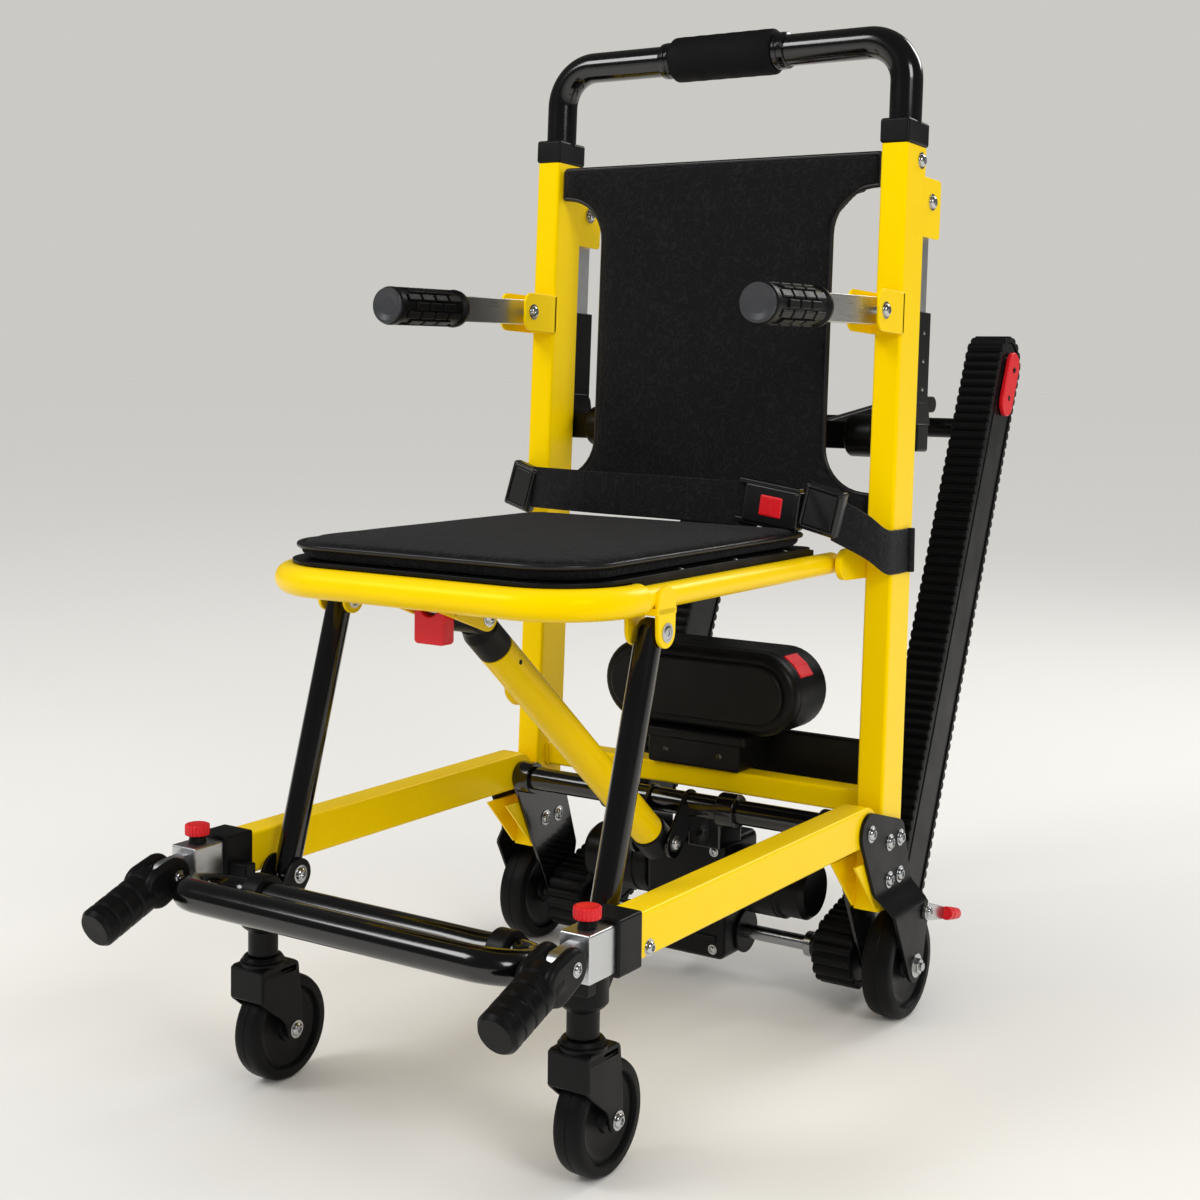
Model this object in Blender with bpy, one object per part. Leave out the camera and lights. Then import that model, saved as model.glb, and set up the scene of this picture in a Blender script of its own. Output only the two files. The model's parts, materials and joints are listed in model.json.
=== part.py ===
"""Stair climbing chair: a folding evacuation seat on four wheels, with two powered tracks stowed behind it.

Metres, +Z up, the sitter faces -Y and the sitter's left is +X. Heights count from the floor. Depths count
from the front face of the uprights at their top, until the whole chair is moved to stand on the origin.
"""

import math

import bmesh
import bpy
from mathutils import Matrix, Vector

# Clearances
GAP = 0.0003  # between faces that touch
RUN = 0.0005  # round a pin or a shaft that turns
SLIDE = 0.0004  # round a piece that slides

# Uprights, rectangular steel tube that leans back
UPRIGHT_SPACING = 0.435
TUBE_WIDTH = 0.030
TUBE_DEPTH = 0.050
TUBE_WALL = 0.002
UPRIGHT_TOP = 0.915
LEAN = math.radians(2.5)
CAP_HEIGHT = 0.026
CAP_PROUD = 0.0015

# Rear wheels and the plates that carry them
REAR_RADIUS = 0.057
REAR_WIDTH = 0.032
REAR_AXLE_Y = 0.014
REAR_AXLE_RADIUS = 0.006
WHEEL_CLEARANCE = 0.007
WHEEL_SIDE_CLEARANCE = 0.0018
WHEEL_DISH = 0.004
PLATE_THICKNESS = 0.004
PLATE_BEND_HEIGHT = 0.022
OUTER_PLATE_LOBE = 0.021
OUTER_PLATE_DROP = 0.014
INNER_PLATE_LOBE = 0.017
INNER_PLATE_DROP = 0.024
BOLT_HEAD_RADIUS = 0.007
BOLT_HEAD_HEIGHT = 0.004

# Lower side rails and the black cross tube that they turn on
RAIL_HEIGHT = 0.040
RAIL_Z = 0.216
RAIL_FRONT_Y = -0.512
RAIL_SOLID_END = 0.032
PIVOT_Y = -0.064
PIVOT_Z = 0.210
PIVOT_PIN_RADIUS = 0.006
PIVOT_TUBE_RADIUS = 0.013
PIVOT_COLLAR_RADIUS = 0.017
PIVOT_COLLAR_LENGTH = 0.018
CROSS_TUBE_HEIGHT = 0.024
CROSS_TUBE_DEPTH = 0.030
CROSS_TUBE_Y = 0.001
CROSS_TUBE_Z = 0.227

# Front brackets, caster stems and lift handles
SLEEVE_WALL = 0.0035
SLEEVE_LENGTH = 0.036
SLEEVE_OVERLAP = 0.012
CASTER_X = 0.1815
CASTER_Y = -0.5045
BOSS_RADIUS = 0.0215
BOSS_BOTTOM = 0.152
STEM_RADIUS = 0.014
STEM_BOTTOM = 0.125
BLOCK_LENGTH = 0.060
TONGUE_THICKNESS = 0.012
TONGUE_RADIUS = 0.012
HANDLE_PIVOT_AHEAD = 0.022
HANDLE_LENGTH = 0.088
HANDLE_RADIUS = 0.0185
HANDLE_SLOPE = math.radians(21)
HANDLE_RIBS = 4
KNOB_RADIUS = 0.0115
KNOB_HEIGHT = 0.0105
KNOB_STEM_HEIGHT = 0.007
KNOB_PIN_LENGTH = 0.016

# Casters
CASTER_RADIUS = 0.050
CASTER_WIDTH = 0.028
CASTER_TRAIL = 0.024
CASTER_AXLE_RADIUS = 0.005
FORK_THICKNESS = 0.004
FORK_SIDE_CLEARANCE = 0.0025
FORK_CROWN_CLEARANCE = 0.0035
FORK_AHEAD = 0.024
FORK_BEHIND = 0.026
FORK_SHOULDER = 0.008
FORK_EYE_RADIUS = 0.011
BEARING_RADIUS = 0.022
BEARING_TOP_RADIUS = 0.018
SWIVEL_PIN_RADIUS = 0.006
SWIVEL_PIN_LENGTH = 0.020

# Footrest, a closed loop of tube held by two clamps on its rear bar
FOOT_TUBE_RADIUS = 0.0145
FOOT_REAR_Y = -0.553
FOOT_REAR_Z = 0.199
FOOT_FRONT_Y = -0.617
FOOT_FRONT_Z = 0.2115
FOOT_HALF_STRAIGHT = 0.150
CLAMP_WALL = 0.006
CLAMP_WIDTH = 0.018
CLAMP_X = 0.137

# Seat, front struts and the telescopic brace
SEAT_Z = 0.482
SEAT_X = 0.182
SEAT_PIVOT_Y = -0.062
SEAT_FRONT_Y = -0.515
SEAT_LOOP_RADIUS = 0.014
SEAT_SIDE_RADIUS = 0.011
SEAT_CORNER_RADIUS = 0.075
SEAT_LOOP_DEPTH = 0.087  # from the front of the loop back to where its tube grows thinner
SEAT_PIN_RADIUS = 0.005
EAR_THICKNESS = 0.006
BOARD_THICKNESS = 0.004
PAD_THICKNESS = 0.016
PAD_CROWN = 0.006
STRUT_X = 0.178
STRUT_RADIUS = 0.0125
STRUT_SETBACK = 0.113  # from the front of the seat back to the struts' upper pivot
STRUT_TOP_Z = 0.452
STRUT_FOOT_Y = -0.477
STRUT_FOOT_Z = 0.198
STRUT_PIN_RADIUS = 0.004
STRUT_HEAD_HEIGHT = 0.001  # flat heads, which pass the arm grips when the seat folds
CHEEK_THICKNESS = 0.004
CHEEK_CLEARANCE = 0.0013
BRACE_SETBACK = 0.085  # from the front of the seat back to the brace's upper pivot
BRACE_TOP_Z = 0.4535
BRACE_FOOT_Y = -0.0957
BRACE_FOOT_Z = 0.1737
BRACE_RADIUS = 0.0175
BRACE_WALL = 0.0025
BRACE_TUBE_END = 0.055  # from the top pivot down to the mouth of the outer tube
BRACE_ROD_LENGTH = 0.340
BRACE_FOOT_END = 0.012
BRACE_SOLID_END = 0.030
BRACE_EAR_DROP = 0.085
BRACE_EAR_RADIUS = 0.012
BRACE_EAR_REACH = 0.030
BRACE_HEAD_RADIUS = 0.016
BRACE_PIN_RADIUS = 0.005
BRACE_SIDE_CLEARANCE = 0.003
LEVER_WIDTH = 0.034
LEVER_LENGTH = 0.034
LEVER_THICKNESS = 0.016
LEVER_PIN_RADIUS = 0.003

# Arms that fold up
ARM_PIVOT_AHEAD = 0.0445
ARM_PIVOT_DROP = 0.1763
ARM_BRACKET_LENGTH = 0.060
ARM_BRACKET_HEIGHT = 0.043
ARM_BRACKET_WALL = 0.003
ARM_BAR_THICKNESS = 0.012
ARM_BAR_HEIGHT = 0.028
ARM_REACH = 0.236
ARM_GRIP_LENGTH = 0.116
ARM_GRIP_RADIUS = 0.0195
ARM_GRIP_FLANGE = 0.0008
ARM_GRIP_RIBS = 5
ARM_SOCKET_DEPTH = 0.024
ARM_PIN_RADIUS = 0.004

# Push handle
HANDLE_TUBE_RADIUS = 0.017
HANDLE_LEG_RADIUS = 0.012
HANDLE_RISE = 0.111  # from the top of the uprights to the middle of the bar
HANDLE_BEND_RADIUS = 0.060
HANDLE_LEG_LENGTH = 0.280
HANDLE_GRIP_LENGTH = 0.128
HANDLE_GRIP_RADIUS = 0.025
HANDLE_COLLAR_RADIUS = 0.0205
HANDLE_COLLAR_LENGTH = 0.016

# Back pad
BACK_TOP_DROP = 0.006
BACK_HEIGHT = 0.385
BACK_WAIST = 0.147
BACK_DEPTH = 0.018
BACK_THICKNESS = 0.010
BACK_CROWN = 0.004

# Stay bars and the sliding latch beam behind the uprights
STAY_BRACKET_DROP = 0.029
STAY_BRACKET_HEIGHT = 0.063
STAY_BRACKET_REACH = 0.042
STAY_BRACKET_WALL = 0.003
STAY_BOLT_DROP = 0.054
STAY_BAR_THICKNESS = 0.012
STAY_BAR_DEPTH = 0.030
STAY_BAR_LENGTH = 0.225
STAY_BAR_OFFSET = 0.0035
STAY_PIN_RADIUS = 0.004
SLEEVE_TOP_DROP = 0.170
SLEEVE_TUBE_WALL = 0.004
LATCH_BEAM_DROP = 0.288
LATCH_BEAM_HEIGHT = 0.030
LATCH_BEAM_DEPTH = 0.030
LATCH_BEAM_LENGTH = 0.466
LATCH_ARM_X = 0.100
LATCH_ARM_THICKNESS = 0.012
LATCH_ARM_RADIUS = 0.010
LATCH_ARM_CLEARANCE = 0.006  # over the cross tube of the stowed tracks

# Tracks: a bent bar with a belt round it, turning on the drive shaft
TRACK_SIDE_CLEARANCE = 0.0032  # between a belt and the inner wheel plate beside it
BELT_WIDTH = 0.045
BELT_THICKNESS = 0.0075
TRACK_HALF_DEPTH = 0.0285
TRACK_KNEE_Y = 0.132
TRACK_KNEE_Z = 0.090
TRACK_TOP_Y = 0.402
TRACK_TOP_Z = 0.686
TRACK_SIDE_INSET = 0.0015
SHAFT_RADIUS = 0.008
SHAFT_PROUD = 0.001
TRACK_CHEEK_RADIUS = 0.020
TRACK_TUBE_RADIUS = 0.012
TRACK_TUBE_BELOW_GUARD = 0.0122  # free length of bar between the guard and the upper cross tube
TRACK_TUBE_RISE = 0.130  # from the knee up the bar to the lower cross tube
GUARD_THICKNESS = 0.006
GUARD_RADIUS = 0.0145
GUARD_LENGTH = 0.046
GUARD_PIN_RADIUS = 0.006

# Drive unit, battery and its dock
GEARBOX_WIDTH = 0.100
GEARBOX_DEPTH = 0.080
GEARBOX_BOTTOM = 0.034
GEARBOX_TOP = 0.166
GEARBOX_FRONT_Y = -0.036
MOTOR_RADIUS = 0.036
MOTOR_Y = 0.004
MOTOR_Z = 0.120
MOTOR_END_GAP = 0.0016
BATTERY_LENGTH = 0.244
BATTERY_HEIGHT = 0.092
BATTERY_DEPTH = 0.090
BATTERY_FRONT_Y = -0.022
BATTERY_EDGE = 0.004
DOCK_LENGTH = 0.116
DOCK_HEIGHT = 0.041
DOCK_DEPTH = 0.070
PANEL_THICKNESS = 0.012
PANEL_HEIGHT = 0.078
LATCH_LENGTH = 0.028
LATCH_WIDTH = 0.024
LATCH_TRAVEL = 0.003
LATCH_THICKNESS = 0.008

# Brake levers
BRAKE_Y = 0.034
BRAKE_Z = 0.110
BRAKE_ARM_LENGTH = 0.036
BRAKE_ARM_THICKNESS = 0.005
BRAKE_TIP_LENGTH = 0.034
BRAKE_TIP_RADIUS = 0.007
BRAKE_PIN_RADIUS = 0.003

# Lap belt
WEBBING_WIDTH = 0.046
WEBBING_THICKNESS = 0.0024
BELT_RISE = 0.0204  # from the crown of the seat pad up to the middle of the belt
BELT_WRAP = 0.035
SLIDER_X = -0.201
SLIDER_LENGTH = 0.038
SLIDER_HEIGHT = 0.052
SLIDER_DEPTH = 0.012
BUCKLE_LENGTH = 0.064
BUCKLE_HEIGHT = 0.040
BUCKLE_THICKNESS = 0.018
BUCKLE_X = 0.108
BUCKLE_Y = -0.103
TONGUE_LENGTH = 0.044
TONGUE_HEIGHT = 0.046
TONGUE_THICKNESS = 0.012
BUTTON_LENGTH = 0.026
BUTTON_HEIGHT = 0.022
BUTTON_THICKNESS = 0.008
BUTTON_TRAVEL = 0.0025

# Values worked out from the sizes above
UPRIGHT_X = UPRIGHT_SPACING / 2
INNER_X = UPRIGHT_X - TUBE_WIDTH / 2
OUTER_X = UPRIGHT_X + TUBE_WIDTH / 2
UPRIGHT_BOTTOM = 2 * REAR_RADIUS + WHEEL_CLEARANCE
AXLE = (REAR_AXLE_Y, REAR_RADIUS)
PIVOT = (PIVOT_Y, PIVOT_Z)
SEAT_PIVOT = (SEAT_PIVOT_Y, SEAT_Z)
SEAT_STEP_Y = SEAT_FRONT_Y + SEAT_LOOP_DEPTH
BOARD_LOW = SEAT_Z + SEAT_LOOP_RADIUS + GAP
PAD_LOW = BOARD_LOW + BOARD_THICKNESS + GAP
WEBBING_Z = PAD_LOW + PAD_THICKNESS + PAD_CROWN + BELT_RISE
STRUT_TOP_Y = SEAT_FRONT_Y + STRUT_SETBACK
STRUT_TOP = (STRUT_TOP_Y, STRUT_TOP_Z)
STRUT_FOOT = (STRUT_FOOT_Y, STRUT_FOOT_Z)
BRACE_TOP = (SEAT_FRONT_Y + BRACE_SETBACK, BRACE_TOP_Z)
BRACE_FOOT = (BRACE_FOOT_Y, BRACE_FOOT_Z)
TRACK_X = INNER_X - GAP - PLATE_THICKNESS - TRACK_SIDE_CLEARANCE - BELT_WIDTH / 2
KNEE = (TRACK_KNEE_Y, TRACK_KNEE_Z)
TRACK_TOP = (TRACK_TOP_Y, TRACK_TOP_Z)
TRACK_RUN = math.dist(KNEE, TRACK_TOP)
TRACK_TUBE_DROP = GUARD_LENGTH + GUARD_RADIUS + TRACK_TUBE_BELOW_GUARD + TRACK_TUBE_RADIUS
LEAN_FRAME = Matrix.Translation((0, 0, UPRIGHT_TOP)) @ Matrix.Rotation(-LEAN, 4, "X")
SIDES = (("left", 1), ("right", -1))
WHEEL_SIDES = 20
ROUND = 12
TUBE_SIDES = 10
SMALL_ROUND = 8
HEX = 6
OVERLAP = 0.001  # how far welded shapes reach into each other
GROOVE_DEPTH = 0.0016  # rings moulded round the grips
GROOVE_WIDTH = 0.004
WELD_INSET = 0.0005  # how far a welded bracket stands in from the face beside it

FINISHES = {
    "yellow_paint": ("F5D200", 0.32, 0.0),
    "black_paint": ("141416", 0.30, 0.0),
    "black_plastic": ("1A1A1C", 0.50, 0.0),
    "rubber": ("17171A", 0.75, 0.0),
    "fabric": ("1B1B1F", 0.90, 0.0),
    "aluminium": ("C9CCD0", 0.38, 1.0),
    "steel": ("B4B7BB", 0.28, 1.0),
    "red_plastic": ("D8121F", 0.40, 0.0),
}


# Outlines and solids

def at_depth(z):
    """How far back the front face of the uprights stands at a height."""
    return (z - UPRIGHT_TOP) * math.tan(LEAN)


def along(start, end, share):
    """The point a share of the way from one (y, z) point to another."""
    return tuple(a + (b - a) * share for a, b in zip(start, end))


def linear(hex_colour):
    """An sRGB hex colour as linear red, green, blue and alpha."""
    parts = [int(hex_colour[i:i + 2], 16) / 255 for i in (0, 2, 4)]
    return [c / 12.92 if c <= 0.04045 else ((c + 0.055) / 1.055) ** 2.4 for c in parts] + [1.0]


def material(finish):
    """The Principled material of a finish, made on first use."""
    found = bpy.data.materials.get(finish)
    if found:
        return found
    colour, roughness, metallic = FINISHES[finish]
    made = bpy.data.materials.new(finish)
    made.use_nodes = True
    shader = made.node_tree.nodes["Principled BSDF"]
    shader.inputs["Base Color"].default_value = linear(colour)
    shader.inputs["Roughness"].default_value = roughness
    shader.inputs["Metallic"].default_value = metallic
    made.diffuse_color = linear(colour)
    return made


def circle(centre, radius, steps=ROUND):
    """Points round a centre in a plane."""
    turn = 2 * math.pi / steps
    return [
        (centre[0] + radius * math.cos(turn * (i + 0.5)), centre[1] + radius * math.sin(turn * (i + 0.5)))
        for i in range(steps)
    ]


def hull(*rounds, steps=TUBE_SIDES):
    """The convex outline that a band stretched round some (centre, radius) circles would take."""
    points = sorted({point for centre, radius in rounds for point in circle(centre, radius, steps)})

    def chain(run):
        kept = []
        for point in run:
            while len(kept) > 1:
                (ax, ay), (bx, by) = kept[-2], kept[-1]
                if (bx - ax) * (point[1] - ay) - (by - ay) * (point[0] - ax) > 0:
                    break
                kept.pop()
            kept.append(point)
        return kept[:-1]

    return chain(points) + chain(reversed(points))


def stadium(centre, reach, radius, steps=TUBE_SIDES):
    """An outline of two half circles that stand apart, level with each other."""
    turns = [math.pi * (k / steps - 0.5) for k in range(steps + 1)]
    ends = [(way, turn) for way in (1, -1) for turn in turns]
    return [
        (centre[0] + way * (reach + radius * math.cos(turn)), centre[1] + way * radius * math.sin(turn))
        for way, turn in ends
    ]


def rounded(corners, radius, steps=5):
    """A closed outline with each corner turned into an arc. A corner's third value is its own radius."""
    outline = []
    for i, corner in enumerate(corners):
        here = Vector(corner[:2])
        before = (Vector(corners[i - 1][:2]) - here).normalized()
        after = (Vector(corners[(i + 1) % len(corners)][:2]) - here).normalized()
        bend = corner[2] if len(corner) > 2 else radius
        half = before.angle(after) / 2
        reach = bend / math.tan(half)
        centre = here + (before + after).normalized() * (bend / math.sin(half))
        first, last = here + before * reach - centre, here + after * reach - centre
        sweep = first.angle_signed(last)
        for k in range(steps + 1):
            outline.append(tuple(centre + Matrix.Rotation(-sweep * k / steps, 2) @ first))
    return outline


def solid(bm, name="shape"):
    """A mesh object from a bmesh, with its faces pointing out."""
    bmesh.ops.recalc_face_normals(bm, faces=bm.faces)
    mesh = bpy.data.meshes.new(name)
    bm.to_mesh(mesh)
    bm.free()
    obj = bpy.data.objects.new(name, mesh)
    bpy.context.scene.collection.objects.link(obj)
    return obj


def skin(rings, closed=False):
    """A solid through rings of points, with flat ends unless the last ring joins the first."""
    bm = bmesh.new()
    rows = [[bm.verts.new(point) for point in ring] for ring in rings]
    pairs = list(zip(rows, rows[1:]))
    if closed:
        pairs.append((rows[-1], rows[0]))
    else:
        bm.faces.new(rows[0])
        bm.faces.new(rows[-1])
    for low, high in pairs:
        for k in range(len(low)):
            bm.faces.new((low[k - 1], low[k], high[k], high[k - 1]))
    return solid(bm)


def prism(outline, low, high, axis="X"):
    """An outline drawn out along an axis. It lies in (y, z), (x, z) or (x, y)."""
    places = {
        "X": lambda u, v, s: (s, u, v),
        "Y": lambda u, v, s: (u, s, v),
        "Z": lambda u, v, s: (u, v, s),
    }
    return skin([[places[axis](u, v, s) for u, v in outline] for s in sorted((low, high))])


def block(low, high, bevel=0.0):
    """A box between two corners, with its edges rounded if a bevel is given."""
    bm = bmesh.new()
    bmesh.ops.create_cube(bm, size=1.0)
    for vert in bm.verts:
        vert.co = [lo + (c + 0.5) * (hi - lo) for c, lo, hi in zip(vert.co, low, high)]
    if bevel:
        bmesh.ops.bevel(bm, geom=bm.edges[:], offset=bevel, segments=1, affect="EDGES", profile=0.5)
    return solid(bm)


def side_block(side, x, y, z, bevel=0.0):
    """A box given by (low, high) ranges for the left side, mirrored for the right."""
    (x0, x1), (y0, y1), (z0, z1) = sorted(side * v for v in x), y, z
    return block((x0, y0, z0), (x1, y1, z1), bevel)


def side_prism(side, outline, x0, x1):
    """An outline in (y, z) drawn out along X for the left side, mirrored for the right."""
    return prism(outline, side * x0, side * x1)


def frame_along(direction):
    """Two unit vectors square to a direction. They are Y and Z for a direction along X."""
    direction = Vector(direction).normalized()
    first = Vector((0, 1, 0)) if abs(direction.y) < 0.9 else Vector((1, 0, 0))
    first = (first - direction * first.dot(direction)).normalized()
    second = direction.cross(first)
    return direction, first, second if direction.x >= 0 else -second


def lathe(profile, origin, direction, sides=ROUND, ring=False, flat=False):
    """A (radius, distance) run turned on an axis. A ring has a bore; flat sets its flats at the radius."""
    axis, first, second = frame_along(direction)
    origin = Vector(origin)
    grow = 1 / math.cos(math.pi / sides) if flat else 1.0
    spokes = []
    for k in range(sides):
        turn = 2 * math.pi * (k + 0.5) / sides - math.pi / 2
        spokes.append(first * math.cos(turn) + second * math.sin(turn))
    rings = [[origin + axis * s + spoke * r * grow for spoke in spokes] for r, s in profile]
    return skin(rings, closed=ring)


def rod(start, end, radius, sides=SMALL_ROUND, flat=False):
    """A round bar between two points."""
    start, end = Vector(start), Vector(end)
    return lathe([(radius, 0), (radius, (end - start).length)], start, end - start, sides, flat=flat)


def pin(point, x0, x1, radius, sides=SMALL_ROUND, flat=False):
    """A round bar along X through a (y, z) point."""
    low, high = sorted((x0, x1))
    return rod((low, *point), (high, *point), radius, sides, flat)


def bore(start, end, radius, sides=ROUND):
    """What a drill takes out between two points. Its flats stand at the radius, so a pin can turn in it."""
    return rod(start, end, radius, sides, flat=True)


def cross_bore(point, x0, x1, radius, sides=ROUND):
    """What a drill takes out along X through a (y, z) point."""
    return pin(point, x0, x1, radius, sides, flat=True)


def bolt_heads(point, *faces, height=BOLT_HEAD_HEIGHT):
    """Bolt heads on faces along X: each is (x of the face, direction of the head)."""
    return [pin(point, x - way * OVERLAP, x + way * height, BOLT_HEAD_RADIUS, HEX) for x, way in faces]


def bent(corners, radius, steps=5):
    """An open path with its inner corners turned into arcs."""
    path = [Vector(corners[0])]
    for before, here, after in zip(corners, corners[1:], corners[2:]):
        before, here, after = Vector(before), Vector(here), Vector(after)
        back, ahead = (before - here).normalized(), (after - here).normalized()
        half = back.angle(ahead) / 2
        centre = here + (back + ahead).normalized() * (radius / math.sin(half))
        first = here + back * (radius / math.tan(half)) - centre
        last = here + ahead * (radius / math.tan(half)) - centre
        normal = first.cross(last)
        turn = first.angle(last) / steps
        path += [centre + Matrix.Rotation(turn * k, 3, normal) @ first for k in range(steps + 1)]
    path.append(Vector(corners[-1]))
    return path


def pipe(path, radius, sides=TUBE_SIDES, closed=False):
    """A round bar along a path."""
    count = len(path)
    rings = []
    side = None
    for i, point in enumerate(path):
        after = path[(i + 1) % count] if closed or i + 1 < count else point
        before = path[i - 1] if closed or i else point
        tangent = (after - before).normalized()
        side = side or frame_along(tangent)[1]
        side = (side - tangent * side.dot(tangent)).normalized()
        other = tangent.cross(side)
        turns = [2 * math.pi * (k + 0.5) / sides for k in range(sides)]
        rings.append([point + radius * (math.cos(t) * side + math.sin(t) * other) for t in turns])
    return skin(rings, closed=closed)


def smooth_path(points, steps=6):
    """A curve through points, as a run of short straight pieces."""
    points = [Vector(p) for p in points]
    ends = [2 * points[0] - points[1]] + points + [2 * points[-1] - points[-2]]
    path = []
    for a, b, c, d in zip(ends, ends[1:], ends[2:], ends[3:]):
        for k in range(steps):
            t = k / steps
            path.append(
                0.5 * (2 * b + (c - a) * t + (2 * a - 5 * b + 4 * c - d) * t**2
                       + (3 * b - a - 3 * c + d) * t**3)
            )
    return path + [points[-1]]


def ribbon(path, width, thickness):
    """A flat strap that stands on edge along a path."""
    rings = []
    for i, point in enumerate(path):
        tangent = path[min(i + 1, len(path) - 1)] - path[max(i - 1, 0)]
        across = Vector((-tangent.y, tangent.x, 0)).normalized() * thickness / 2
        up = Vector((0, 0, width / 2))
        rings.append([point - across - up, point + across - up, point + across + up, point - across + up])
    return skin(rings)


def cushion(outline, place, thickness, crown):
    """A crowned pad on an outline: its edge is drawn in above and below, and its top swells in the middle."""
    centre = [sum(c) / len(outline) for c in zip(*outline)]
    levels = [(0.0, 0.86, 0.0), (0.0, 0.965, 0.0), (0.22, 0.995, 0.0), (0.5, 1.0, 0.0), (0.78, 0.99, 0.0)]
    levels += [(1.0, 0.955, 0.12), (1.0, 0.86, 0.42), (1.0, 0.70, 0.72), (1.0, 0.45, 0.93), (1.0, 0.15, 1.0)]
    rings = []
    for lift, share, swell in levels:
        height = thickness * lift + crown * swell
        drawn = [tuple(c + (p - c) * share for p, c in zip(point, centre)) for point in outline]
        rings.append([place(*point, height) for point in drawn])
    return skin(rings)


def moved(obj, matrix):
    """The same object with its mesh carried by a matrix."""
    obj.data.transform(matrix)
    return obj


def leaned(obj):
    """A shape drawn against an upright at the origin, carried to its leaning place."""
    return moved(obj, LEAN_FRAME)


def in_lean(x, y, z):
    """A point given across, behind the front face and above the top of the uprights, in the chair's frame."""
    return LEAN_FRAME @ Vector((x, y, z))


def empty(name, location, parent=None):
    """An empty on a joint's axis, which carries a moving body."""
    obj = bpy.data.objects.new(name, None)
    obj.empty_display_size = 0.03
    bpy.context.scene.collection.objects.link(obj)
    obj.location = location
    if parent:
        obj.parent = parent
        obj.location = Vector(location) - parent_place(parent)
    return obj


def parent_place(obj):
    """Where an unturned chain of empties stands."""
    place = Vector(obj.location)
    while obj.parent:
        obj = obj.parent
        place += obj.location
    return place


def part(name, finish, body, solids, cuts=()):
    """One named piece: its shapes welded together, its cuts taken out, and carried by its body's empty."""
    first, *others = solids
    for operation, shapes in (("UNION", others), ("DIFFERENCE", cuts)):
        for shape in shapes:
            modifier = first.modifiers.new(operation.lower(), "BOOLEAN")
            modifier.operation = operation
            modifier.object = shape
            modifier.solver = "EXACT"
    bpy.context.view_layer.update()
    mesh = bpy.data.meshes.new_from_object(first.evaluated_get(bpy.context.evaluated_depsgraph_get()))
    for shape in [*solids, *cuts]:
        bpy.data.objects.remove(shape)
    mesh.name = name
    mesh.shade_smooth()
    mesh.set_sharp_from_angle(angle=math.radians(32))
    mesh.materials.clear()
    mesh.materials.append(material(finish))
    obj = bpy.data.objects.new(name, mesh)
    bpy.context.scene.collection.objects.link(obj)
    obj.parent = body
    obj.matrix_parent_inverse = Matrix.Translation(-parent_place(body))
    return obj


# Sub-assemblies

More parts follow.
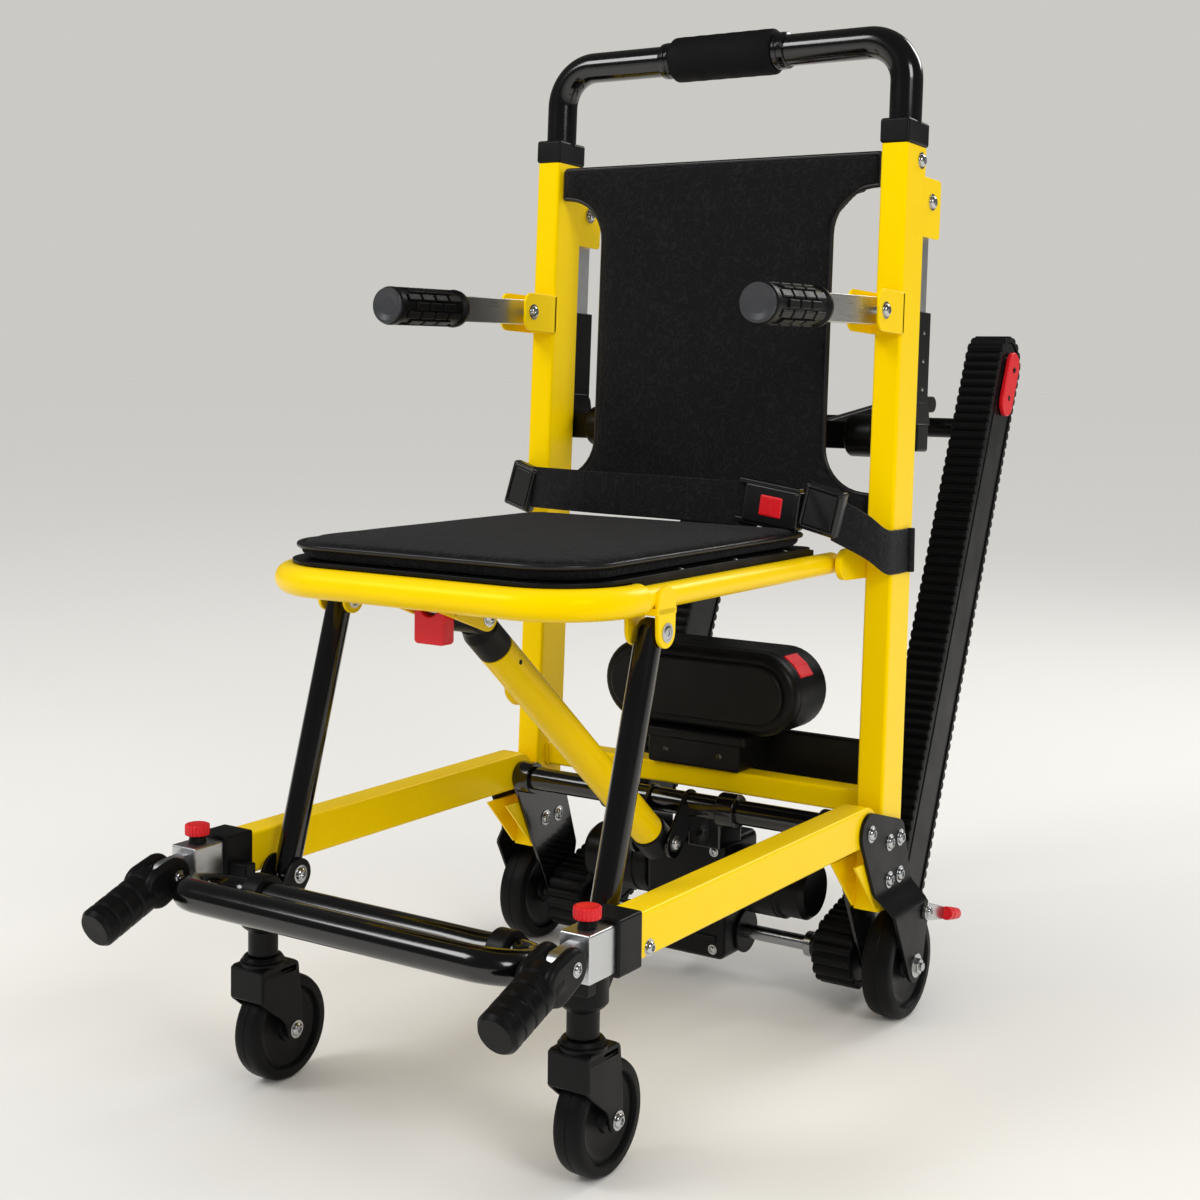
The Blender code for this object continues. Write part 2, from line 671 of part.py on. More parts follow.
def make_upright(name, side, body):
    """A leaning upright with the brackets that are welded to it."""
    x = side * UPRIGHT_X
    bottom = (UPRIGHT_BOTTOM - UPRIGHT_TOP) / math.cos(LEAN)
    tube = leaned(block((x - TUBE_WIDTH / 2, 0, bottom), (x + TUBE_WIDTH / 2, TUBE_DEPTH, 0)))
    inside = [TUBE_WIDTH / 2 - TUBE_WALL, TUBE_DEPTH - TUBE_WALL]
    hollow = leaned(block((x - inside[0], TUBE_WALL, bottom - 1), (x + inside[0], inside[1], 1)))
    solids = [tube]

    arm_low = -ARM_PIVOT_DROP - ARM_BRACKET_HEIGHT / 2
    arm_high = arm_low + ARM_BRACKET_HEIGHT
    half = TUBE_WIDTH / 2 + ARM_BRACKET_WALL
    cheek = rounded(
        [(-OVERLAP, arm_low, 0.0003), (-OVERLAP, arm_high, 0.0003), (-ARM_BRACKET_LENGTH, arm_high),
         (-ARM_BRACKET_LENGTH, arm_low)], 0.010)
    for way in (1, -1):
        solids.append(leaned(prism(cheek, x + way * TUBE_WIDTH / 2, x + way * half)))
    web = (half - WELD_INSET, arm_low + WELD_INSET, arm_high - WELD_INSET)
    solids.append(leaned(block((x - web[0], -ARM_BRACKET_WALL, web[1]), (x + web[0], OVERLAP, web[2]))))
    arm = (-ARM_PIVOT_AHEAD, -ARM_PIVOT_DROP)
    solids.append(leaned(pin(arm, x - half, x + half, ARM_PIN_RADIUS)))
    solids += [leaned(head) for head in bolt_heads(arm, (x - half, -1), (x + half, 1))]

    stay_rear = TUBE_DEPTH + STAY_BRACKET_REACH
    stay = rounded(
        [(TUBE_DEPTH - 2 * TUBE_WALL, -STAY_BRACKET_DROP, 0.0003), (stay_rear, -STAY_BRACKET_DROP),
         (stay_rear, -STAY_BRACKET_DROP - STAY_BRACKET_HEIGHT),
         (TUBE_DEPTH - 2 * TUBE_WALL, -STAY_BRACKET_DROP - STAY_BRACKET_HEIGHT, 0.0003)], 0.004)
    for way in (1, -1):
        outer = x + way * (TUBE_WIDTH / 2 - WELD_INSET)
        solids.append(leaned(prism(stay, outer - way * STAY_BRACKET_WALL, outer)))
    bolt = (TUBE_DEPTH + STAY_BAR_OFFSET + STAY_BAR_DEPTH / 2, -STAY_BOLT_DROP)
    pin_half = TUBE_WIDTH / 2 - OVERLAP
    solids.append(leaned(pin(bolt, x - pin_half, x + pin_half, STAY_PIN_RADIUS)))
    faces = ((x - TUBE_WIDTH / 2 + WELD_INSET, -1), (x + TUBE_WIDTH / 2 - WELD_INSET, 1))
    solids += [leaned(head) for head in bolt_heads(bolt, *faces)]
    top_bolt = (TUBE_DEPTH / 2 + HANDLE_LEG_RADIUS, -STAY_BRACKET_DROP / 2)
    solids += [leaned(head) for head in bolt_heads(top_bolt, *faces)]

    ear = hull((SEAT_PIVOT, 0.016), ((at_depth(SEAT_Z) + 0.012, SEAT_Z), 0.018))
    solids.append(side_prism(side, ear, INNER_X - EAR_THICKNESS, INNER_X + OVERLAP))
    washer = SEAT_X + SEAT_SIDE_RADIUS + GAP
    seat_pin = [(SEAT_PIN_RADIUS, SEAT_X - SEAT_SIDE_RADIUS), (SEAT_PIN_RADIUS, washer),
                (2 * SEAT_PIN_RADIUS, washer), (2 * SEAT_PIN_RADIUS, INNER_X - EAR_THICKNESS / 2)]
    solids.append(lathe(seat_pin, (0, *SEAT_PIVOT), (side, 0, 0), SMALL_ROUND))

    gusset_top = PIVOT_Z - RAIL_HEIGHT * 0.75
    gusset = [
        (at_depth(gusset_top) + OVERLAP, gusset_top), (PIVOT_Y - 0.026, gusset_top),
        (at_depth(UPRIGHT_BOTTOM) - 0.004, UPRIGHT_BOTTOM + 0.004),
        (at_depth(UPRIGHT_BOTTOM) + OVERLAP, UPRIGHT_BOTTOM + 0.004)]
    for way in (1, -1):
        outer = UPRIGHT_X + way * (TUBE_WIDTH / 2 - WELD_INSET)
        solids.append(side_prism(side, gusset, outer - way * 1.5 * TUBE_WALL, outer))
    part(f"upright_{name}", "yellow_paint", body, solids, [hollow])


def make_cap(name, side, body):
    """The plastic cap on an upright, bored for the leg of the push handle."""
    x = side * UPRIGHT_X
    half = TUBE_WIDTH / 2 + CAP_PROUD
    shell = block((x - half, -CAP_PROUD, GAP), (x + half, TUBE_DEPTH + CAP_PROUD, CAP_HEIGHT), 0.002)
    leg_hole = bore((x, TUBE_DEPTH / 2, -1), (x, TUBE_DEPTH / 2, 1), HANDLE_LEG_RADIUS + SLIDE)
    part(f"upright_cap_{name}", "black_plastic", body, [leaned(shell)], [leaned(leg_hole)])


def make_cross_tube(body):
    """The yellow tube welded between the uprights."""
    half = (CROSS_TUBE_DEPTH / 2, CROSS_TUBE_HEIGHT / 2)
    end = INNER_X - GAP
    tube = block((-end, CROSS_TUBE_Y - half[0], CROSS_TUBE_Z - half[1]),
                 (end, CROSS_TUBE_Y + half[0], CROSS_TUBE_Z + half[1]))
    inner = (half[0] - TUBE_WALL, half[1] - TUBE_WALL)
    hollow = block((-1, CROSS_TUBE_Y - inner[0], CROSS_TUBE_Z - inner[1]),
                   (1, CROSS_TUBE_Y + inner[0], CROSS_TUBE_Z + inner[1]))
    part("lower_cross_tube", "yellow_paint", body, [tube], [hollow])


def plate_outline(lobe, drop):
    """A wheel plate's outline: from the rail pivot across the upright to the brake pivot and the axle."""
    corner = 0.016
    upper = at_depth(PIVOT_Z) + TUBE_DEPTH - corner - GAP
    return hull((PIVOT, lobe), ((upper, PIVOT_Z - drop), corner), ((BRAKE_Y, BRAKE_Z), 0.012), (AXLE, 0.018))


def make_lower_frame(body):
    """The black cross tube that the rails turn on, the two inner wheel plates and the brace's bracket."""
    plate_outer = INNER_X - GAP
    solids = [pin(PIVOT, -plate_outer + OVERLAP, plate_outer - OVERLAP, PIVOT_TUBE_RADIUS, ROUND)]
    cuts = []
    for side in (1, -1):
        outline = plate_outline(INNER_PLATE_LOBE, INNER_PLATE_DROP)
        solids.append(side_prism(side, outline, plate_outer - PLATE_THICKNESS, plate_outer))
        solids.append(pin(PIVOT, side * (plate_outer - OVERLAP), side * OUTER_X, PIVOT_PIN_RADIUS))
        collar_end = plate_outer - PLATE_THICKNESS + OVERLAP
        collar_start = collar_end - PIVOT_COLLAR_LENGTH
        solids.append(pin(PIVOT, side * collar_start, side * collar_end, PIVOT_COLLAR_RADIUS))
        cuts.append(cross_bore(AXLE, side * (plate_outer - 2 * PLATE_THICKNESS),
                               side * (plate_outer + PLATE_THICKNESS), SHAFT_RADIUS + RUN))
        inside = BRACE_RADIUS + BRACE_SIDE_CLEARANCE
        cheek = hull((PIVOT, 0.016), (BRACE_FOOT, 0.016))
        solids.append(side_prism(side, cheek, inside, inside + CHEEK_THICKNESS))
        lug = (inside + CHEEK_THICKNESS - OVERLAP, inside + CHEEK_THICKNESS + 0.038)
        lug_y = (PIVOT_Y - 0.004, GEARBOX_FRONT_Y + 0.016)
        solids.append(side_block(side, lug, lug_y, (GEARBOX_TOP + GAP, PIVOT_Z)))
    reach = BRACE_RADIUS + BRACE_SIDE_CLEARANCE + CHEEK_THICKNESS
    solids.append(pin(BRACE_FOOT, -reach, reach, BRACE_PIN_RADIUS))
    solids += bolt_heads(BRACE_FOOT, (-reach, -1), (reach, 1))
    part("lower_frame", "black_paint", body, solids, cuts)


def make_outer_plate(name, side, body):
    """The outer wheel plate, bent outward below the upright, with the wheel's stub axle and its bolts."""
    inner = OUTER_X + GAP
    wheel_face = OUTER_X + REAR_WIDTH / 2
    step = wheel_face + WHEEL_SIDE_CLEARANCE - inner
    bend_top = UPRIGHT_BOTTOM + PLATE_BEND_HEIGHT
    outline = plate_outline(OUTER_PLATE_LOBE, OUTER_PLATE_DROP)
    plate = side_prism(side, outline, inner, inner + PLATE_THICKNESS)
    bm = bmesh.new()
    bm.from_mesh(plate.data)
    for height in (bend_top, UPRIGHT_BOTTOM):
        everything = bm.verts[:] + bm.edges[:] + bm.faces[:]
        bmesh.ops.bisect_plane(bm, geom=everything, plane_co=(0, 0, height), plane_no=(0, 0, 1), dist=1e-6)
    for vert in bm.verts:
        share = (bend_top - vert.co.z) / (bend_top - UPRIGHT_BOTTOM)
        vert.co.x += side * step * min(max(share, 0), 1)
    bmesh.ops.triangulate(bm, faces=bm.faces)
    bm.to_mesh(plate.data)
    bm.free()
    outer = inner + PLATE_THICKNESS
    low_outer = outer + step
    solids = [plate]
    mid = at_depth(PIVOT_Z) + TUBE_DEPTH / 2
    for point in (PIVOT, (mid - 0.013, PIVOT_Z - 0.018), (mid + 0.013, PIVOT_Z - 0.018),
                  (mid - 0.013, bend_top + 0.010), (mid + 0.013, bend_top + 0.010)):
        solids += bolt_heads(point, (side * outer, side))
    spacer_end = wheel_face - REAR_WIDTH - GAP
    plate_face = INNER_X + GAP + SHAFT_PROUD
    shoulder = 1.5 * REAR_AXLE_RADIUS
    axle = [(shoulder, plate_face), (shoulder, spacer_end), (REAR_AXLE_RADIUS, spacer_end),
            (REAR_AXLE_RADIUS, wheel_face + GAP), (shoulder, wheel_face + GAP),
            (shoulder, low_outer + BOLT_HEAD_HEIGHT)]
    solids.append(lathe(axle, (0, *AXLE), (side, 0, 0), SMALL_ROUND))
    solids.append(pin((BRAKE_Y, BRAKE_Z), side * (low_outer - OVERLAP),
                      side * (low_outer + GAP + BRAKE_ARM_THICKNESS), BRAKE_PIN_RADIUS))
    part(f"outer_wheel_plate_{name}", "black_paint", body, solids)
    return low_outer


def wheel_profile(radius, width, bore):
    """The turned profile of a solid tyre on a dished hub."""
    half = width / 2
    dish = half - WHEEL_DISH
    outer = [(bore, dish), (0.68 * radius, dish), (0.72 * radius, half), (0.91 * radius, half),
             (radius, 0.5 * half)]
    return [(r, -s) for r, s in outer] + list(reversed(outer))


def make_rear_wheel(name, side, root):
    """A rear wheel on its stub axle."""
    centre = Vector((side * OUTER_X, *AXLE))
    body = empty(f"rear_wheel_{name}_axis", centre, root)
    profile = wheel_profile(REAR_RADIUS, REAR_WIDTH, REAR_AXLE_RADIUS + RUN)
    wheel = lathe(profile, centre, (1, 0, 0), WHEEL_SIDES, ring=True, flat=True)
    part(f"rear_wheel_{name}", "rubber", body, [wheel])


def make_brake(name, side, root, plate_face):
    """A brake lever that turns on a pin of the outer wheel plate."""
    body = empty(f"brake_{name}_axis", (side * plate_face, BRAKE_Y, BRAKE_Z), root)
    inner = plate_face + GAP
    outer = inner + BRAKE_ARM_THICKNESS
    tail = (BRAKE_Y + BRAKE_ARM_LENGTH, BRAKE_Z - 0.010)
    arm = side_prism(side, hull(((BRAKE_Y, BRAKE_Z), 0.009), (tail, 0.007), steps=TUBE_SIDES), inner, outer)
    x = side * (inner + BRAKE_TIP_RADIUS + GAP)
    grip = lathe([(0.0045, -0.010), (0.0045, 0.006), (BRAKE_TIP_RADIUS, 0.007),
                  (BRAKE_TIP_RADIUS - 0.001, BRAKE_TIP_LENGTH - 0.002), (0.004, BRAKE_TIP_LENGTH)],
                 (x, *tail), (0, 1, -0.25), SMALL_ROUND)
    eye = cross_bore((BRAKE_Y, BRAKE_Z), side * (inner - 0.01), side * (outer + 0.01), BRAKE_PIN_RADIUS + RUN)
    part(f"brake_lever_{name}", "red_plastic", body, [arm, grip], [eye])


def make_rail(name, side, body):
    """A lower side rail: rectangular tube with a rounded end on its pivot."""
    low, high = RAIL_Z - RAIL_HEIGHT / 2, RAIL_Z + RAIL_HEIGHT / 2
    end = high - PIVOT_Z
    outline = [(RAIL_FRONT_Y, low), (RAIL_FRONT_Y, high)]
    turns = [math.pi / 16 * k for k in range(9)]
    outline += [(PIVOT_Y + end * math.sin(t), PIVOT_Z + end * math.cos(t)) for t in turns]
    outline += [(PIVOT_Y + end * 0.8, low)]
    x0, x1 = INNER_X, OUTER_X
    inner = (RAIL_HEIGHT / 2 - TUBE_WALL, TUBE_WIDTH / 2 - TUBE_WALL)
    hollow = side_block(side, (UPRIGHT_X - inner[1], UPRIGHT_X + inner[1]),
                        (RAIL_FRONT_Y - 0.1, PIVOT_Y - RAIL_SOLID_END),
                        (RAIL_Z - inner[0], RAIL_Z + inner[0]))
    eye = cross_bore(PIVOT, side * (x0 - 0.01), side * (x1 + 0.01), PIVOT_PIN_RADIUS + RUN)
    part(f"rail_{name}", "yellow_paint", body, [side_prism(side, outline, x0, x1)], [hollow, eye])


def make_front_bracket(name, side, body):
    """The black bracket on the rail's end: sleeve, caster boss, strut cheeks and footrest clamp."""
    slot = (TUBE_WIDTH / 2 + GAP, RAIL_HEIGHT / 2 + GAP)
    half = (slot[0] + SLEEVE_WALL, slot[1] + SLEEVE_WALL)
    rear = RAIL_FRONT_Y + SLEEVE_OVERLAP
    front = rear - SLEEVE_LENGTH
    sleeve = side_block(side, (UPRIGHT_X - half[0], UPRIGHT_X + half[0]), (front, rear),
                        (RAIL_Z - half[1], RAIL_Z + half[1]), 0.0015)
    opening = side_block(side, (UPRIGHT_X - slot[0], UPRIGHT_X + slot[0]), (front - 0.1, rear + 0.1),
                         (RAIL_Z - slot[1], RAIL_Z + slot[1]))
    sleeve_low = RAIL_Z - half[1]
    boss_top = sleeve_low - 0.010
    x = side * CASTER_X
    boss = rod((x, CASTER_Y, BOSS_BOTTOM), (x, CASTER_Y, boss_top), BOSS_RADIUS, ROUND)
    stem = rod((x, CASTER_Y, STEM_BOTTOM), (x, CASTER_Y, BOSS_BOTTOM + OVERLAP), STEM_RADIUS, ROUND)
    link = side_block(side, (CASTER_X - 0.004, UPRIGHT_X - slot[0] - OVERLAP / 2),
                      (front + 0.004, rear - 0.018), (boss_top - 0.014, RAIL_Z))
    solids = [sleeve, boss, stem, link]
    inside = STRUT_RADIUS + CHEEK_CLEARANCE
    cheek = hull((STRUT_FOOT, 0.015), ((CASTER_Y + 0.006, boss_top - 0.014), 0.013), steps=TUBE_SIDES)
    for way in (1, -1):
        face = STRUT_X + way * (inside + CHEEK_THICKNESS)
        solids.append(side_prism(side, cheek, STRUT_X + way * inside, face))
        solids += bolt_heads(STRUT_FOOT, (side * face, side * way))
    clamp = hull(((FOOT_REAR_Y, FOOT_REAR_Z), FOOT_TUBE_RADIUS + CLAMP_WALL),
                 ((CASTER_Y - 0.008, boss_top - 0.010), 0.009))
    clamp_x = (CLAMP_X - CLAMP_WIDTH / 2, CLAMP_X + CLAMP_WIDTH / 2)
    solids.append(side_prism(side, clamp, *clamp_x))
    solids.append(side_block(side, (clamp_x[0], CASTER_X), (CASTER_Y - 0.016, CASTER_Y + 0.010),
                             (boss_top - 0.018, boss_top - 0.002)))
    axle_top = STEM_BOTTOM + SWIVEL_PIN_LENGTH + RUN
    axle = bore((x, CASTER_Y, 0), (x, CASTER_Y, axle_top), SWIVEL_PIN_RADIUS + RUN)
    ring = cross_bore((FOOT_REAR_Y, FOOT_REAR_Z), side * (clamp_x[0] - 0.01), side * (clamp_x[1] + 0.01),
                      FOOT_TUBE_RADIUS + SLIDE)
    part(f"front_bracket_{name}", "black_plastic", body, solids, [opening, axle, ring])
    return front


def make_handle_block(name, side, body, root, sleeve_front):
    """The aluminium block in the sleeve, the pull knob on it and the lift handle hinged to its tongue."""
    x = side * UPRIGHT_X
    low, high = RAIL_Z - RAIL_HEIGHT / 2, RAIL_Z + RAIL_HEIGHT / 2
    rear = RAIL_FRONT_Y - GAP
    front = rear - BLOCK_LENGTH
    pivot = (front - HANDLE_PIVOT_AHEAD, RAIL_Z)
    tongue = hull((pivot, TONGUE_RADIUS), ((front + 0.002, RAIL_Z), TONGUE_RADIUS + 0.002), steps=TUBE_SIDES)
    solids = [side_block(side, (INNER_X, OUTER_X), (front, rear), (low, high), 0.002)]
    solids.append(prism(tongue, x - TONGUE_THICKNESS / 2, x + TONGUE_THICKNESS / 2))
    knob_y = (front + sleeve_front) / 2
    pin_radius = 0.003
    well = bore((x, knob_y, high - KNOB_PIN_LENGTH - RUN), (x, knob_y, high + 0.1), pin_radius + SLIDE)
    eye = cross_bore(pivot, x - 0.1, x + 0.1, pin_radius + RUN)
    part(f"handle_block_{name}", "aluminium", body, solids, [well, eye])

    lift = empty(f"pull_knob_{name}_axis", (x, knob_y, high), root)
    base = high + GAP
    knob = lathe([(pin_radius, -KNOB_PIN_LENGTH), (pin_radius, 0), (0.006, 0), (0.006, KNOB_STEM_HEIGHT),
                  (KNOB_RADIUS - 0.001, KNOB_STEM_HEIGHT), (KNOB_RADIUS, KNOB_STEM_HEIGHT + 0.001),
                  (KNOB_RADIUS, KNOB_STEM_HEIGHT + KNOB_HEIGHT - 0.0015),
                  (KNOB_RADIUS - 0.0015, KNOB_STEM_HEIGHT + KNOB_HEIGHT)],
                 (x, knob_y, base), (0, 0, 1), ROUND)
    part(f"pull_knob_{name}", "red_plastic", lift, [knob])

    hinge = empty(f"lift_handle_{name}_axis", (x, *pivot), root)
    way = Vector((0, -math.cos(HANDLE_SLOPE), -math.sin(HANDLE_SLOPE)))
    profile = [(HANDLE_RADIUS - 0.002, -0.002), (HANDLE_RADIUS, 0.002)]
    pitch = (HANDLE_LENGTH - 0.026) / HANDLE_RIBS
    for k in range(HANDLE_RIBS):
        start = 0.016 + k * pitch
        profile += [(HANDLE_RADIUS, start), (HANDLE_RADIUS - GROOVE_DEPTH, start + GROOVE_WIDTH / 2),
                    (HANDLE_RADIUS, start + GROOVE_WIDTH)]
    profile += [(HANDLE_RADIUS, HANDLE_LENGTH - 0.004), (HANDLE_RADIUS - 0.003, HANDLE_LENGTH)]
    grip = lathe(profile, (x, *pivot), way, TUBE_SIDES)
    bolt = pin(pivot, x - HANDLE_RADIUS * 0.8, x + HANDLE_RADIUS * 0.8, pin_radius)
    slot_half = TONGUE_THICKNESS / 2 + GAP
    slot = pin(pivot, x - slot_half, x + slot_half, TONGUE_RADIUS + 0.004, ROUND)
    slotted = part(f"shape_{name}", "black_plastic", hinge, [grip], [slot])
    part(f"lift_handle_{name}", "black_plastic", hinge, [slotted, bolt])


def make_caster(name, side, root):
    """A swivelling fork and its wheel."""
    x = side * CASTER_X
    swivel = empty(f"caster_swivel_{name}_axis", (x, CASTER_Y, STEM_BOTTOM), root)
    axle = (CASTER_Y + CASTER_TRAIL, CASTER_RADIUS)
    crown_low = 2 * CASTER_RADIUS + FORK_CROWN_CLEARANCE
    crown_high = STEM_BOTTOM - 0.008
    inside = CASTER_WIDTH / 2 + FORK_SIDE_CLEARANCE
    outside = inside + FORK_THICKNESS
    crown = block((x - outside, CASTER_Y - FORK_AHEAD, crown_low),
                  (x + outside, CASTER_Y + FORK_BEHIND, crown_high), 0.003)
    shoulder_z = crown_high - FORK_SHOULDER
    leg = hull(((CASTER_Y + 0.001, shoulder_z), FORK_SHOULDER),
               ((CASTER_Y + FORK_BEHIND - FORK_SHOULDER, shoulder_z), FORK_SHOULDER), (axle, FORK_EYE_RADIUS))
    kingpin_top = STEM_BOTTOM + SWIVEL_PIN_LENGTH
    race = STEM_BOTTOM - GAP
    bearing = lathe([(BEARING_RADIUS, crown_high - OVERLAP), (BEARING_RADIUS, crown_high + 0.0035),
                     (BEARING_TOP_RADIUS, crown_high + 0.004), (BEARING_TOP_RADIUS, race),
                     (SWIVEL_PIN_RADIUS, race), (SWIVEL_PIN_RADIUS, kingpin_top)],
                    (x, CASTER_Y, 0), (0, 0, 1))
    shoulder = 1.6 * CASTER_AXLE_RADIUS
    half_axle = [(CASTER_AXLE_RADIUS, CASTER_WIDTH / 2 + GAP), (shoulder, CASTER_WIDTH / 2 + GAP),
                 (shoulder, outside + BOLT_HEAD_HEIGHT)]
    bolt = lathe([(r, -d) for r, d in reversed(half_axle)] + half_axle, (x, *axle), (1, 0, 0), SMALL_ROUND)
    solids = [crown, bearing, bolt]
    for way in (1, -1):
        solids.append(prism(leg, x + way * inside, x + way * outside))
    part(f"caster_fork_{name}", "black_plastic", swivel, solids)

    centre = Vector((x, *axle))
    spin = empty(f"caster_wheel_{name}_axis", centre, swivel)
    profile = wheel_profile(CASTER_RADIUS, CASTER_WIDTH, CASTER_AXLE_RADIUS + RUN)
    wheel = lathe(profile, centre, (1, 0, 0), WHEEL_SIDES, ring=True, flat=True)
    part(f"caster_wheel_{name}", "rubber", spin, [wheel])


def make_footrest(root):
    """The loop of tube that the feet rest on."""
    hinge = empty("footrest_axis", (0, FOOT_REAR_Y, FOOT_REAR_Z), root)
    rear, front = Vector((0, FOOT_REAR_Y, FOOT_REAR_Z)), Vector((0, FOOT_FRONT_Y, FOOT_FRONT_Z))
    middle, arm = (rear + front) / 2, (rear - front) / 2
    path = []
    for way in (1, -1):
        end = middle + Vector((way * FOOT_HALF_STRAIGHT, 0, 0))
        for k in range(9):
            turn = math.pi * k / 8
            path.append(end + way * arm * math.cos(turn) + Vector((way * arm.length * math.sin(turn), 0, 0)))
    part("footrest", "black_paint", hinge, [pipe(path, FOOT_TUBE_RADIUS, closed=True)])


def make_seat(root):
    """The seat: tube frame with its brackets, board and pad."""
    hinge = empty("seat_axis", (0, *SEAT_PIVOT), root)
    corners = [(SEAT_X, SEAT_STEP_Y, SEAT_Z), (SEAT_X, SEAT_FRONT_Y, SEAT_Z), (-SEAT_X, SEAT_FRONT_Y, SEAT_Z),
               (-SEAT_X, SEAT_STEP_Y, SEAT_Z)]
    solids = [pipe(bent(corners, SEAT_CORNER_RADIUS), SEAT_LOOP_RADIUS)]
    cuts = []
    inside = STRUT_RADIUS + CHEEK_CLEARANCE
    reach = inside + CHEEK_THICKNESS
    saddle_low = STRUT_TOP_Z + STRUT_RADIUS + 0.003
    cheek = hull((STRUT_TOP, 0.014), ((STRUT_TOP_Y, saddle_low), 0.015), steps=TUBE_SIDES)
    for side in (1, -1):
        rear = SEAT_PIVOT_Y + 2 * SEAT_PIN_RADIUS
        x = side * SEAT_X
        solids.append(rod((x, SEAT_STEP_Y - 0.01, SEAT_Z), (x, rear, SEAT_Z), SEAT_SIDE_RADIUS, TUBE_SIDES))
        cuts.append(cross_bore(SEAT_PIVOT, x - side * 0.05, x + side * 0.05, SEAT_PIN_RADIUS + RUN))
        saddle_y = (STRUT_TOP_Y - 0.016, STRUT_TOP_Y + 0.016)
        solids.append(side_block(side, (STRUT_X - reach, STRUT_X + reach), saddle_y,
                                 (saddle_low, SEAT_Z - SEAT_SIDE_RADIUS + 3 * OVERLAP)))
        for way in (1, -1):
            solids.append(side_prism(side, cheek, STRUT_X + way * inside, STRUT_X + way * reach))
            face = side * (STRUT_X + way * reach)
            solids += bolt_heads(STRUT_TOP, (face, side * way), height=STRUT_HEAD_HEIGHT)
        solids.append(pin(STRUT_TOP, side * (STRUT_X - reach), side * (STRUT_X + reach), STRUT_PIN_RADIUS))
    stay_inside = BRACE_RADIUS + BRACE_SIDE_CLEARANCE
    stay_reach = stay_inside + CHEEK_THICKNESS
    stay = hull((BRACE_TOP, 0.013), ((SEAT_FRONT_Y, SEAT_Z), 0.011), steps=TUBE_SIDES)
    lever_axis = (SEAT_FRONT_Y + 0.036, SEAT_Z - SEAT_LOOP_RADIUS - 0.006)
    for side in (1, -1):
        solids.append(side_prism(side, stay, stay_inside, stay_reach))
        solids += bolt_heads(BRACE_TOP, (side * stay_reach, side))
    solids.append(pin(lever_axis, -stay_reach, stay_reach, LEVER_PIN_RADIUS))
    part("seat_frame", "yellow_paint", hinge, solids, cuts)

    board_x = SEAT_X - 0.006
    front, rear = SEAT_FRONT_Y + 0.004, SEAT_PIVOT_Y - 0.022
    corner = SEAT_CORNER_RADIUS - 0.012
    outline = rounded([(board_x, rear, 0.012), (-board_x, rear, 0.012), (-board_x, front, corner),
                       (board_x, front, corner)], corner)
    part("seat_board", "black_plastic", hinge, [prism(outline, BOARD_LOW, BOARD_LOW + BOARD_THICKNESS, "Z")])

    pad_x = board_x - 0.004
    outline = rounded([(pad_x, rear - 0.004, 0.018), (-pad_x, rear - 0.004, 0.018),
                       (-pad_x, front + 0.002, corner), (pad_x, front + 0.002, corner)], corner)
    pad = cushion(outline, lambda u, v, h: (u, v, PAD_LOW + h), PAD_THICKNESS, PAD_CROWN)
    part("seat_pad", "fabric", hinge, [pad])

    pull = empty("release_lever_axis", (0, *lever_axis), hinge)
    half = LEVER_WIDTH / 2
    top = lever_axis[1] + 0.005
    paddle = block((-half, lever_axis[0] - LEVER_THICKNESS / 2, top - LEVER_LENGTH),
                   (half, lever_axis[0] + LEVER_THICKNESS / 2, top), 0.003)
    eye = cross_bore(lever_axis, -0.1, 0.1, LEVER_PIN_RADIUS + RUN)
    part("release_lever", "red_plastic", pull, [paddle], [eye])
    return hinge


def make_struts(seat):
    """The two front struts, hung on the seat's brackets. Their feet stand free between two cheeks."""
    body = empty("strut_axis", (0, *STRUT_TOP), seat)
    way = (Vector(STRUT_TOP) - Vector(STRUT_FOOT)).normalized()
    length = math.dist(STRUT_TOP, STRUT_FOOT)
    end = [(r * STRUT_RADIUS, s * STRUT_RADIUS) for r, s in ((0.45, 0.9), (0.85, 0.55), (1, 0))]
    profile = [(r, -s) for r, s in end] + [(r, length + s) for r, s in reversed(end)]
    for name, side in SIDES:
        x = side * STRUT_X
        eye = cross_bore(STRUT_TOP, x - 0.05, x + 0.05, STRUT_PIN_RADIUS + RUN)
        bar = lathe(profile, (x, *STRUT_FOOT), (0, *way))
        part(f"front_strut_{name}", "black_paint", body, [bar], [eye])


def make_brace(root):
    """The telescopic brace: a tube hinged on the lower frame and a rod whose head sits under the seat."""
    body = empty("brace_axis", (0, *BRACE_FOOT), root)
    foot, top = Vector((0, *BRACE_FOOT)), Vector((0, *BRACE_TOP))
    way = (top - foot).normalized()
    mouth = top - way * BRACE_TUBE_END
    bore_radius = BRACE_RADIUS - BRACE_WALL
    tube = rod(foot - way * BRACE_FOOT_END, mouth, BRACE_RADIUS, ROUND)
    hollow = bore(foot + way * BRACE_SOLID_END, top, bore_radius)
    eye = cross_bore(BRACE_FOOT, -0.1, 0.1, BRACE_PIN_RADIUS + RUN)
    ear_place = (mouth - way * BRACE_EAR_DROP).yz
    ear = prism(circle(ear_place, BRACE_EAR_RADIUS, SMALL_ROUND), -BRACE_EAR_REACH, -BRACE_RADIUS + 0.006)
    part("brace_tube", "yellow_paint", body, [tube, ear], [hollow, eye])

    slide = empty("brace_rod_axis", mouth, body)
    rod_radius = bore_radius - SLIDE
    tail = top - way * BRACE_ROD_LENGTH
    stem = rod(tail, top - way * 0.010, rod_radius, ROUND)
    collar = rod(mouth + way * GAP, top - way * 0.014, BRACE_RADIUS, ROUND)
    head = prism(circle(BRACE_TOP, BRACE_HEAD_RADIUS, ROUND), -BRACE_RADIUS, BRACE_RADIUS)
    part("brace_rod", "black_plastic", slide, [stem, collar, head])


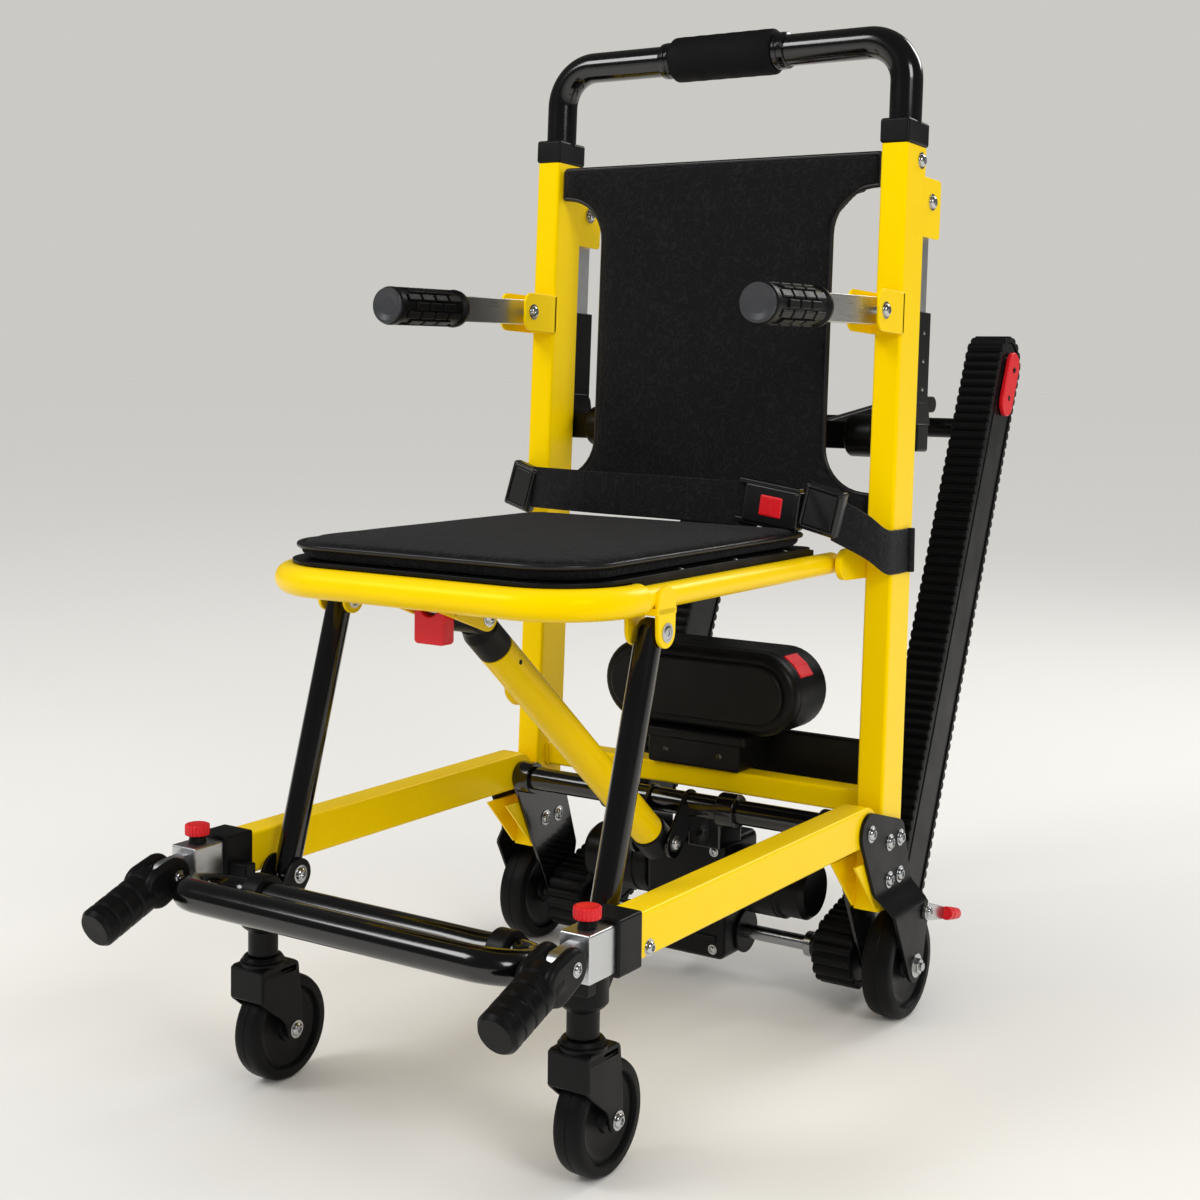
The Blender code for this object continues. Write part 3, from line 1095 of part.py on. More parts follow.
def make_arm(name, side, root):
    """A folding arm: flat bar on the upright's bracket, with a ribbed grip."""
    x = side * UPRIGHT_X
    pivot = in_lean(x, -ARM_PIVOT_AHEAD, -ARM_PIVOT_DROP)
    hinge = empty(f"arm_{name}_axis", pivot, root)
    half = ARM_BAR_HEIGHT / 2
    grip_end = pivot.y - ARM_REACH
    grip_start = grip_end + ARM_GRIP_LENGTH
    bar_end = grip_start - ARM_SOCKET_DEPTH
    middle = pivot.y - half
    solids = [prism(circle(pivot.yz, half), x - ARM_BAR_THICKNESS / 2, x + ARM_BAR_THICKNESS / 2)]
    solids.append(block((x - ARM_BAR_THICKNESS / 2, bar_end, pivot.z - half),
                        (x + ARM_BAR_THICKNESS / 2, middle + half, pivot.z + half)))
    eye = cross_bore(pivot.yz, x - 0.1, x + 0.1, ARM_PIN_RADIUS + RUN)
    part(f"arm_bar_{name}", "aluminium", hinge, solids, [eye])

    pitch = (ARM_GRIP_LENGTH - 0.034) / ARM_GRIP_RIBS
    profile = [(ARM_GRIP_RADIUS - 0.003, 0), (ARM_GRIP_RADIUS, 0.003)]
    for k in range(ARM_GRIP_RIBS):
        start = 0.018 + k * pitch
        profile += [(ARM_GRIP_RADIUS, start), (ARM_GRIP_RADIUS - GROOVE_DEPTH, start + GROOVE_WIDTH / 2),
                    (ARM_GRIP_RADIUS, start + GROOVE_WIDTH)]
    flange = ARM_GRIP_RADIUS + ARM_GRIP_FLANGE
    profile += [(ARM_GRIP_RADIUS, ARM_GRIP_LENGTH - 0.010), (flange, ARM_GRIP_LENGTH - 0.007),
                (flange, ARM_GRIP_LENGTH - 0.001), (ARM_GRIP_RADIUS, ARM_GRIP_LENGTH)]
    grip = lathe(profile, (x, grip_start, pivot.z), (0, -1, 0), TUBE_SIDES)
    socket = block((x - ARM_BAR_THICKNESS / 2 - GAP, bar_end - GAP, pivot.z - half - GAP),
                   (x + ARM_BAR_THICKNESS / 2 + GAP, grip_start + 0.1, pivot.z + half + GAP))
    part(f"arm_grip_{name}", "black_plastic", hinge, [grip], [socket])


def make_push_handle(root):
    """The telescopic push handle: bent tube with swaged legs, and the foam grip on its bar."""
    slide = empty("push_handle_axis", in_lean(0, TUBE_DEPTH / 2, CAP_HEIGHT), root)
    y = TUBE_DEPTH / 2
    start = CAP_HEIGHT + GAP
    corners = [(UPRIGHT_X, y, start), (UPRIGHT_X, y, HANDLE_RISE), (-UPRIGHT_X, y, HANDLE_RISE),
               (-UPRIGHT_X, y, start)]
    solids = [pipe(bent(corners, HANDLE_BEND_RADIUS), HANDLE_TUBE_RADIUS)]
    half = HANDLE_GRIP_LENGTH / 2
    for side in (1, -1):
        solids.append(rod((side * UPRIGHT_X, y, -HANDLE_LEG_LENGTH), (side * UPRIGHT_X, y, start + 0.004),
                          HANDLE_LEG_RADIUS, ROUND))
        solids.append(rod((side * (half + GAP), y, HANDLE_RISE),
                          (side * (half + HANDLE_COLLAR_LENGTH), y, HANDLE_RISE),
                          HANDLE_COLLAR_RADIUS, ROUND))
    part("push_handle", "black_paint", slide, [leaned(shape) for shape in solids])
    inside = HANDLE_TUBE_RADIUS + GAP
    sleeve = lathe([(inside, -half), (HANDLE_GRIP_RADIUS - 0.002, -half), (HANDLE_GRIP_RADIUS, 0.004 - half),
                    (HANDLE_GRIP_RADIUS, half - 0.004), (HANDLE_GRIP_RADIUS - 0.002, half), (inside, half)],
                   (0, y, HANDLE_RISE), (1, 0, 0), ring=True, flat=True)
    part("handle_grip", "rubber", slide, [leaned(sleeve)])


def make_back_pad(body):
    """The back pad, slung between the uprights and drawn in at its waist."""
    edge = INNER_X - GAP
    top = -BACK_TOP_DROP
    low = top - BACK_HEIGHT
    half = [(edge, low, 0.006), (edge, low + 0.028, 0.006), (BACK_WAIST, low + 0.032, 0.045),
            (BACK_WAIST, top - 0.042, 0.045), (edge, top - 0.038, 0.006), (edge, top, 0.006)]
    mirrored = [(-u, *rest) for u, *rest in reversed(half)]
    outline = rounded(half + mirrored, 0.01, 3)
    pad = prism(outline, BACK_DEPTH - BACK_THICKNESS - BACK_CROWN, BACK_DEPTH, "Y")
    part("back_pad", "fabric", body, [leaned(pad)])


def make_stays(root):
    """The flat bars that hang behind the uprights, and the latch beam that slides on them."""
    front = TUBE_DEPTH + STAY_BAR_OFFSET
    bolt = (front + STAY_BAR_DEPTH / 2, -STAY_BOLT_DROP)
    top = -STAY_BOLT_DROP + STAY_BAR_DEPTH / 2
    for name, side in SIDES:
        x = side * UPRIGHT_X
        bar = block((x - STAY_BAR_THICKNESS / 2, front, top - STAY_BAR_LENGTH),
                    (x + STAY_BAR_THICKNESS / 2, front + STAY_BAR_DEPTH, top))
        eye = cross_bore(bolt, x - 0.1, x + 0.1, STAY_PIN_RADIUS + GAP)
        part(f"stay_bar_{name}", "aluminium", root, [leaned(bar)], [leaned(eye)])

    beam_low = -LATCH_BEAM_DROP - LATCH_BEAM_HEIGHT
    beam_front = front - SLIDE - SLEEVE_TUBE_WALL / 2
    half = LATCH_BEAM_LENGTH / 2
    slide = empty("track_latch_axis", in_lean(0, beam_front, -LATCH_BEAM_DROP), root)
    beam = block((-half, beam_front, beam_low),
                 (half, beam_front + LATCH_BEAM_DEPTH, -LATCH_BEAM_DROP), 0.002)
    solids = [leaned(beam)]
    cuts = []
    for side in (1, -1):
        x = side * UPRIGHT_X
        inner = STAY_BAR_THICKNESS / 2 + SLIDE
        outer = inner + SLEEVE_TUBE_WALL
        sleeve_front = front - SLIDE - SLEEVE_TUBE_WALL / 2
        sleeve_rear = front + STAY_BAR_DEPTH + SLIDE
        solids.append(leaned(block((x - outer, sleeve_front, -LATCH_BEAM_DROP - 0.010),
                                   (x + outer, sleeve_rear + SLEEVE_TUBE_WALL, -SLEEVE_TOP_DROP))))
        cuts.append(leaned(block((x - inner, front - SLIDE, -LATCH_BEAM_DROP + 0.003),
                                 (x + inner, sleeve_rear, 0))))
    tube = along(TRACK_TOP, KNEE, TRACK_TUBE_DROP / TRACK_RUN)
    rest = tube[1] + TRACK_TUBE_RADIUS + LATCH_ARM_RADIUS + LATCH_ARM_CLEARANCE
    root_end = in_lean(0, beam_front + LATCH_BEAM_DEPTH / 2, -LATCH_BEAM_DROP - LATCH_BEAM_HEIGHT / 2)
    bend, tip = (tube[0] - 0.070, rest), (tube[0] + 0.010, rest)
    arm_x = (LATCH_ARM_X - LATCH_ARM_THICKNESS / 2, LATCH_ARM_X + LATCH_ARM_THICKNESS / 2)
    for side in (1, -1):
        for a, b in (((root_end.y, root_end.z), bend), (bend, tip)):
            arm = hull((a, LATCH_ARM_RADIUS), (b, LATCH_ARM_RADIUS), steps=TUBE_SIDES)
            solids.append(side_prism(side, arm, *arm_x))
    part("latch_beam", "black_paint", slide, solids, cuts)


def make_tracks(root):
    """The two tracks: bent bars tied by cross tubes, belts, red end guards and the shaft that drives them."""
    hinge = empty("track_axis", (0, *AXLE), root)
    bar_half = BELT_WIDTH / 2 - TRACK_SIDE_INSET
    belt_inner = TRACK_HALF_DEPTH + GAP
    cheek_outer = TRACK_X - BELT_WIDTH / 2 - 0.001
    cheek_inner = cheek_outer - 0.006
    solids, cuts = [], []
    for side in (1, -1):
        x = (TRACK_X - bar_half, TRACK_X + bar_half)
        for a, b in ((AXLE, KNEE), (KNEE, TRACK_TOP)):
            solids.append(side_prism(side, hull((a, TRACK_HALF_DEPTH), (b, TRACK_HALF_DEPTH)), *x))
        cheek = hull((AXLE, TRACK_CHEEK_RADIUS), (KNEE, TRACK_CHEEK_RADIUS))
        solids.append(side_prism(side, cheek, cheek_inner, cheek_outer))
        solids.append(pin(KNEE, side * cheek_inner, side * TRACK_X, TRACK_CHEEK_RADIUS * 0.8, ROUND))
        sprocket_room = TRACK_HALF_DEPTH + 4 * RUN
        cuts.append(cross_bore(AXLE, side * (x[0] - OVERLAP / 2), side * (x[1] + 0.01), sprocket_room))
        shaft_room = SHAFT_RADIUS + RUN
        cuts.append(cross_bore(AXLE, side * (cheek_inner - 0.01), side * (cheek_outer + 0.01), shaft_room))
        cuts.append(cross_bore(TRACK_TOP, side * (x[0] - 0.01), side * (x[1] + 0.01), GUARD_PIN_RADIUS + GAP))
    for rise in (TRACK_TUBE_RISE, TRACK_RUN - TRACK_TUBE_DROP):
        end = TRACK_X - bar_half + OVERLAP
        solids.append(pin(along(KNEE, TRACK_TOP, rise / TRACK_RUN), -end, end, TRACK_TUBE_RADIUS))
    part("track_frame", "black_paint", hinge, solids, cuts)

    for name, side in SIDES:
        low, high = TRACK_X - BELT_WIDTH / 2, TRACK_X + BELT_WIDTH / 2
        belt_outer = belt_inner + BELT_THICKNESS
        runs = ((AXLE, KNEE), (KNEE, TRACK_TOP))
        outside, inside = [], []
        for a, b in runs:
            outer_run = hull((a, belt_outer), (b, belt_outer), steps=24)
            inner_run = hull((a, belt_inner), (b, belt_inner), steps=24)
            outside.append(side_prism(side, outer_run, low, high))
            inside.append(side_prism(side, inner_run, low - 0.01, high + 0.01))
        part(f"track_belt_{name}", "rubber", hinge, outside, inside)

        back = along(TRACK_TOP, KNEE, GUARD_LENGTH / TRACK_RUN)
        plate = hull((TRACK_TOP, GUARD_RADIUS), (back, GUARD_RADIUS))
        guard = [side_prism(side, plate, high + GAP, high + GAP + GUARD_THICKNESS),
                 side_prism(side, plate, low - GAP - GUARD_THICKNESS, low - GAP),
                 pin(TRACK_TOP, side * (low - GAP - OVERLAP), side * (high + GAP + OVERLAP),
                     GUARD_PIN_RADIUS)]
        part(f"track_guard_{name}", "red_plastic", hinge, guard)

    spin = empty("drive_shaft_axis", (0, *AXLE), root)
    end = INNER_X + SHAFT_PROUD - GAP
    shaft = [pin(AXLE, -end, end, SHAFT_RADIUS)]
    for side in (1, -1):
        shaft.append(pin(AXLE, side * (TRACK_X - bar_half + OVERLAP), side * (TRACK_X + bar_half - OVERLAP),
                         TRACK_HALF_DEPTH, ROUND))
    part("drive_shaft", "steel", spin, shaft)
    return cheek_inner


def make_drive(body, track_cheek):
    """The gearbox on the drive shaft and the two motors on its sides."""
    half = GEARBOX_WIDTH / 2
    rear = GEARBOX_FRONT_Y + GEARBOX_DEPTH
    case = block((-half, GEARBOX_FRONT_Y, GEARBOX_BOTTOM), (half, rear, GEARBOX_TOP), 0.006)
    shaft_hole = cross_bore(AXLE, -half - 0.01, half + 0.01, SHAFT_RADIUS + RUN)
    part("gearbox", "black_paint", body, [case], [shaft_hole])
    end = track_cheek - MOTOR_END_GAP
    length = end - half - GAP
    profile = [(MOTOR_RADIUS - 0.004, 0), (MOTOR_RADIUS, 0.004), (MOTOR_RADIUS, 0.62 * length),
               (MOTOR_RADIUS - 0.003, 0.64 * length), (MOTOR_RADIUS - 0.003, length - 0.006),
               (MOTOR_RADIUS - 0.008, length)]
    for name, side in SIDES:
        can = lathe(profile, (side * (half + GAP), MOTOR_Y, MOTOR_Z), (side, 0, 0))
        part(f"drive_motor_{name}", "black_paint", body, [can])


def make_battery(root):
    """The dock on the cross tube, the battery that lifts off it, and the red latch in its shoulder."""
    low = CROSS_TUBE_Z + CROSS_TUBE_HEIGHT / 2 + GAP
    high = low + DOCK_HEIGHT
    rear = BATTERY_FRONT_Y + DOCK_DEPTH
    dock = block((-DOCK_LENGTH / 2, BATTERY_FRONT_Y, low), (DOCK_LENGTH / 2, rear, high), 0.003)
    panel = block((0, rear - OVERLAP, high - PANEL_HEIGHT),
                  (INNER_X - 0.008, rear + PANEL_THICKNESS, high - 0.002), 0.002)
    part("battery_dock", "black_plastic", root, [dock, panel])

    base = high + GAP
    slide = empty("battery_axis", (0, BATTERY_FRONT_Y + BATTERY_DEPTH / 2, base), root)
    radius = BATTERY_HEIGHT / 2
    reach = BATTERY_LENGTH / 2 - radius
    centre_z = base + radius
    layers = ((0, BATTERY_EDGE), (BATTERY_EDGE, 0), (BATTERY_DEPTH - BATTERY_EDGE, 0),
              (BATTERY_DEPTH, BATTERY_EDGE))
    rings = []
    for depth, inset in layers:
        outline = stadium((0, centre_z), reach, radius - inset)
        rings.append([(u, BATTERY_FRONT_Y + depth, v) for u, v in outline])
    latch_y = BATTERY_FRONT_Y + BATTERY_DEPTH * 0.48
    shoulder = Matrix.Translation((reach, latch_y, centre_z)) @ Matrix.Rotation(math.radians(45), 4, "Y")
    outer = radius + 0.0008
    inner = outer - LATCH_THICKNESS
    button = block((-LATCH_LENGTH / 2, -LATCH_WIDTH / 2, inner),
                   (LATCH_LENGTH / 2, LATCH_WIDTH / 2, outer), 0.0015)
    well = block((-LATCH_LENGTH / 2 - SLIDE, -LATCH_WIDTH / 2 - SLIDE, inner - LATCH_TRAVEL - SLIDE),
                 (LATCH_LENGTH / 2 + SLIDE, LATCH_WIDTH / 2 + SLIDE, outer + 0.05))
    part("battery_case", "black_plastic", slide, [skin(rings)], [moved(well, shoulder)])
    press = empty("battery_latch_axis", shoulder @ Vector((0, 0, outer)), slide)
    part("battery_latch", "red_plastic", press, [moved(button, shoulder)])


def make_lap_belt(root):
    """The two halves of the lap belt, which start on the uprights and meet at the buckle, and its button."""
    strap_x = OUTER_X + GAP + WEBBING_THICKNESS / 2
    front = at_depth(WEBBING_Z)
    buckle_low = WEBBING_Z - 0.002 - BUCKLE_HEIGHT / 2
    buckle_high = buckle_low + BUCKLE_HEIGHT
    level = [(-strap_x, front + BELT_WRAP), (-strap_x, front), (-strap_x + 0.008, front - 0.032),
             (-0.175, front - 0.055), (-0.080, front - 0.074), (0.010, front - 0.083)]
    long_route = [(x, y, WEBBING_Z) for x, y in level] + [(BUCKLE_X + 0.012, BUCKLE_Y, WEBBING_Z - 0.002)]
    strap = ribbon(smooth_path(long_route, 4), WEBBING_WIDTH, WEBBING_THICKNESS)
    half = BUCKLE_THICKNESS / 2
    buckle = block((BUCKLE_X, BUCKLE_Y - half, buckle_low),
                   (BUCKLE_X + BUCKLE_LENGTH, BUCKLE_Y + half, buckle_high), 0.003)
    slider_front = front - 0.055
    slider_x = (SLIDER_X - SLIDER_LENGTH / 2, SLIDER_X + SLIDER_LENGTH / 2)
    slider = block((slider_x[0], slider_front, WEBBING_Z - SLIDER_HEIGHT / 2),
                   (slider_x[1], slider_front + SLIDER_DEPTH, WEBBING_Z + SLIDER_HEIGHT / 2), 0.002)
    button_x = BUCKLE_X + BUCKLE_LENGTH * 0.30
    button_low = (buckle_low + buckle_high - BUTTON_HEIGHT) / 2
    button_front = BUCKLE_Y - half - 0.001
    well = block((button_x - SLIDE, button_front - 0.01, button_low - SLIDE),
                 (button_x + BUTTON_LENGTH + SLIDE, button_front + BUTTON_THICKNESS + BUTTON_TRAVEL + SLIDE,
                  button_low + BUTTON_HEIGHT + SLIDE))
    part("lap_belt_right", "fabric", root, [strap, buckle, slider], [well])

    press = empty("buckle_button_axis", (button_x, button_front, button_low), root)
    button = block((button_x, button_front, button_low),
                   (button_x + BUTTON_LENGTH, button_front + BUTTON_THICKNESS, button_low + BUTTON_HEIGHT),
                   0.0012)
    part("buckle_button", "red_plastic", press, [button])

    tongue_x = BUCKLE_X + BUCKLE_LENGTH + GAP
    tongue_z = WEBBING_Z - 0.004
    half = TONGUE_THICKNESS / 2
    tongue = block((tongue_x, BUCKLE_Y - half, tongue_z - TONGUE_HEIGHT / 2),
                   (tongue_x + TONGUE_LENGTH, BUCKLE_Y + half, tongue_z + TONGUE_HEIGHT / 2), 0.003)
    low = WEBBING_Z - 0.050
    short_route = [(tongue_x + TONGUE_LENGTH - 0.012, BUCKLE_Y, tongue_z - 0.004),
                   (0.226, front - 0.052, WEBBING_Z - 0.030), (strap_x, front - 0.022, low + 0.003),
                   (strap_x, front + 0.006, low), (strap_x, front + 0.036, low)]
    strap = ribbon(smooth_path(short_route, 4), WEBBING_WIDTH, WEBBING_THICKNESS)
    part("lap_belt_left", "fabric", root, [tongue, strap])


def stand_on_origin(root):
    """Moves the whole chair so that the middle of its box is above the origin."""
    bpy.context.view_layer.update()
    meshes = [obj for obj in bpy.data.objects if obj.type == "MESH"]
    corners = [obj.matrix_world @ Vector(c) for obj in meshes for c in obj.bound_box]
    for axis in (0, 1):
        root.location[axis] = -(min(c[axis] for c in corners) + max(c[axis] for c in corners)) / 2


def main():
    for obj in list(bpy.data.objects):
        bpy.data.objects.remove(obj)
    root = empty("chair", (0, 0, 0))
    rails = empty("rail_axis", (0, *PIVOT), root)
    for name, side in SIDES:
        make_upright(name, side, root)
        make_cap(name, side, root)
        plate_face = make_outer_plate(name, side, root)
        make_rear_wheel(name, side, root)
        make_brake(name, side, root, plate_face)
        make_arm(name, side, root)
        make_rail(name, side, rails)
        sleeve_front = make_front_bracket(name, side, rails)
        make_handle_block(name, side, rails, rails, sleeve_front)
        make_caster(name, side, rails)
    make_cross_tube(root)
    make_lower_frame(root)
    make_footrest(rails)
    seat = make_seat(root)
    make_struts(seat)
    make_brace(root)
    make_push_handle(root)
    make_back_pad(root)
    make_stays(root)
    track_cheek = make_tracks(root)
    make_drive(root, track_cheek)
    make_battery(root)
    make_lap_belt(root)
    stand_on_origin(root)


main()
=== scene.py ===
"""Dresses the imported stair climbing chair: fine meshes, sewn pads, webbing, ribbed belts, finishes and a plain studio.

Shapes are drawn in the chair's own frame, as its source draws them: metres, +Z up, the sitter faces -Y, the sitter's
left is +X, and depths count from the front face of the uprights at their top. Each piece then moves back as a whole.
"""

import json
import math

import bmesh
import bpy
from mathutils import Matrix, Vector


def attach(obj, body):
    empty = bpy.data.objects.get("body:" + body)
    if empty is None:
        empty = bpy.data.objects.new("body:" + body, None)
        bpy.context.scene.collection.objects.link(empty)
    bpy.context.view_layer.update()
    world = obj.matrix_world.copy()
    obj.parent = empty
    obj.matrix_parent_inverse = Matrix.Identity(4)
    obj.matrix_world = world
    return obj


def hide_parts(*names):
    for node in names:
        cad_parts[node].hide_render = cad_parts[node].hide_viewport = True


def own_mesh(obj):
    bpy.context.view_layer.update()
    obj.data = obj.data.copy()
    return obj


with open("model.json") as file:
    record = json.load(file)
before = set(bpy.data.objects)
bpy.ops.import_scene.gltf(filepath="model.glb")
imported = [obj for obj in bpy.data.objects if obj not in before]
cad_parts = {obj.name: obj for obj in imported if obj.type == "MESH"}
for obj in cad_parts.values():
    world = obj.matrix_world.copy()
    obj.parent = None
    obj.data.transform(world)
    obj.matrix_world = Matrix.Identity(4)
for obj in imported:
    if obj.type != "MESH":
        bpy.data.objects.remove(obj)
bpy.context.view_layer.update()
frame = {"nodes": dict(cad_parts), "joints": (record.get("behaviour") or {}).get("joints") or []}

JOINTS = {joint["name"]: joint for joint in frame["joints"]}

bl_info = {
    "name": "Stair climbing chair",
    "version": (1, 0, 0),
    "blender": (4, 5, 0),
    "location": "View3D > Sidebar > Chair",
    "description": "Builds the visible pieces of a stair climbing chair round its packed frame",
    "category": "Object",
}

GAP = 0.0003  # clearance between neighbouring pieces
CORE = 0.0002  # radius at which a turned shape closes on its axis

# Uprights, wheels and rails
LEAN = math.radians(2.5)
UPRIGHT_TOP = 0.915
UPRIGHT_X = 0.2175
TUBE_WIDTH = 0.030
TUBE_DEPTH = 0.050
INNER_X = UPRIGHT_X - TUBE_WIDTH / 2
OUTER_X = UPRIGHT_X + TUBE_WIDTH / 2
CAP_HEIGHT = 0.026
CAP_PROUD = 0.0015
REAR_RADIUS = 0.057
REAR_WIDTH = 0.032
AXLE = (0.014, REAR_RADIUS)
UPRIGHT_BOTTOM = 2 * REAR_RADIUS + 0.007
PLATE_THICKNESS = 0.004
BEND_TOP = UPRIGHT_BOTTOM + 0.022
BEND_STEP = REAR_WIDTH / 2 + 0.0015
PIVOT = (-0.064, 0.210)
BRAKE = (0.034, 0.110)
RAIL_Z = 0.216
RAIL_HEIGHT = 0.040
RAIL_LOW = RAIL_Z - RAIL_HEIGHT / 2
RAIL_HIGH = RAIL_Z + RAIL_HEIGHT / 2
RAIL_FRONT = -0.512
CROSS_TUBE = (0.001, 0.227)

# Front end
SLEEVE_REAR = RAIL_FRONT + 0.012
SLEEVE_FRONT = SLEEVE_REAR - 0.036
BLOCK_FRONT = RAIL_FRONT - 0.0603
HANDLE_PIVOT = (BLOCK_FRONT - 0.022, RAIL_Z)
HANDLE_LENGTH = 0.088
HANDLE_RADIUS = 0.0185
HANDLE_SLOPE = math.radians(21)
KNOB_Y = (BLOCK_FRONT + SLEEVE_FRONT) / 2
CASTER_X = 0.1815
CASTER_Y = -0.5045
CASTER_RADIUS = 0.050
CASTER_WIDTH = 0.028
CASTER_AXLE = (CASTER_Y + 0.024, CASTER_RADIUS)
BOSS_TOP = 0.1822
BOSS_BOTTOM = 0.152
STEM_BOTTOM = 0.125
FOOT_REAR = (-0.553, 0.199)
FOOT_FRONT = (-0.617, 0.2115)
FOOT_RADIUS = 0.0145
FOOT_HALF = 0.150
CLAMP_X = 0.137

# Seat, struts and brace
SEAT_Z = 0.482
SEAT_X = 0.182
SEAT_PIVOT = (-0.062, SEAT_Z)
SEAT_FRONT = -0.515
SEAT_STEP = -0.428
LOOP_RADIUS = 0.014
SIDE_RADIUS = 0.011
BOARD_LOW = SEAT_Z + LOOP_RADIUS + GAP
BOARD_HIGH = BOARD_LOW + 0.004
PAD_LOW = BOARD_HIGH + GAP
PAD_THICKNESS = 0.016
PAD_CROWN = 0.006
STRUT_X = 0.178
STRUT_RADIUS = 0.0125
STRUT_TOP = (-0.402, 0.452)
STRUT_FOOT = (-0.477, 0.198)
STRUT_SIDE = STRUT_RADIUS + 0.0013
CHEEK = 0.004
BRACE_TOP = (-0.430, 0.4535)
BRACE_FOOT = (-0.0957, 0.1737)
BRACE_RADIUS = 0.0175
BRACE_SIDE = BRACE_RADIUS + 0.003
LEVER_AXIS = (SEAT_FRONT + 0.036, SEAT_Z - LOOP_RADIUS - 0.006)

# Arms, push handle, back pad and the latch behind it, placed along the leaning uprights
ARM_PIVOT = (-0.0445, -0.1763)
ARM_REACH = 0.236
ARM_GRIP_LENGTH = 0.116
ARM_GRIP_RADIUS = 0.0195
HANDLE_RISE = 0.111
HANDLE_BEND = 0.060
HANDLE_TUBE = 0.017
GRIP_LENGTH = 0.128
GRIP_RADIUS = 0.025
BACK_TOP = -0.006
BACK_LOW = BACK_TOP - 0.385
BACK_WAIST = 0.147
BACK_REAR = 0.018
BACK_THICKNESS = 0.010
BACK_CROWN = 0.004
STAY_FRONT = TUBE_DEPTH + 0.0035
STAY_DEPTH = 0.030
STAY_BOLT = (STAY_FRONT + STAY_DEPTH / 2, -0.054)
BEAM_TOP = -0.288
BEAM_LOW = BEAM_TOP - 0.030
BEAM_FRONT = STAY_FRONT - 0.0024
SLEEVE_TOP = -0.170

# Tracks, drive and battery
KNEE = (0.132, 0.090)
TRACK_TOP = (0.402, 0.686)
TRACK_RUN = math.dist(KNEE, TRACK_TOP)
TRACK_X = 0.1725
BELT_WIDTH = 0.045
TRACK_CHEEK = TRACK_X - BELT_WIDTH / 2 - 0.001
TRACK_CHEEK_INNER = TRACK_CHEEK - 0.006
BAR_HALF = 0.0285
BELT_INNER = BAR_HALF + GAP
BELT_OUTER = BELT_INNER + 0.0075
UPPER_TUBE = 1 - 0.0847 / TRACK_RUN
LOWER_TUBE = 0.130 / TRACK_RUN
TIE_RADIUS = 0.012
BATTERY_FRONT = -0.022
BATTERY_DEPTH = 0.090
BATTERY_LENGTH = 0.244
BATTERY_HEIGHT = 0.092
DOCK_LOW = CROSS_TUBE[1] + 0.0123
DOCK_HIGH = DOCK_LOW + 0.041
MOTOR = (0.004, 0.120)
MOTOR_RADIUS = 0.036

# Lap belt
WEBBING_Z = 0.543
WEBBING_WIDTH = 0.046
WEBBING_THICKNESS = 0.0024
BUCKLE_X = 0.108
BUCKLE_Y = -0.103
BUCKLE_LENGTH = 0.064
BUCKLE_HEIGHT = 0.040
BUCKLE_THICKNESS = 0.018
BUCKLE_LOW = WEBBING_Z - 0.002 - BUCKLE_HEIGHT / 2
BUCKLE_HIGH = BUCKLE_LOW + BUCKLE_HEIGHT
BUCKLE_TILT = 8
TONGUE_X = BUCKLE_X + BUCKLE_LENGTH + GAP
TONGUE_Z = WEBBING_Z - 0.004

SIDES = (("left", 1), ("right", -1))
BACKWARD = JOINTS["rear_wheel_left_spin"]["pos_m"][1] - AXLE[0]
LEAN_FRAME = Matrix.Translation((0, 0, UPRIGHT_TOP)) @ Matrix.Rotation(-LEAN, 4, "X")
SHARP = math.radians(35)  # faces that meet at more than this keep a crisp edge
CLOTH_STEPS = 20
IMAGE = 1200  # the photograph's side in pixels

# Camera, solved from the straight edges of the frame
CAMERA_PLACE = (1.01182, BACKWARD - 1.74978, 0.68769)
CAMERA_TURN = math.radians(33.381)
CAMERA_DROP = math.radians(2.8267)
CAMERA_ROLL = math.radians(0.7144)
CAMERA_SHIFT = -150.2 / IMAGE


def linear(hex_colour):
    """An sRGB hex colour as linear red, green, blue and alpha."""
    parts = [int(hex_colour[i:i + 2], 16) / 255 for i in (0, 2, 4)]
    return [c / 12.92 if c <= 0.04045 else ((c + 0.055) / 1.055) ** 2.4 for c in parts] + [1.0]


def per_metre(millimetres):
    """The texture scale that gives a pattern this size."""
    return 1000 / millimetres


# Settings that a user would change

def colour(name, description, hex_colour):
    """A colour setting."""
    return bpy.props.FloatVectorProperty(
        name=name, description=description, subtype="COLOR", size=4, min=0, max=1, default=linear(hex_colour))


def number(name, description, default, unit="NONE"):
    """A setting that is never negative."""
    return bpy.props.FloatProperty(name=name, description=description, default=default, min=0, unit=unit)


def length(name, description, default):
    """A length setting in metres."""
    return number(name, description, default, "LENGTH")


class ChairColours(bpy.types.PropertyGroup):
    """Colours of the chair's finishes."""

    frame: colour("Frame", "Yellow powder coat of the tubes", "FFD500")
    tube: colour("Tubes", "Gloss black powder coat", "060607")
    plate: colour("Plates", "Satin black paint of plates, drive and track bars", "0A0A0B")
    plastic: colour("Plastic", "Black moulded plastic", "0C0C0D")
    rubber: colour("Rubber", "Black rubber of tyres and belts", "0D0D0E")
    grip: colour("Grips", "Soft black grips", "0B0B0C")
    cloth: colour("Cloth", "Black cloth of the pads", "101012")
    webbing: colour("Webbing", "Black webbing of the belt", "131315")
    accent: colour("Accent", "Red knobs, guards and buttons", "D90F1C")
    aluminium: colour("Aluminium", "Satin aluminium of bars and blocks", "D6D8DA")
    disc: colour("Grip ends", "Grey discs that close the arm grips", "393A3D")
    zinc: colour("Zinc", "Zinc-plated bolts", "C9CBCD")
    steel: colour("Steel", "Ground steel of the drive shaft", "A9ACB0")


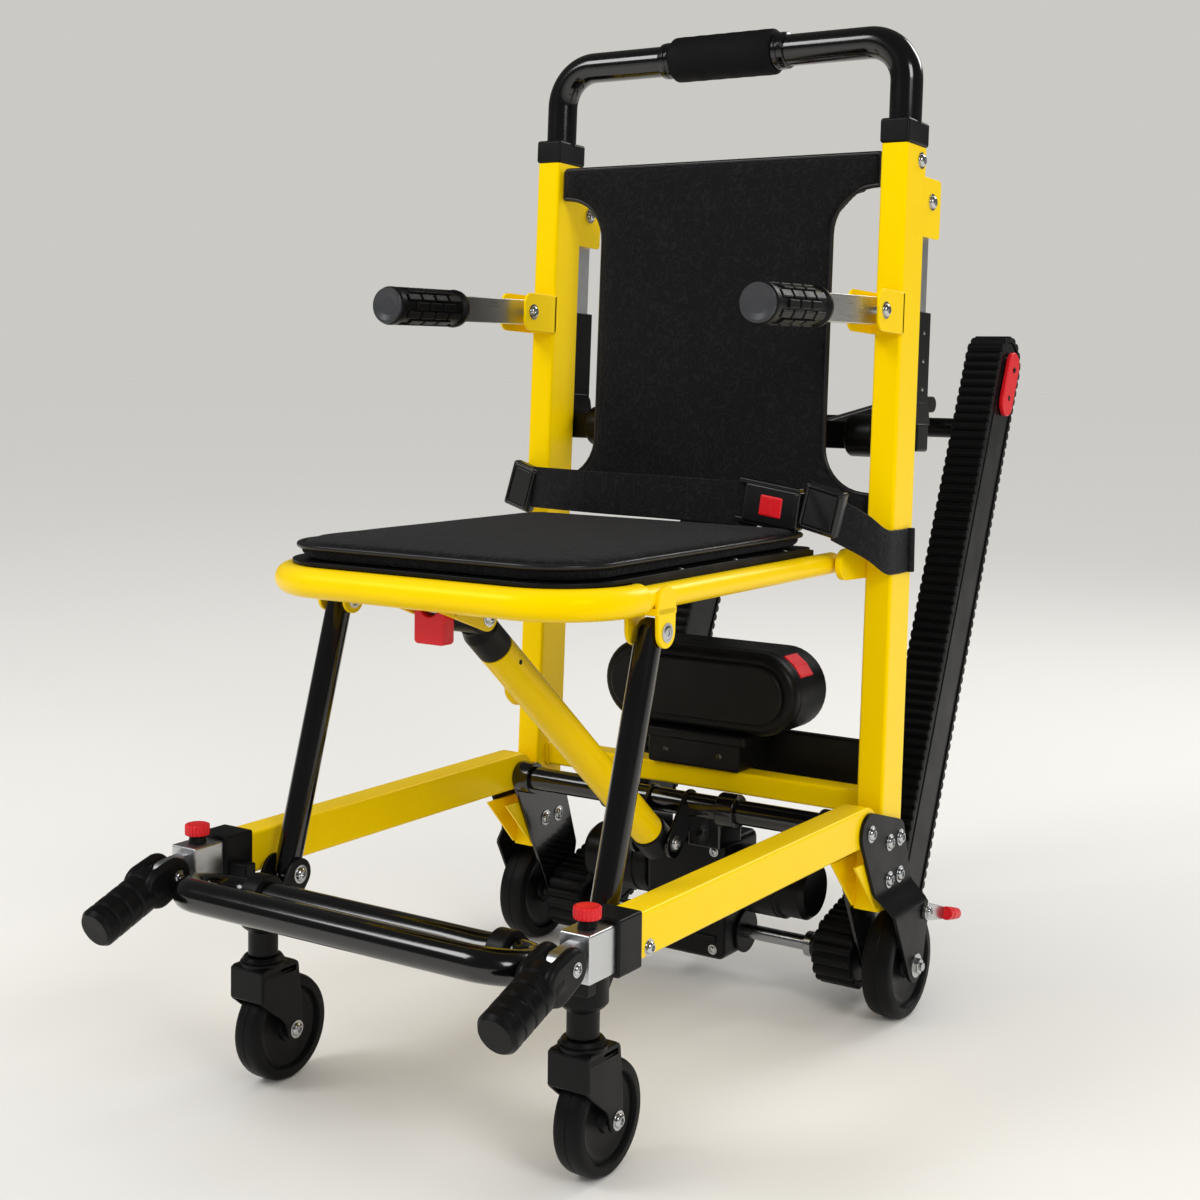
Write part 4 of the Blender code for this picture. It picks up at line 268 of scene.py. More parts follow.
class ChairSizes(bpy.types.PropertyGroup):
    """Sizes of the chair's fine detail."""

    piping: length("Piping", "Radius of the cord sewn round the pads", 0.0028)
    thread: length("Thread", "Spacing of the threads in the pads' cloth", 0.0016)
    belt_rib: length("Belt rib", "Spacing of the ribs across the track belts", 0.0115)
    rib_depth: length("Rib depth", "How far the ribs of the track belts stand out", 0.0036)
    edge: length("Edge", "Rounding of the frame's tube corners", 0.0035)
    swell: length("Swell", "How far the cloth of a pad may swell", 0.005)


class StageSettings(bpy.types.PropertyGroup):
    """The studio."""

    floor: colour("Floor", "Colour of the floor and the background", "E9E7E2")
    key_power: number("Key light", "Power of the large front lamp", 46, "POWER")
    fill_power: number("Fill light", "Power of the side lamp", 34, "POWER")
    rim_power: number("Rim light", "Power of the lamp behind the chair", 28, "POWER")
    sky: number("Sky", "Strength of the even light from all round", 0.80)
    room: number("Room", "Strength of the surroundings as glossy surfaces mirror them", 0.12)
    lens: bpy.props.FloatProperty(
        name="Lens", description="Focal length in millimetres on a 36 mm sensor", default=54.86, min=1)


# Materials

def feed(tree, node, inputs):
    """Links each input of a node to a socket or sets it to a value. It goes by its name, or by i and its number."""
    for key, value in inputs.items():
        socket = node.inputs[int(key[1:])] if key[0] == "i" and key[1:].isdigit() else node.inputs[key]
        if isinstance(value, bpy.types.NodeSocket):
            tree.links.new(value, socket)
        else:
            socket.default_value = value


def add_node(tree, kind, settings=None, **inputs):
    """A node with its settings, and each input linked to a socket or set to a value."""
    made = tree.nodes.new(kind)
    for key, value in (settings or {}).items():
        setattr(made, key, value)
    feed(tree, made, inputs)
    return made


def new_material(name):
    """A new material with its tree, its shader and its place coordinates."""
    made = bpy.data.materials.new(name)
    made.use_nodes = True
    tree = made.node_tree
    return made, tree, tree.nodes["Principled BSDF"], add_node(tree, "ShaderNodeTexCoord").outputs["Object"]


def shade(rgba, factor):
    """A colour made lighter or darker."""
    return [min(c * factor, 1.0) for c in rgba[:3]] + [1.0]


def blotched(tree, place, rgba, spread, millimetres):
    """A colour that varies softly over a surface."""
    blotch = add_node(tree, "ShaderNodeTexNoise", Vector=place, Scale=per_metre(millimetres), Detail=4.0)
    mixed = add_node(tree, "ShaderNodeMix", {"data_type": "RGBA"}, Factor=blotch.outputs["Fac"],
                     i6=shade(rgba, 1 - spread), i7=shade(rgba, 1 + spread))
    return mixed.outputs[2]


def coated(name, rgba, roughness, grain_mm, grain_depth, spread=0.06, coat=0.0, metallic=0.0, edge=1.0, gloss=0.5,
           tint=(1, 1, 1, 1), uneven=0.18):
    """A hard finish: soft blotches in its colour, a grain in its surface, uneven gloss, and edges painted lighter,
    partly as rubbed wear and partly as a painted highlight.
    """
    made, tree, shader, place = new_material(name)
    body = blotched(tree, place, rgba, spread, 60)
    if edge != 1.0:
        # Convex edges are painted lighter: rubbed wear on some finishes, a painted highlight on raised rims and piping
        # on others
        edge_wear_and_highlight = add_node(tree, "ShaderNodeNewGeometry").outputs["Pointiness"]
        share = add_node(tree, "ShaderNodeMapRange", Value=edge_wear_and_highlight, i1=0.52, i2=0.60, i3=0.0, i4=0.8).outputs["Result"]
        body = add_node(tree, "ShaderNodeMix", {"data_type": "RGBA"}, Factor=share, i6=body,
                        i7=shade(rgba, edge)).outputs[2]
    smear = add_node(tree, "ShaderNodeTexNoise", Vector=place, Scale=per_metre(35), Detail=3.0).outputs["Fac"]
    dull = add_node(tree, "ShaderNodeMapRange", Value=smear, i1=0.3, i2=0.7, i3=roughness * (1 - uneven),
                    i4=roughness * (1 + uneven))
    grain = add_node(tree, "ShaderNodeTexNoise", Vector=place, Scale=per_metre(grain_mm), Detail=2.0).outputs["Fac"]
    bump = add_node(tree, "ShaderNodeBump", Height=grain, Strength=1.0, Distance=grain_depth)
    feed(tree, shader, {"Base Color": body, "Roughness": dull.outputs["Result"], "Normal": bump.outputs["Normal"],
                        "Metallic": metallic, "Coat Weight": coat, "Coat Roughness": 0.06,
                        "Specular IOR Level": gloss, "Specular Tint": tint})
    return made


def woven(name, rgba, across, up, thread, depth, roughness=0.85):
    """Cloth: crossed threads under fine embossed lines, with sheen from loose fibres, and the raised threads and lines
    painted lighter as a painted highlight.
    """
    made, tree, shader, place = new_material(name)
    axes = add_node(tree, "ShaderNodeSeparateXYZ", Vector=place)
    waves = []
    for axis in (across, up):
        turn = add_node(tree, "ShaderNodeMath", {"operation": "MULTIPLY"}, i0=axes.outputs[axis],
                        i1=2 * math.pi / thread)
        waves.append(add_node(tree, "ShaderNodeMath", {"operation": "SINE"}, i0=turn.outputs[0]).outputs[0])
    crossing = add_node(tree, "ShaderNodeMath", {"operation": "MULTIPLY"}, i0=waves[0], i1=waves[1]).outputs[0]
    field = add_node(tree, "ShaderNodeTexNoise", Vector=place, Scale=per_metre(11.0), Detail=0.0,
                     Distortion=1.2).outputs["Fac"]
    off = add_node(tree, "ShaderNodeMath", {"operation": "SUBTRACT"}, i0=field, i1=0.5).outputs[0]
    away = add_node(tree, "ShaderNodeMath", {"operation": "ABSOLUTE"}, i0=off).outputs[0]
    lines = add_node(tree, "ShaderNodeMapRange", Value=away, i1=0.0, i2=0.07, i3=1.0, i4=0.0).outputs["Result"]
    height = add_node(tree, "ShaderNodeMath", {"operation": "MULTIPLY_ADD"}, i0=crossing, i1=0.25, i2=lines).outputs[0]
    # The higher the surface, the lighter the colour: a painted highlight on the raised threads and lines
    tint = add_node(tree, "ShaderNodeMapRange", Value=height, i1=-0.25, i2=1.25, i3=0.0, i4=1.0).outputs["Result"]
    body = add_node(tree, "ShaderNodeMix", {"data_type": "RGBA"}, Factor=tint, i6=shade(rgba, 0.8), i7=shade(rgba, 2.4))
    bump = add_node(tree, "ShaderNodeBump", Height=height, Strength=0.9, Distance=depth)
    feed(tree, shader, {"Base Color": body.outputs[2], "Normal": bump.outputs["Normal"], "Roughness": roughness,
                        "Specular IOR Level": 0.15, "Sheen Weight": 0.06, "Sheen Roughness": 0.4})
    return made


def brushed(name, rgba, axis, roughness, line_mm):
    """Bare metal with the fine lines that its finishing belt left along an axis."""
    made, tree, shader, place = new_material(name)
    stretch = [1.0, 1.0, 1.0]
    stretch[axis] = 0.02
    lines = add_node(tree, "ShaderNodeMapping", Vector=place, Scale=stretch)
    grain = add_node(tree, "ShaderNodeTexNoise", Vector=lines.outputs[0], Scale=per_metre(line_mm), Detail=3.0)
    tone = add_node(tree, "ShaderNodeMix", {"data_type": "RGBA"}, Factor=grain.outputs["Fac"], i6=shade(rgba, 0.82),
                    i7=shade(rgba, 1.08))
    dull = add_node(tree, "ShaderNodeMapRange", Value=grain.outputs["Fac"], i1=0.3, i2=0.7, i3=roughness * 0.8,
                    i4=roughness * 1.25)
    bump = add_node(tree, "ShaderNodeBump", Height=grain.outputs["Fac"], Strength=0.5, Distance=0.00006)
    feed(tree, shader, {"Base Color": tone.outputs[2], "Roughness": dull.outputs["Result"],
                        "Normal": bump.outputs["Normal"], "Metallic": 1.0})
    return made


FINISHES = {}


def make_finishes(colours, sizes):
    """Every material of the chair."""
    # Polyester powder coat over steel: a bright, even skin with a faint orange peel and highlights of its own colour
    FINISHES["yellow"] = coated("powder_coat_yellow", colours.frame, 0.30, 1.6, 0.000012, 0.03,
                                tint=colours.frame, uneven=0.06)
    # The same coat in black on the round tubes: near-mirror gloss broken by the orange peel
    FINISHES["tube"] = coated("powder_coat_gloss_black", colours.tube, 0.16, 1.6, 0.000012, 0.15, 0.4, edge=2.2)
    # Satin paint on plates, motors and bars: softer highlights and grey rubbed edges
    FINISHES["plate"] = coated("satin_black_paint", colours.plate, 0.34, 0.9, 0.00003, 0.12, edge=2.6, gloss=0.16)
    # Glass-filled nylon and ABS mouldings: spark-eroded grain, drawn at 0.7 mm so that it shows
    FINISHES["plastic"] = coated("moulded_nylon_black", colours.plastic, 0.40, 0.7, 0.00005, 0.10, edge=2.4, gloss=0.18)
    # Acetal belt fittings: harder and glossier than the nylon, so that their raised rims catch the light; the rims are
    # also painted much lighter, a painted highlight
    FINISHES["acetal"] = coated("acetal_black", colours.plastic, 0.26, 0.7, 0.00003, 0.08, edge=5.0, gloss=0.45)
    # Solid rubber tyres and belts: dull, with dust in the grain
    FINISHES["rubber"] = coated("rubber_black", colours.rubber, 0.50, 1.1, 0.00008, 0.22, edge=1.9, gloss=0.14)
    # Soft moulded grips: satin elastomer
    FINISHES["grip"] = coated("elastomer_grip_black", colours.grip, 0.42, 0.8, 0.00006, 0.14, edge=2.2, gloss=0.18)
    # Closed-cell foam on the push handle: matt, with open pores of about a millimetre
    FINISHES["foam"] = coated("foam_grip_black", colours.cloth, 0.75, 1.2, 0.00030, 0.20, gloss=0.12)
    # Red nylon: clean saturated mouldings with a satin skin
    FINISHES["red"] = coated("moulded_nylon_red", colours.accent, 0.34, 0.9, 0.00003, 0.05, edge=1.12, gloss=0.4)
    # Grey nylon discs pressed into the ends of the arm grips
    FINISHES["disc"] = coated("moulded_nylon_grey", colours.disc, 0.36, 0.9, 0.00003, 0.05, gloss=0.3)
    # Mill-finished flat bar, brushed along its length
    FINISHES["bar_y"] = brushed("brushed_aluminium_bar", colours.aluminium, 1, 0.34, 0.5)
    FINISHES["bar_z"] = brushed("brushed_aluminium_upright", colours.aluminium, 2, 0.34, 0.5)
    # Ground round steel
    FINISHES["steel"] = brushed("ground_steel", colours.steel, 0, 0.24, 0.6)
    # Zinc plate on screws: bright with a slight haze
    FINISHES["zinc"] = coated("zinc_plated_steel", colours.zinc, 0.24, 0.8, 0.00003, 0.08, metallic=1.0)
    # Polyester cloth laminated to foam: matt and fuzzy; its threads are drawn coarser than life so that they show
    FINISHES["seat_cloth"] = woven("laminated_cloth_seat", colours.cloth, 0, 1, sizes.thread, 0.0005)
    FINISHES["back_cloth"] = woven("laminated_cloth_back", colours.cloth, 0, 2, sizes.thread, 0.0005)
    # Coated tape bound round the piping: smoother and shinier than the cloth, so that the edge draws a line of light;
    # its rounded edge is also painted lighter, a painted highlight
    FINISHES["binding"] = coated("coated_binding_tape", colours.cloth, 0.34, 0.9, 0.00004, 0.10, edge=3.0, gloss=0.40)
    # Polypropylene seat-belt webbing: rows of thread across its face
    FINISHES["webbing"] = woven("belt_webbing", colours.webbing, 0, 2, sizes.thread * 0.9, 0.00025, 0.62)
    # Polyester sewing thread
    FINISHES["thread"] = coated("sewing_thread", shade(colours.webbing, 1.8), 0.7, 0.6, 0.0001, 0.1)


# Shapes: each is a list of points and a list of faces

def skin(rings, closed=False):
    """A surface through rings of points, with flat ends unless the last ring joins the first."""
    count = len(rings[0])
    points = [Vector(p) for ring in rings for p in ring]
    faces = []
    last = len(rings) if closed else len(rings) - 1
    for i in range(last):
        low, high = i * count, (i + 1) % len(rings) * count
        faces += [(low + k, low + (k + 1) % count, high + (k + 1) % count, high + k) for k in range(count)]
    if not closed:
        faces += [tuple(reversed(range(count))), tuple(range(len(points) - count, len(points)))]
    return points, faces


def moved(shape, matrix):
    """A shape carried by a matrix."""
    return [matrix @ p for p in shape[0]], shape[1]


def leaned(*shapes):
    """Shapes drawn against an upright at the origin, carried to their leaning place."""
    return [moved(shape, LEAN_FRAME) for shape in shapes]


def eased(points, radius, closed=True, steps=5, most=0.49):
    """A run of points with its corners turned into arcs. The radius may be a list with one for each corner."""
    points = [Vector(p) for p in points]
    radii = radius if isinstance(radius, list) else [radius] * len(points)
    path = []
    for i, here in enumerate(points):
        if not closed and i in (0, len(points) - 1):
            path.append(here)
            continue
        back, ahead = points[i - 1] - here, points[(i + 1) % len(points)] - here
        half = back.angle(ahead) / 2
        reach = min(radii[i] / math.tan(half), most * back.length, most * ahead.length)
        if reach < 1e-6:
            path.append(here)
            continue
        back.normalize()
        ahead.normalize()
        centre = here + (back + ahead).normalized() * (reach / math.cos(half))
        first, last = here + back * reach - centre, here + ahead * reach - centre
        path += [centre + first.slerp(last, k / steps).normalized() * first.length for k in range(steps + 1)]
    return path


def circle(centre, radius, steps=32):
    """Points round a centre in a plane."""
    turns = [2 * math.pi * (k + 0.5) / steps for k in range(steps)]
    return [Vector((centre[0] + radius * math.cos(t), centre[1] + radius * math.sin(t))) for t in turns]


def hull(*rounds):
    """The convex outline that a band stretched round some (centre, radius) circles would take."""
    points = sorted({tuple(point) for centre, radius in rounds for point in circle(centre, radius)})

    def chain(run):
        kept = []
        for point in run:
            while len(kept) > 1:
                (ax, ay), (bx, by) = kept[-2], kept[-1]
                if (bx - ax) * (point[1] - ay) - (by - ay) * (point[0] - ax) > 1e-12:
                    break
                kept.pop()
            kept.append(point)
        return kept[:-1]

    return [Vector(p) for p in chain(points) + chain(reversed(points))]


def inset(outline, distance):
    """A closed outline drawn in by a distance."""
    count = len(outline)
    area = sum(outline[i - 1].cross(outline[i]) for i in range(count))
    way = 1 if area > 0 else -1
    drawn = []
    for i, here in enumerate(outline):
        before = (here - outline[i - 1]).normalized()
        after = (outline[(i + 1) % count] - here).normalized()
        normal = Vector((-before.y - after.y, before.x + after.x)) * way
        share = max(normal.length_squared / 2, 0.4)
        drawn.append(here + normal * distance / share)
    return drawn


def slab(outline, low, high, axis="X", edge=0.001, steps=3):
    """An outline drawn out along an axis with its rims rounded. It lies in (y, z), (x, z) or (x, y)."""
    outline = [Vector(p) for p in outline]
    low, high = sorted((low, high))
    edge = min(edge, (high - low) * 0.49)
    place = {"X": lambda p, s: (s, p.x, p.y), "Y": lambda p, s: (p.x, s, p.y), "Z": lambda p, s: (p.x, p.y, s)}[axis]
    turns = [math.pi / 2 * k / steps for k in range(steps + 1)]
    layers = [(low + edge * (1 - math.cos(t)), edge * (1 - math.sin(t))) for t in turns]
    layers += [(high - edge * (1 - math.cos(t)), edge * (1 - math.sin(t))) for t in reversed(turns)]
    return skin([[place(p, s) for p in inset(outline, drawn)] for s, drawn in layers])


def box(low, high, edge=0.001, axis="Z"):
    """A block between two corners with its edges rounded."""
    flat = {"X": (1, 2, 0), "Y": (0, 2, 1), "Z": (0, 1, 2)}[axis]
    (u0, v0, s0), (u1, v1, s1) = ([corner[i] for i in flat] for corner in (low, high))
    u0, u1, v0, v1 = *sorted((u0, u1)), *sorted((v0, v1))
    return slab(eased([(u0, v0), (u1, v0), (u1, v1), (u0, v1)], edge, steps=4), s0, s1, axis, edge)


def lathe(profile, origin, direction, sides=40, ring=False):
    """A (radius, distance) profile turned round an axis. A ring has a bore."""
    axis = Vector(direction).normalized()
    first = axis.orthogonal().normalized()
    second = axis.cross(first)
    origin = Vector(origin)
    turns = [2 * math.pi * k / sides for k in range(sides)]
    spokes = [first * math.cos(t) + second * math.sin(t) for t in turns]
    return skin([[origin + axis * s + spoke * r for spoke in spokes] for r, s in profile], closed=ring)


def softened(profile, radius, steps=4):
    """A lathe profile with its corners turned into arcs."""
    return [tuple(p) for p in eased(profile, radius, closed=False, steps=steps)]


def banded(inner, outer, reach, edge):
    """The lathe profile of a plain band with its corners rounded."""
    return softened([(inner, 0), (outer, 0), (outer, reach), (inner, reach)], edge)


def rod(start, end, radius, edge=0.0008, sides=32):
    """A round bar between two points with its rims rounded."""
    start, end = Vector(start), Vector(end)
    return lathe(banded(CORE, radius, (end - start).length, edge), start, end - start, sides)


def pin(point, x0, x1, radius, edge=0.0008, sides=32):
    """A round bar along X through a (y, z) point."""
    return rod((x0, *point), (x1, *point), radius, edge, sides)


def tube(path, radius, sides=28, closed=False):
    """A round bar along a path."""
    path = [Vector(p) for p in path]
    count = len(path)
    rings, side = [], None
    for i, point in enumerate(path):
        after = path[(i + 1) % count] if closed or i + 1 < count else point
        before = path[i - 1] if closed or i else point
        tangent = (after - before).normalized()
        side = side or tangent.orthogonal().normalized()
        side = (side - tangent * side.dot(tangent)).normalized()
        other = tangent.cross(side)
        turns = [2 * math.pi * k / sides for k in range(sides)]
        rings.append([point + radius * (math.cos(t) * side + math.sin(t) * other) for t in turns])
    return skin(rings, closed=closed)


def bolt(origin, direction, radius=0.0065, height=0.0042):
    """A button-head screw on its washer, with a socket in its crown."""
    washer = 1.35 * radius
    profile = [(CORE, -0.0008), (washer, -0.0008), (washer, 0.0008), (radius, 0.0009), (radius, 0.45 * height),
               (0.9 * radius, 0.75 * height), (0.64 * radius, height), (0.46 * radius, height),
               (0.42 * radius, 0.45 * height), (CORE, 0.4 * height)]
    return lathe(profile, origin, direction, 24)


def side_bolt(side, x, point, radius=0.0065, height=0.0042):
    """A screw on an outer face."""
    return bolt((side * x, *point), (side, 0, 0), radius, height)


def bolt_pair(x, reach, point, radius=0.0065, height=0.0042):
    """Screws on the two outer faces of a tube or of a pair of cheeks."""
    return [bolt((x + way * reach, *point), (way, 0, 0), radius, height) for way in (1, -1)]


def cheeks(outline, x, inner, outer, edge):
    """A pair of plates, one to each side of a place."""
    return [slab(outline, x + way * inner, x + way * outer, "X", edge) for way in (1, -1)]


def at_depth(z):
    """How far back the front face of the uprights stands at a height."""
    return (z - UPRIGHT_TOP) * math.tan(LEAN)


def along(start, end, share):
    """The point a share of the way from one (y, z) point to another."""
    return tuple(a + (b - a) * share for a, b in zip(start, end))


def modify(obj, kind, **settings):
    """Works a modifier into an object's mesh."""
    modifier = obj.modifiers.new(kind.lower(), kind)
    for key, value in settings.items():
        setattr(modifier, key, value)
    mesh = bpy.data.meshes.new_from_object(obj.evaluated_get(bpy.context.evaluated_depsgraph_get()))
    obj.modifiers.clear()
    obj.data = mesh


def piece(name, body, finish, shapes, stands_for=None, sharp=SHARP):
    """One visible piece: its shapes in one mesh, moved back, finished, and riding on its body.

    It stands for the node that it names, or else for the node of its own name where there is one.
    """
    points, faces = [], []
    for shape_points, shape_faces in shapes:
        faces += [tuple(k + len(points) for k in face) for face in shape_faces]
        points += shape_points
    mesh = bpy.data.meshes.new(name)
    mesh.from_pydata([p + Vector((0, BACKWARD, 0)) for p in points], [], faces)
    bm = bmesh.new()
    bm.from_mesh(mesh)
    bmesh.ops.recalc_face_normals(bm, faces=bm.faces)
    bm.to_mesh(mesh)
    bm.free()
    mesh.shade_smooth()
    mesh.set_sharp_from_angle(angle=sharp)
    mesh.materials.append(FINISHES[finish])
    obj = bpy.data.objects.new(name, mesh)
    bpy.context.scene.collection.objects.link(obj)
    modify(obj, "WEIGHTED_NORMAL", keep_sharp=True)
    obj.data.name = name
    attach(obj, body)
    if stands_for or name in frame["nodes"]:
        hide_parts(stands_for or name)
    return obj


# Frame

def make_uprights(edge):
    """The yellow uprights with their welded brackets, black caps and bolts, and the cross tube between them."""
    low = (UPRIGHT_BOTTOM - UPRIGHT_TOP) / math.cos(LEAN)
    tube_half = TUBE_WIDTH / 2
    wall = 0.003
    half = tube_half + wall
    sunk = tube_half - 0.0005
    bottom, top = ARM_PIVOT[1] - 0.0215, ARM_PIVOT[1] + 0.0215
    clevis = eased([(0.002, bottom), (0.002, top), (-0.060, top), (-0.060, bottom)], [0.001, 0.001, 0.012, 0.012])
    stay_front, stay_rear = TUBE_DEPTH - 0.004, TUBE_DEPTH + 0.042
    stay = eased([(stay_front, -0.029), (stay_rear, -0.029), (stay_rear, -0.092), (stay_front, -0.092)],
                 [0.001, 0.005, 0.005, 0.001])
    ear = hull((SEAT_PIVOT, 0.016), ((at_depth(SEAT_Z) + 0.012, SEAT_Z), 0.018))
    gusset_top, foot = PIVOT[1] - 0.030, at_depth(UPRIGHT_BOTTOM)
    gusset = [(at_depth(gusset_top) + 0.004, gusset_top), (PIVOT[0] - 0.026, gusset_top),
              (foot - 0.004, UPRIGHT_BOTTOM + 0.004), (foot + 0.004, UPRIGHT_BOTTOM + 0.004)]
    for name, side in SIDES:
        x = side * UPRIGHT_X
        x0, x1 = x - tube_half, x + tube_half
        section = eased([(x0, 0), (x1, 0), (x1, TUBE_DEPTH), (x0, TUBE_DEPTH)], edge)
        shapes = leaned(slab(section, low, 0, "Z", 0.0006), *cheeks(clevis, x, tube_half, half, 0.0008),
                        box((x - half, -wall, bottom), (x + half, 0.002, top), 0.0012),
                        *cheeks(stay, x, sunk - wall, sunk, 0.0007))
        shapes.append(slab(ear, side * (INNER_X - 0.006), side * (INNER_X + 0.001), "X", 0.001))
        shapes += cheeks(gusset, x, sunk - wall, sunk, 0.0006)
        piece(f"upright_{name}", "frame", "yellow", shapes)

        bolts = leaned(*bolt_pair(x, half, ARM_PIVOT), *bolt_pair(x, tube_half, STAY_BOLT),
                       *bolt_pair(x, tube_half, (TUBE_DEPTH * 0.72, -0.0145)),
                       pin(ARM_PIVOT, x - half, x + half, 0.004), pin(STAY_BOLT, x0, x1, 0.004))
        bolts.append(pin(SEAT_PIVOT, side * (SEAT_X - SIDE_RADIUS - 0.002), side * INNER_X, 0.005))
        piece(f"upright_bolts_{name}", "frame", "zinc", bolts)

        reach = tube_half + CAP_PROUD
        cap = box((x - reach, -CAP_PROUD, GAP), (x + reach, TUBE_DEPTH + CAP_PROUD, CAP_HEIGHT), 0.003)
        piece(f"upright_cap_{name}", "frame", "plastic", leaned(cap))

    end = INNER_X + 0.001
    half = (0.015, 0.012)
    section = eased([(CROSS_TUBE[0] + u * half[0], CROSS_TUBE[1] + v * half[1])
                     for u, v in ((-1, -1), (1, -1), (1, 1), (-1, 1))], edge)
    beads = []
    for side in (1, -1):
        ring = [(side * (INNER_X - 0.001), *p) for p in section]
        beads.append(tube(ring, 0.0022, 8, closed=True))
    piece("lower_cross_tube", "frame", "yellow", [slab(section, -end, end, "X", 0.0005), *beads])


def plate_loft(side, outline, inner, bend):
    """A plate along X with an outline in (y, z), pushed outward by a bend at each height, with its rims broken."""
    low, high = min(p.y for p in outline), max(p.y for p in outline)
    count = 56
    rim = 0.0006
    rings = []
    for k in range(count + 1):
        z = low + (high - low) * (0.5 - 0.5 * math.cos(math.pi * min(max(k / count, 0.012), 0.988)))
        cuts = []
        for a, b in zip(outline, outline[1:] + outline[:1]):
            if (a.y <= z) != (b.y <= z):
                cuts.append(a.x + (b.x - a.x) * (z - a.y) / (b.y - a.y))
        y0, y1 = min(cuts), max(cuts)
        x0 = inner + bend(z)
        x1 = x0 + PLATE_THICKNESS
        ring = [(x0, y0 + rim), (x0, y1 - rim), (x0 + rim, y1), (x1 - rim, y1), (x1, y1 - rim), (x1, y0 + rim),
                (x1 - rim, y0), (x0 + rim, y0)]
        rings.append([(side * x, y, z) for x, y in ring])
    return skin(rings)


def make_lower_frame():
    """The black tube that the rails turn on, the wheel plates, their bolts and the brace's bracket."""
    corner = 0.016
    upper = at_depth(PIVOT[1]) + TUBE_DEPTH - corner
    inner_plate = hull((PIVOT, 0.017), ((upper, PIVOT[1] - 0.024), corner), (BRAKE, 0.012), (AXLE, 0.018))
    outer_plate = hull((PIVOT, 0.021), ((upper, PIVOT[1] - 0.014), corner), (BRAKE, 0.012), (AXLE, 0.018))
    middle = at_depth(PIVOT[1]) + TUBE_DEPTH / 2
    spots = [(middle + off, z) for z in (PIVOT[1] - 0.018, BEND_TOP + 0.010) for off in (-0.013, 0.013)]
    plate_face = INNER_X - GAP
    inner_face = plate_face - PLATE_THICKNESS
    lug = BRACE_SIDE + CHEEK

    def bend(z):
        return BEND_STEP * min(max((BEND_TOP - z) / (BEND_TOP - UPRIGHT_BOTTOM), 0), 1)

    shapes = [pin(PIVOT, -plate_face, plate_face, 0.013)]
    shapes += cheeks(hull((PIVOT, 0.016), (BRACE_FOOT, 0.016)), 0, BRACE_SIDE, lug, 0.0008)
    bolts = [*bolt_pair(0, lug, BRACE_FOOT), pin(BRACE_FOOT, -lug, lug, 0.005)]
    for name, side in SIDES:
        shapes.append(slab(inner_plate, side * inner_face, side * plate_face, "X", 0.0007))
        for start, outer, reach in ((inner_face - 0.017, 0.018, 0.018), (0.062, 0.0185, 0.022)):
            shapes.append(lathe(banded(0.012, outer, reach, 0.0016), (side * start, *PIVOT), (side, 0, 0)))
        shapes.append(pin(PIVOT, side * plate_face, side * OUTER_X, 0.006))
        shapes.append(box((side * (lug - 0.001), PIVOT[0] - 0.004, 0.1663),
                          (side * (lug + 0.038), -0.020, PIVOT[1]), 0.002))
        bolts += [bolt((side * inner_face, *spot), (-side, 0, 0)) for spot in spots[2:]]

        face = OUTER_X + GAP
        plate = [plate_loft(side, outer_plate, face, bend)]
        piece(f"outer_wheel_plate_{name}", "frame", "plate", plate)
        outer_bolts = [side_bolt(side, face + PLATE_THICKNESS, spot) for spot in (PIVOT, *spots)]
        axle_end = face + BEND_STEP + PLATE_THICKNESS
        axle = softened([(CORE, INNER_X + 0.003), (0.009, INNER_X + 0.003), (0.009, OUTER_X - REAR_WIDTH / 2),
                         (0.006, OUTER_X - REAR_WIDTH / 2), (0.006, axle_end - 0.005),
                         (CORE, axle_end - 0.005)], 0.0004)
        outer_bolts.append(lathe(axle, (0, *AXLE), (side, 0, 0), 24))
        outer_bolts.append(lathe([(CORE, -0.001), (0.0125, -0.001), (0.0125, 0.0012), (CORE, 0.0012)],
                                 (side * axle_end, *AXLE), (side, 0, 0), 32))
        nut = slab(circle(AXLE, 0.0085, 6), side * axle_end, side * (axle_end + 0.0055), "X", 0.0009)
        stud = pin(AXLE, side * axle_end, side * (axle_end + 0.0085), 0.0045)
        piece(f"outer_plate_bolts_{name}", "frame", "zinc", outer_bolts + [nut, stud])
    piece("lower_frame", "frame", "tube", shapes)
    piece("lower_frame_bolts", "frame", "zinc", bolts)


# Wheels

def tyre(radius, width, centre):
    """A solid tyre with rounded shoulders, a mould line round its tread and a ring moulded in each side."""
    half = width / 2
    groove = 0.00055
    side = [(0.76 * radius, half - 0.0045), (0.78 * radius, half - 0.001), (0.80 * radius, half),
            (0.915 * radius, half), (0.965 * radius, half - 0.0016), (0.992 * radius, half * 0.66),
            (radius, half * 0.34), (radius, 0.0007), (radius - groove, 0)]
    profile = [(r, -s) for r, s in side] + [(r, s) for r, s in reversed(side[:-1])]
    profile += [(0.70 * radius, half - 0.0045), (0.70 * radius, 0.0045 - half)]
    return lathe(profile, centre, (1, 0, 0), 96, ring=True)


def hub(radius, width, centre):
    """The moulded hub inside a tyre: a dished disc with a raised boss."""
    half = width / 2 - 0.0038
    side = [(0.0065, half + 0.002), (0.24 * radius, half + 0.002), (0.27 * radius, half - 0.0015),
            (0.58 * radius, half - 0.003), (0.66 * radius, half - 0.0008), (0.745 * radius, half - 0.0008)]
    return lathe([(r, -s) for r, s in side] + [(r, s) for r, s in reversed(side)], centre, (1, 0, 0), 64, ring=True)


def make_wheel(kind, name, radius, width, centre):
    """A tyre, which stands for the whole wheel, and its hub."""
    body = f"{kind}_wheel_{name}"
    piece(f"{kind}_tyre_{name}", body, "rubber", [tyre(radius, width, centre)], body)
    piece(f"{kind}_hub_{name}", body, "plastic", [hub(radius, width, centre)])


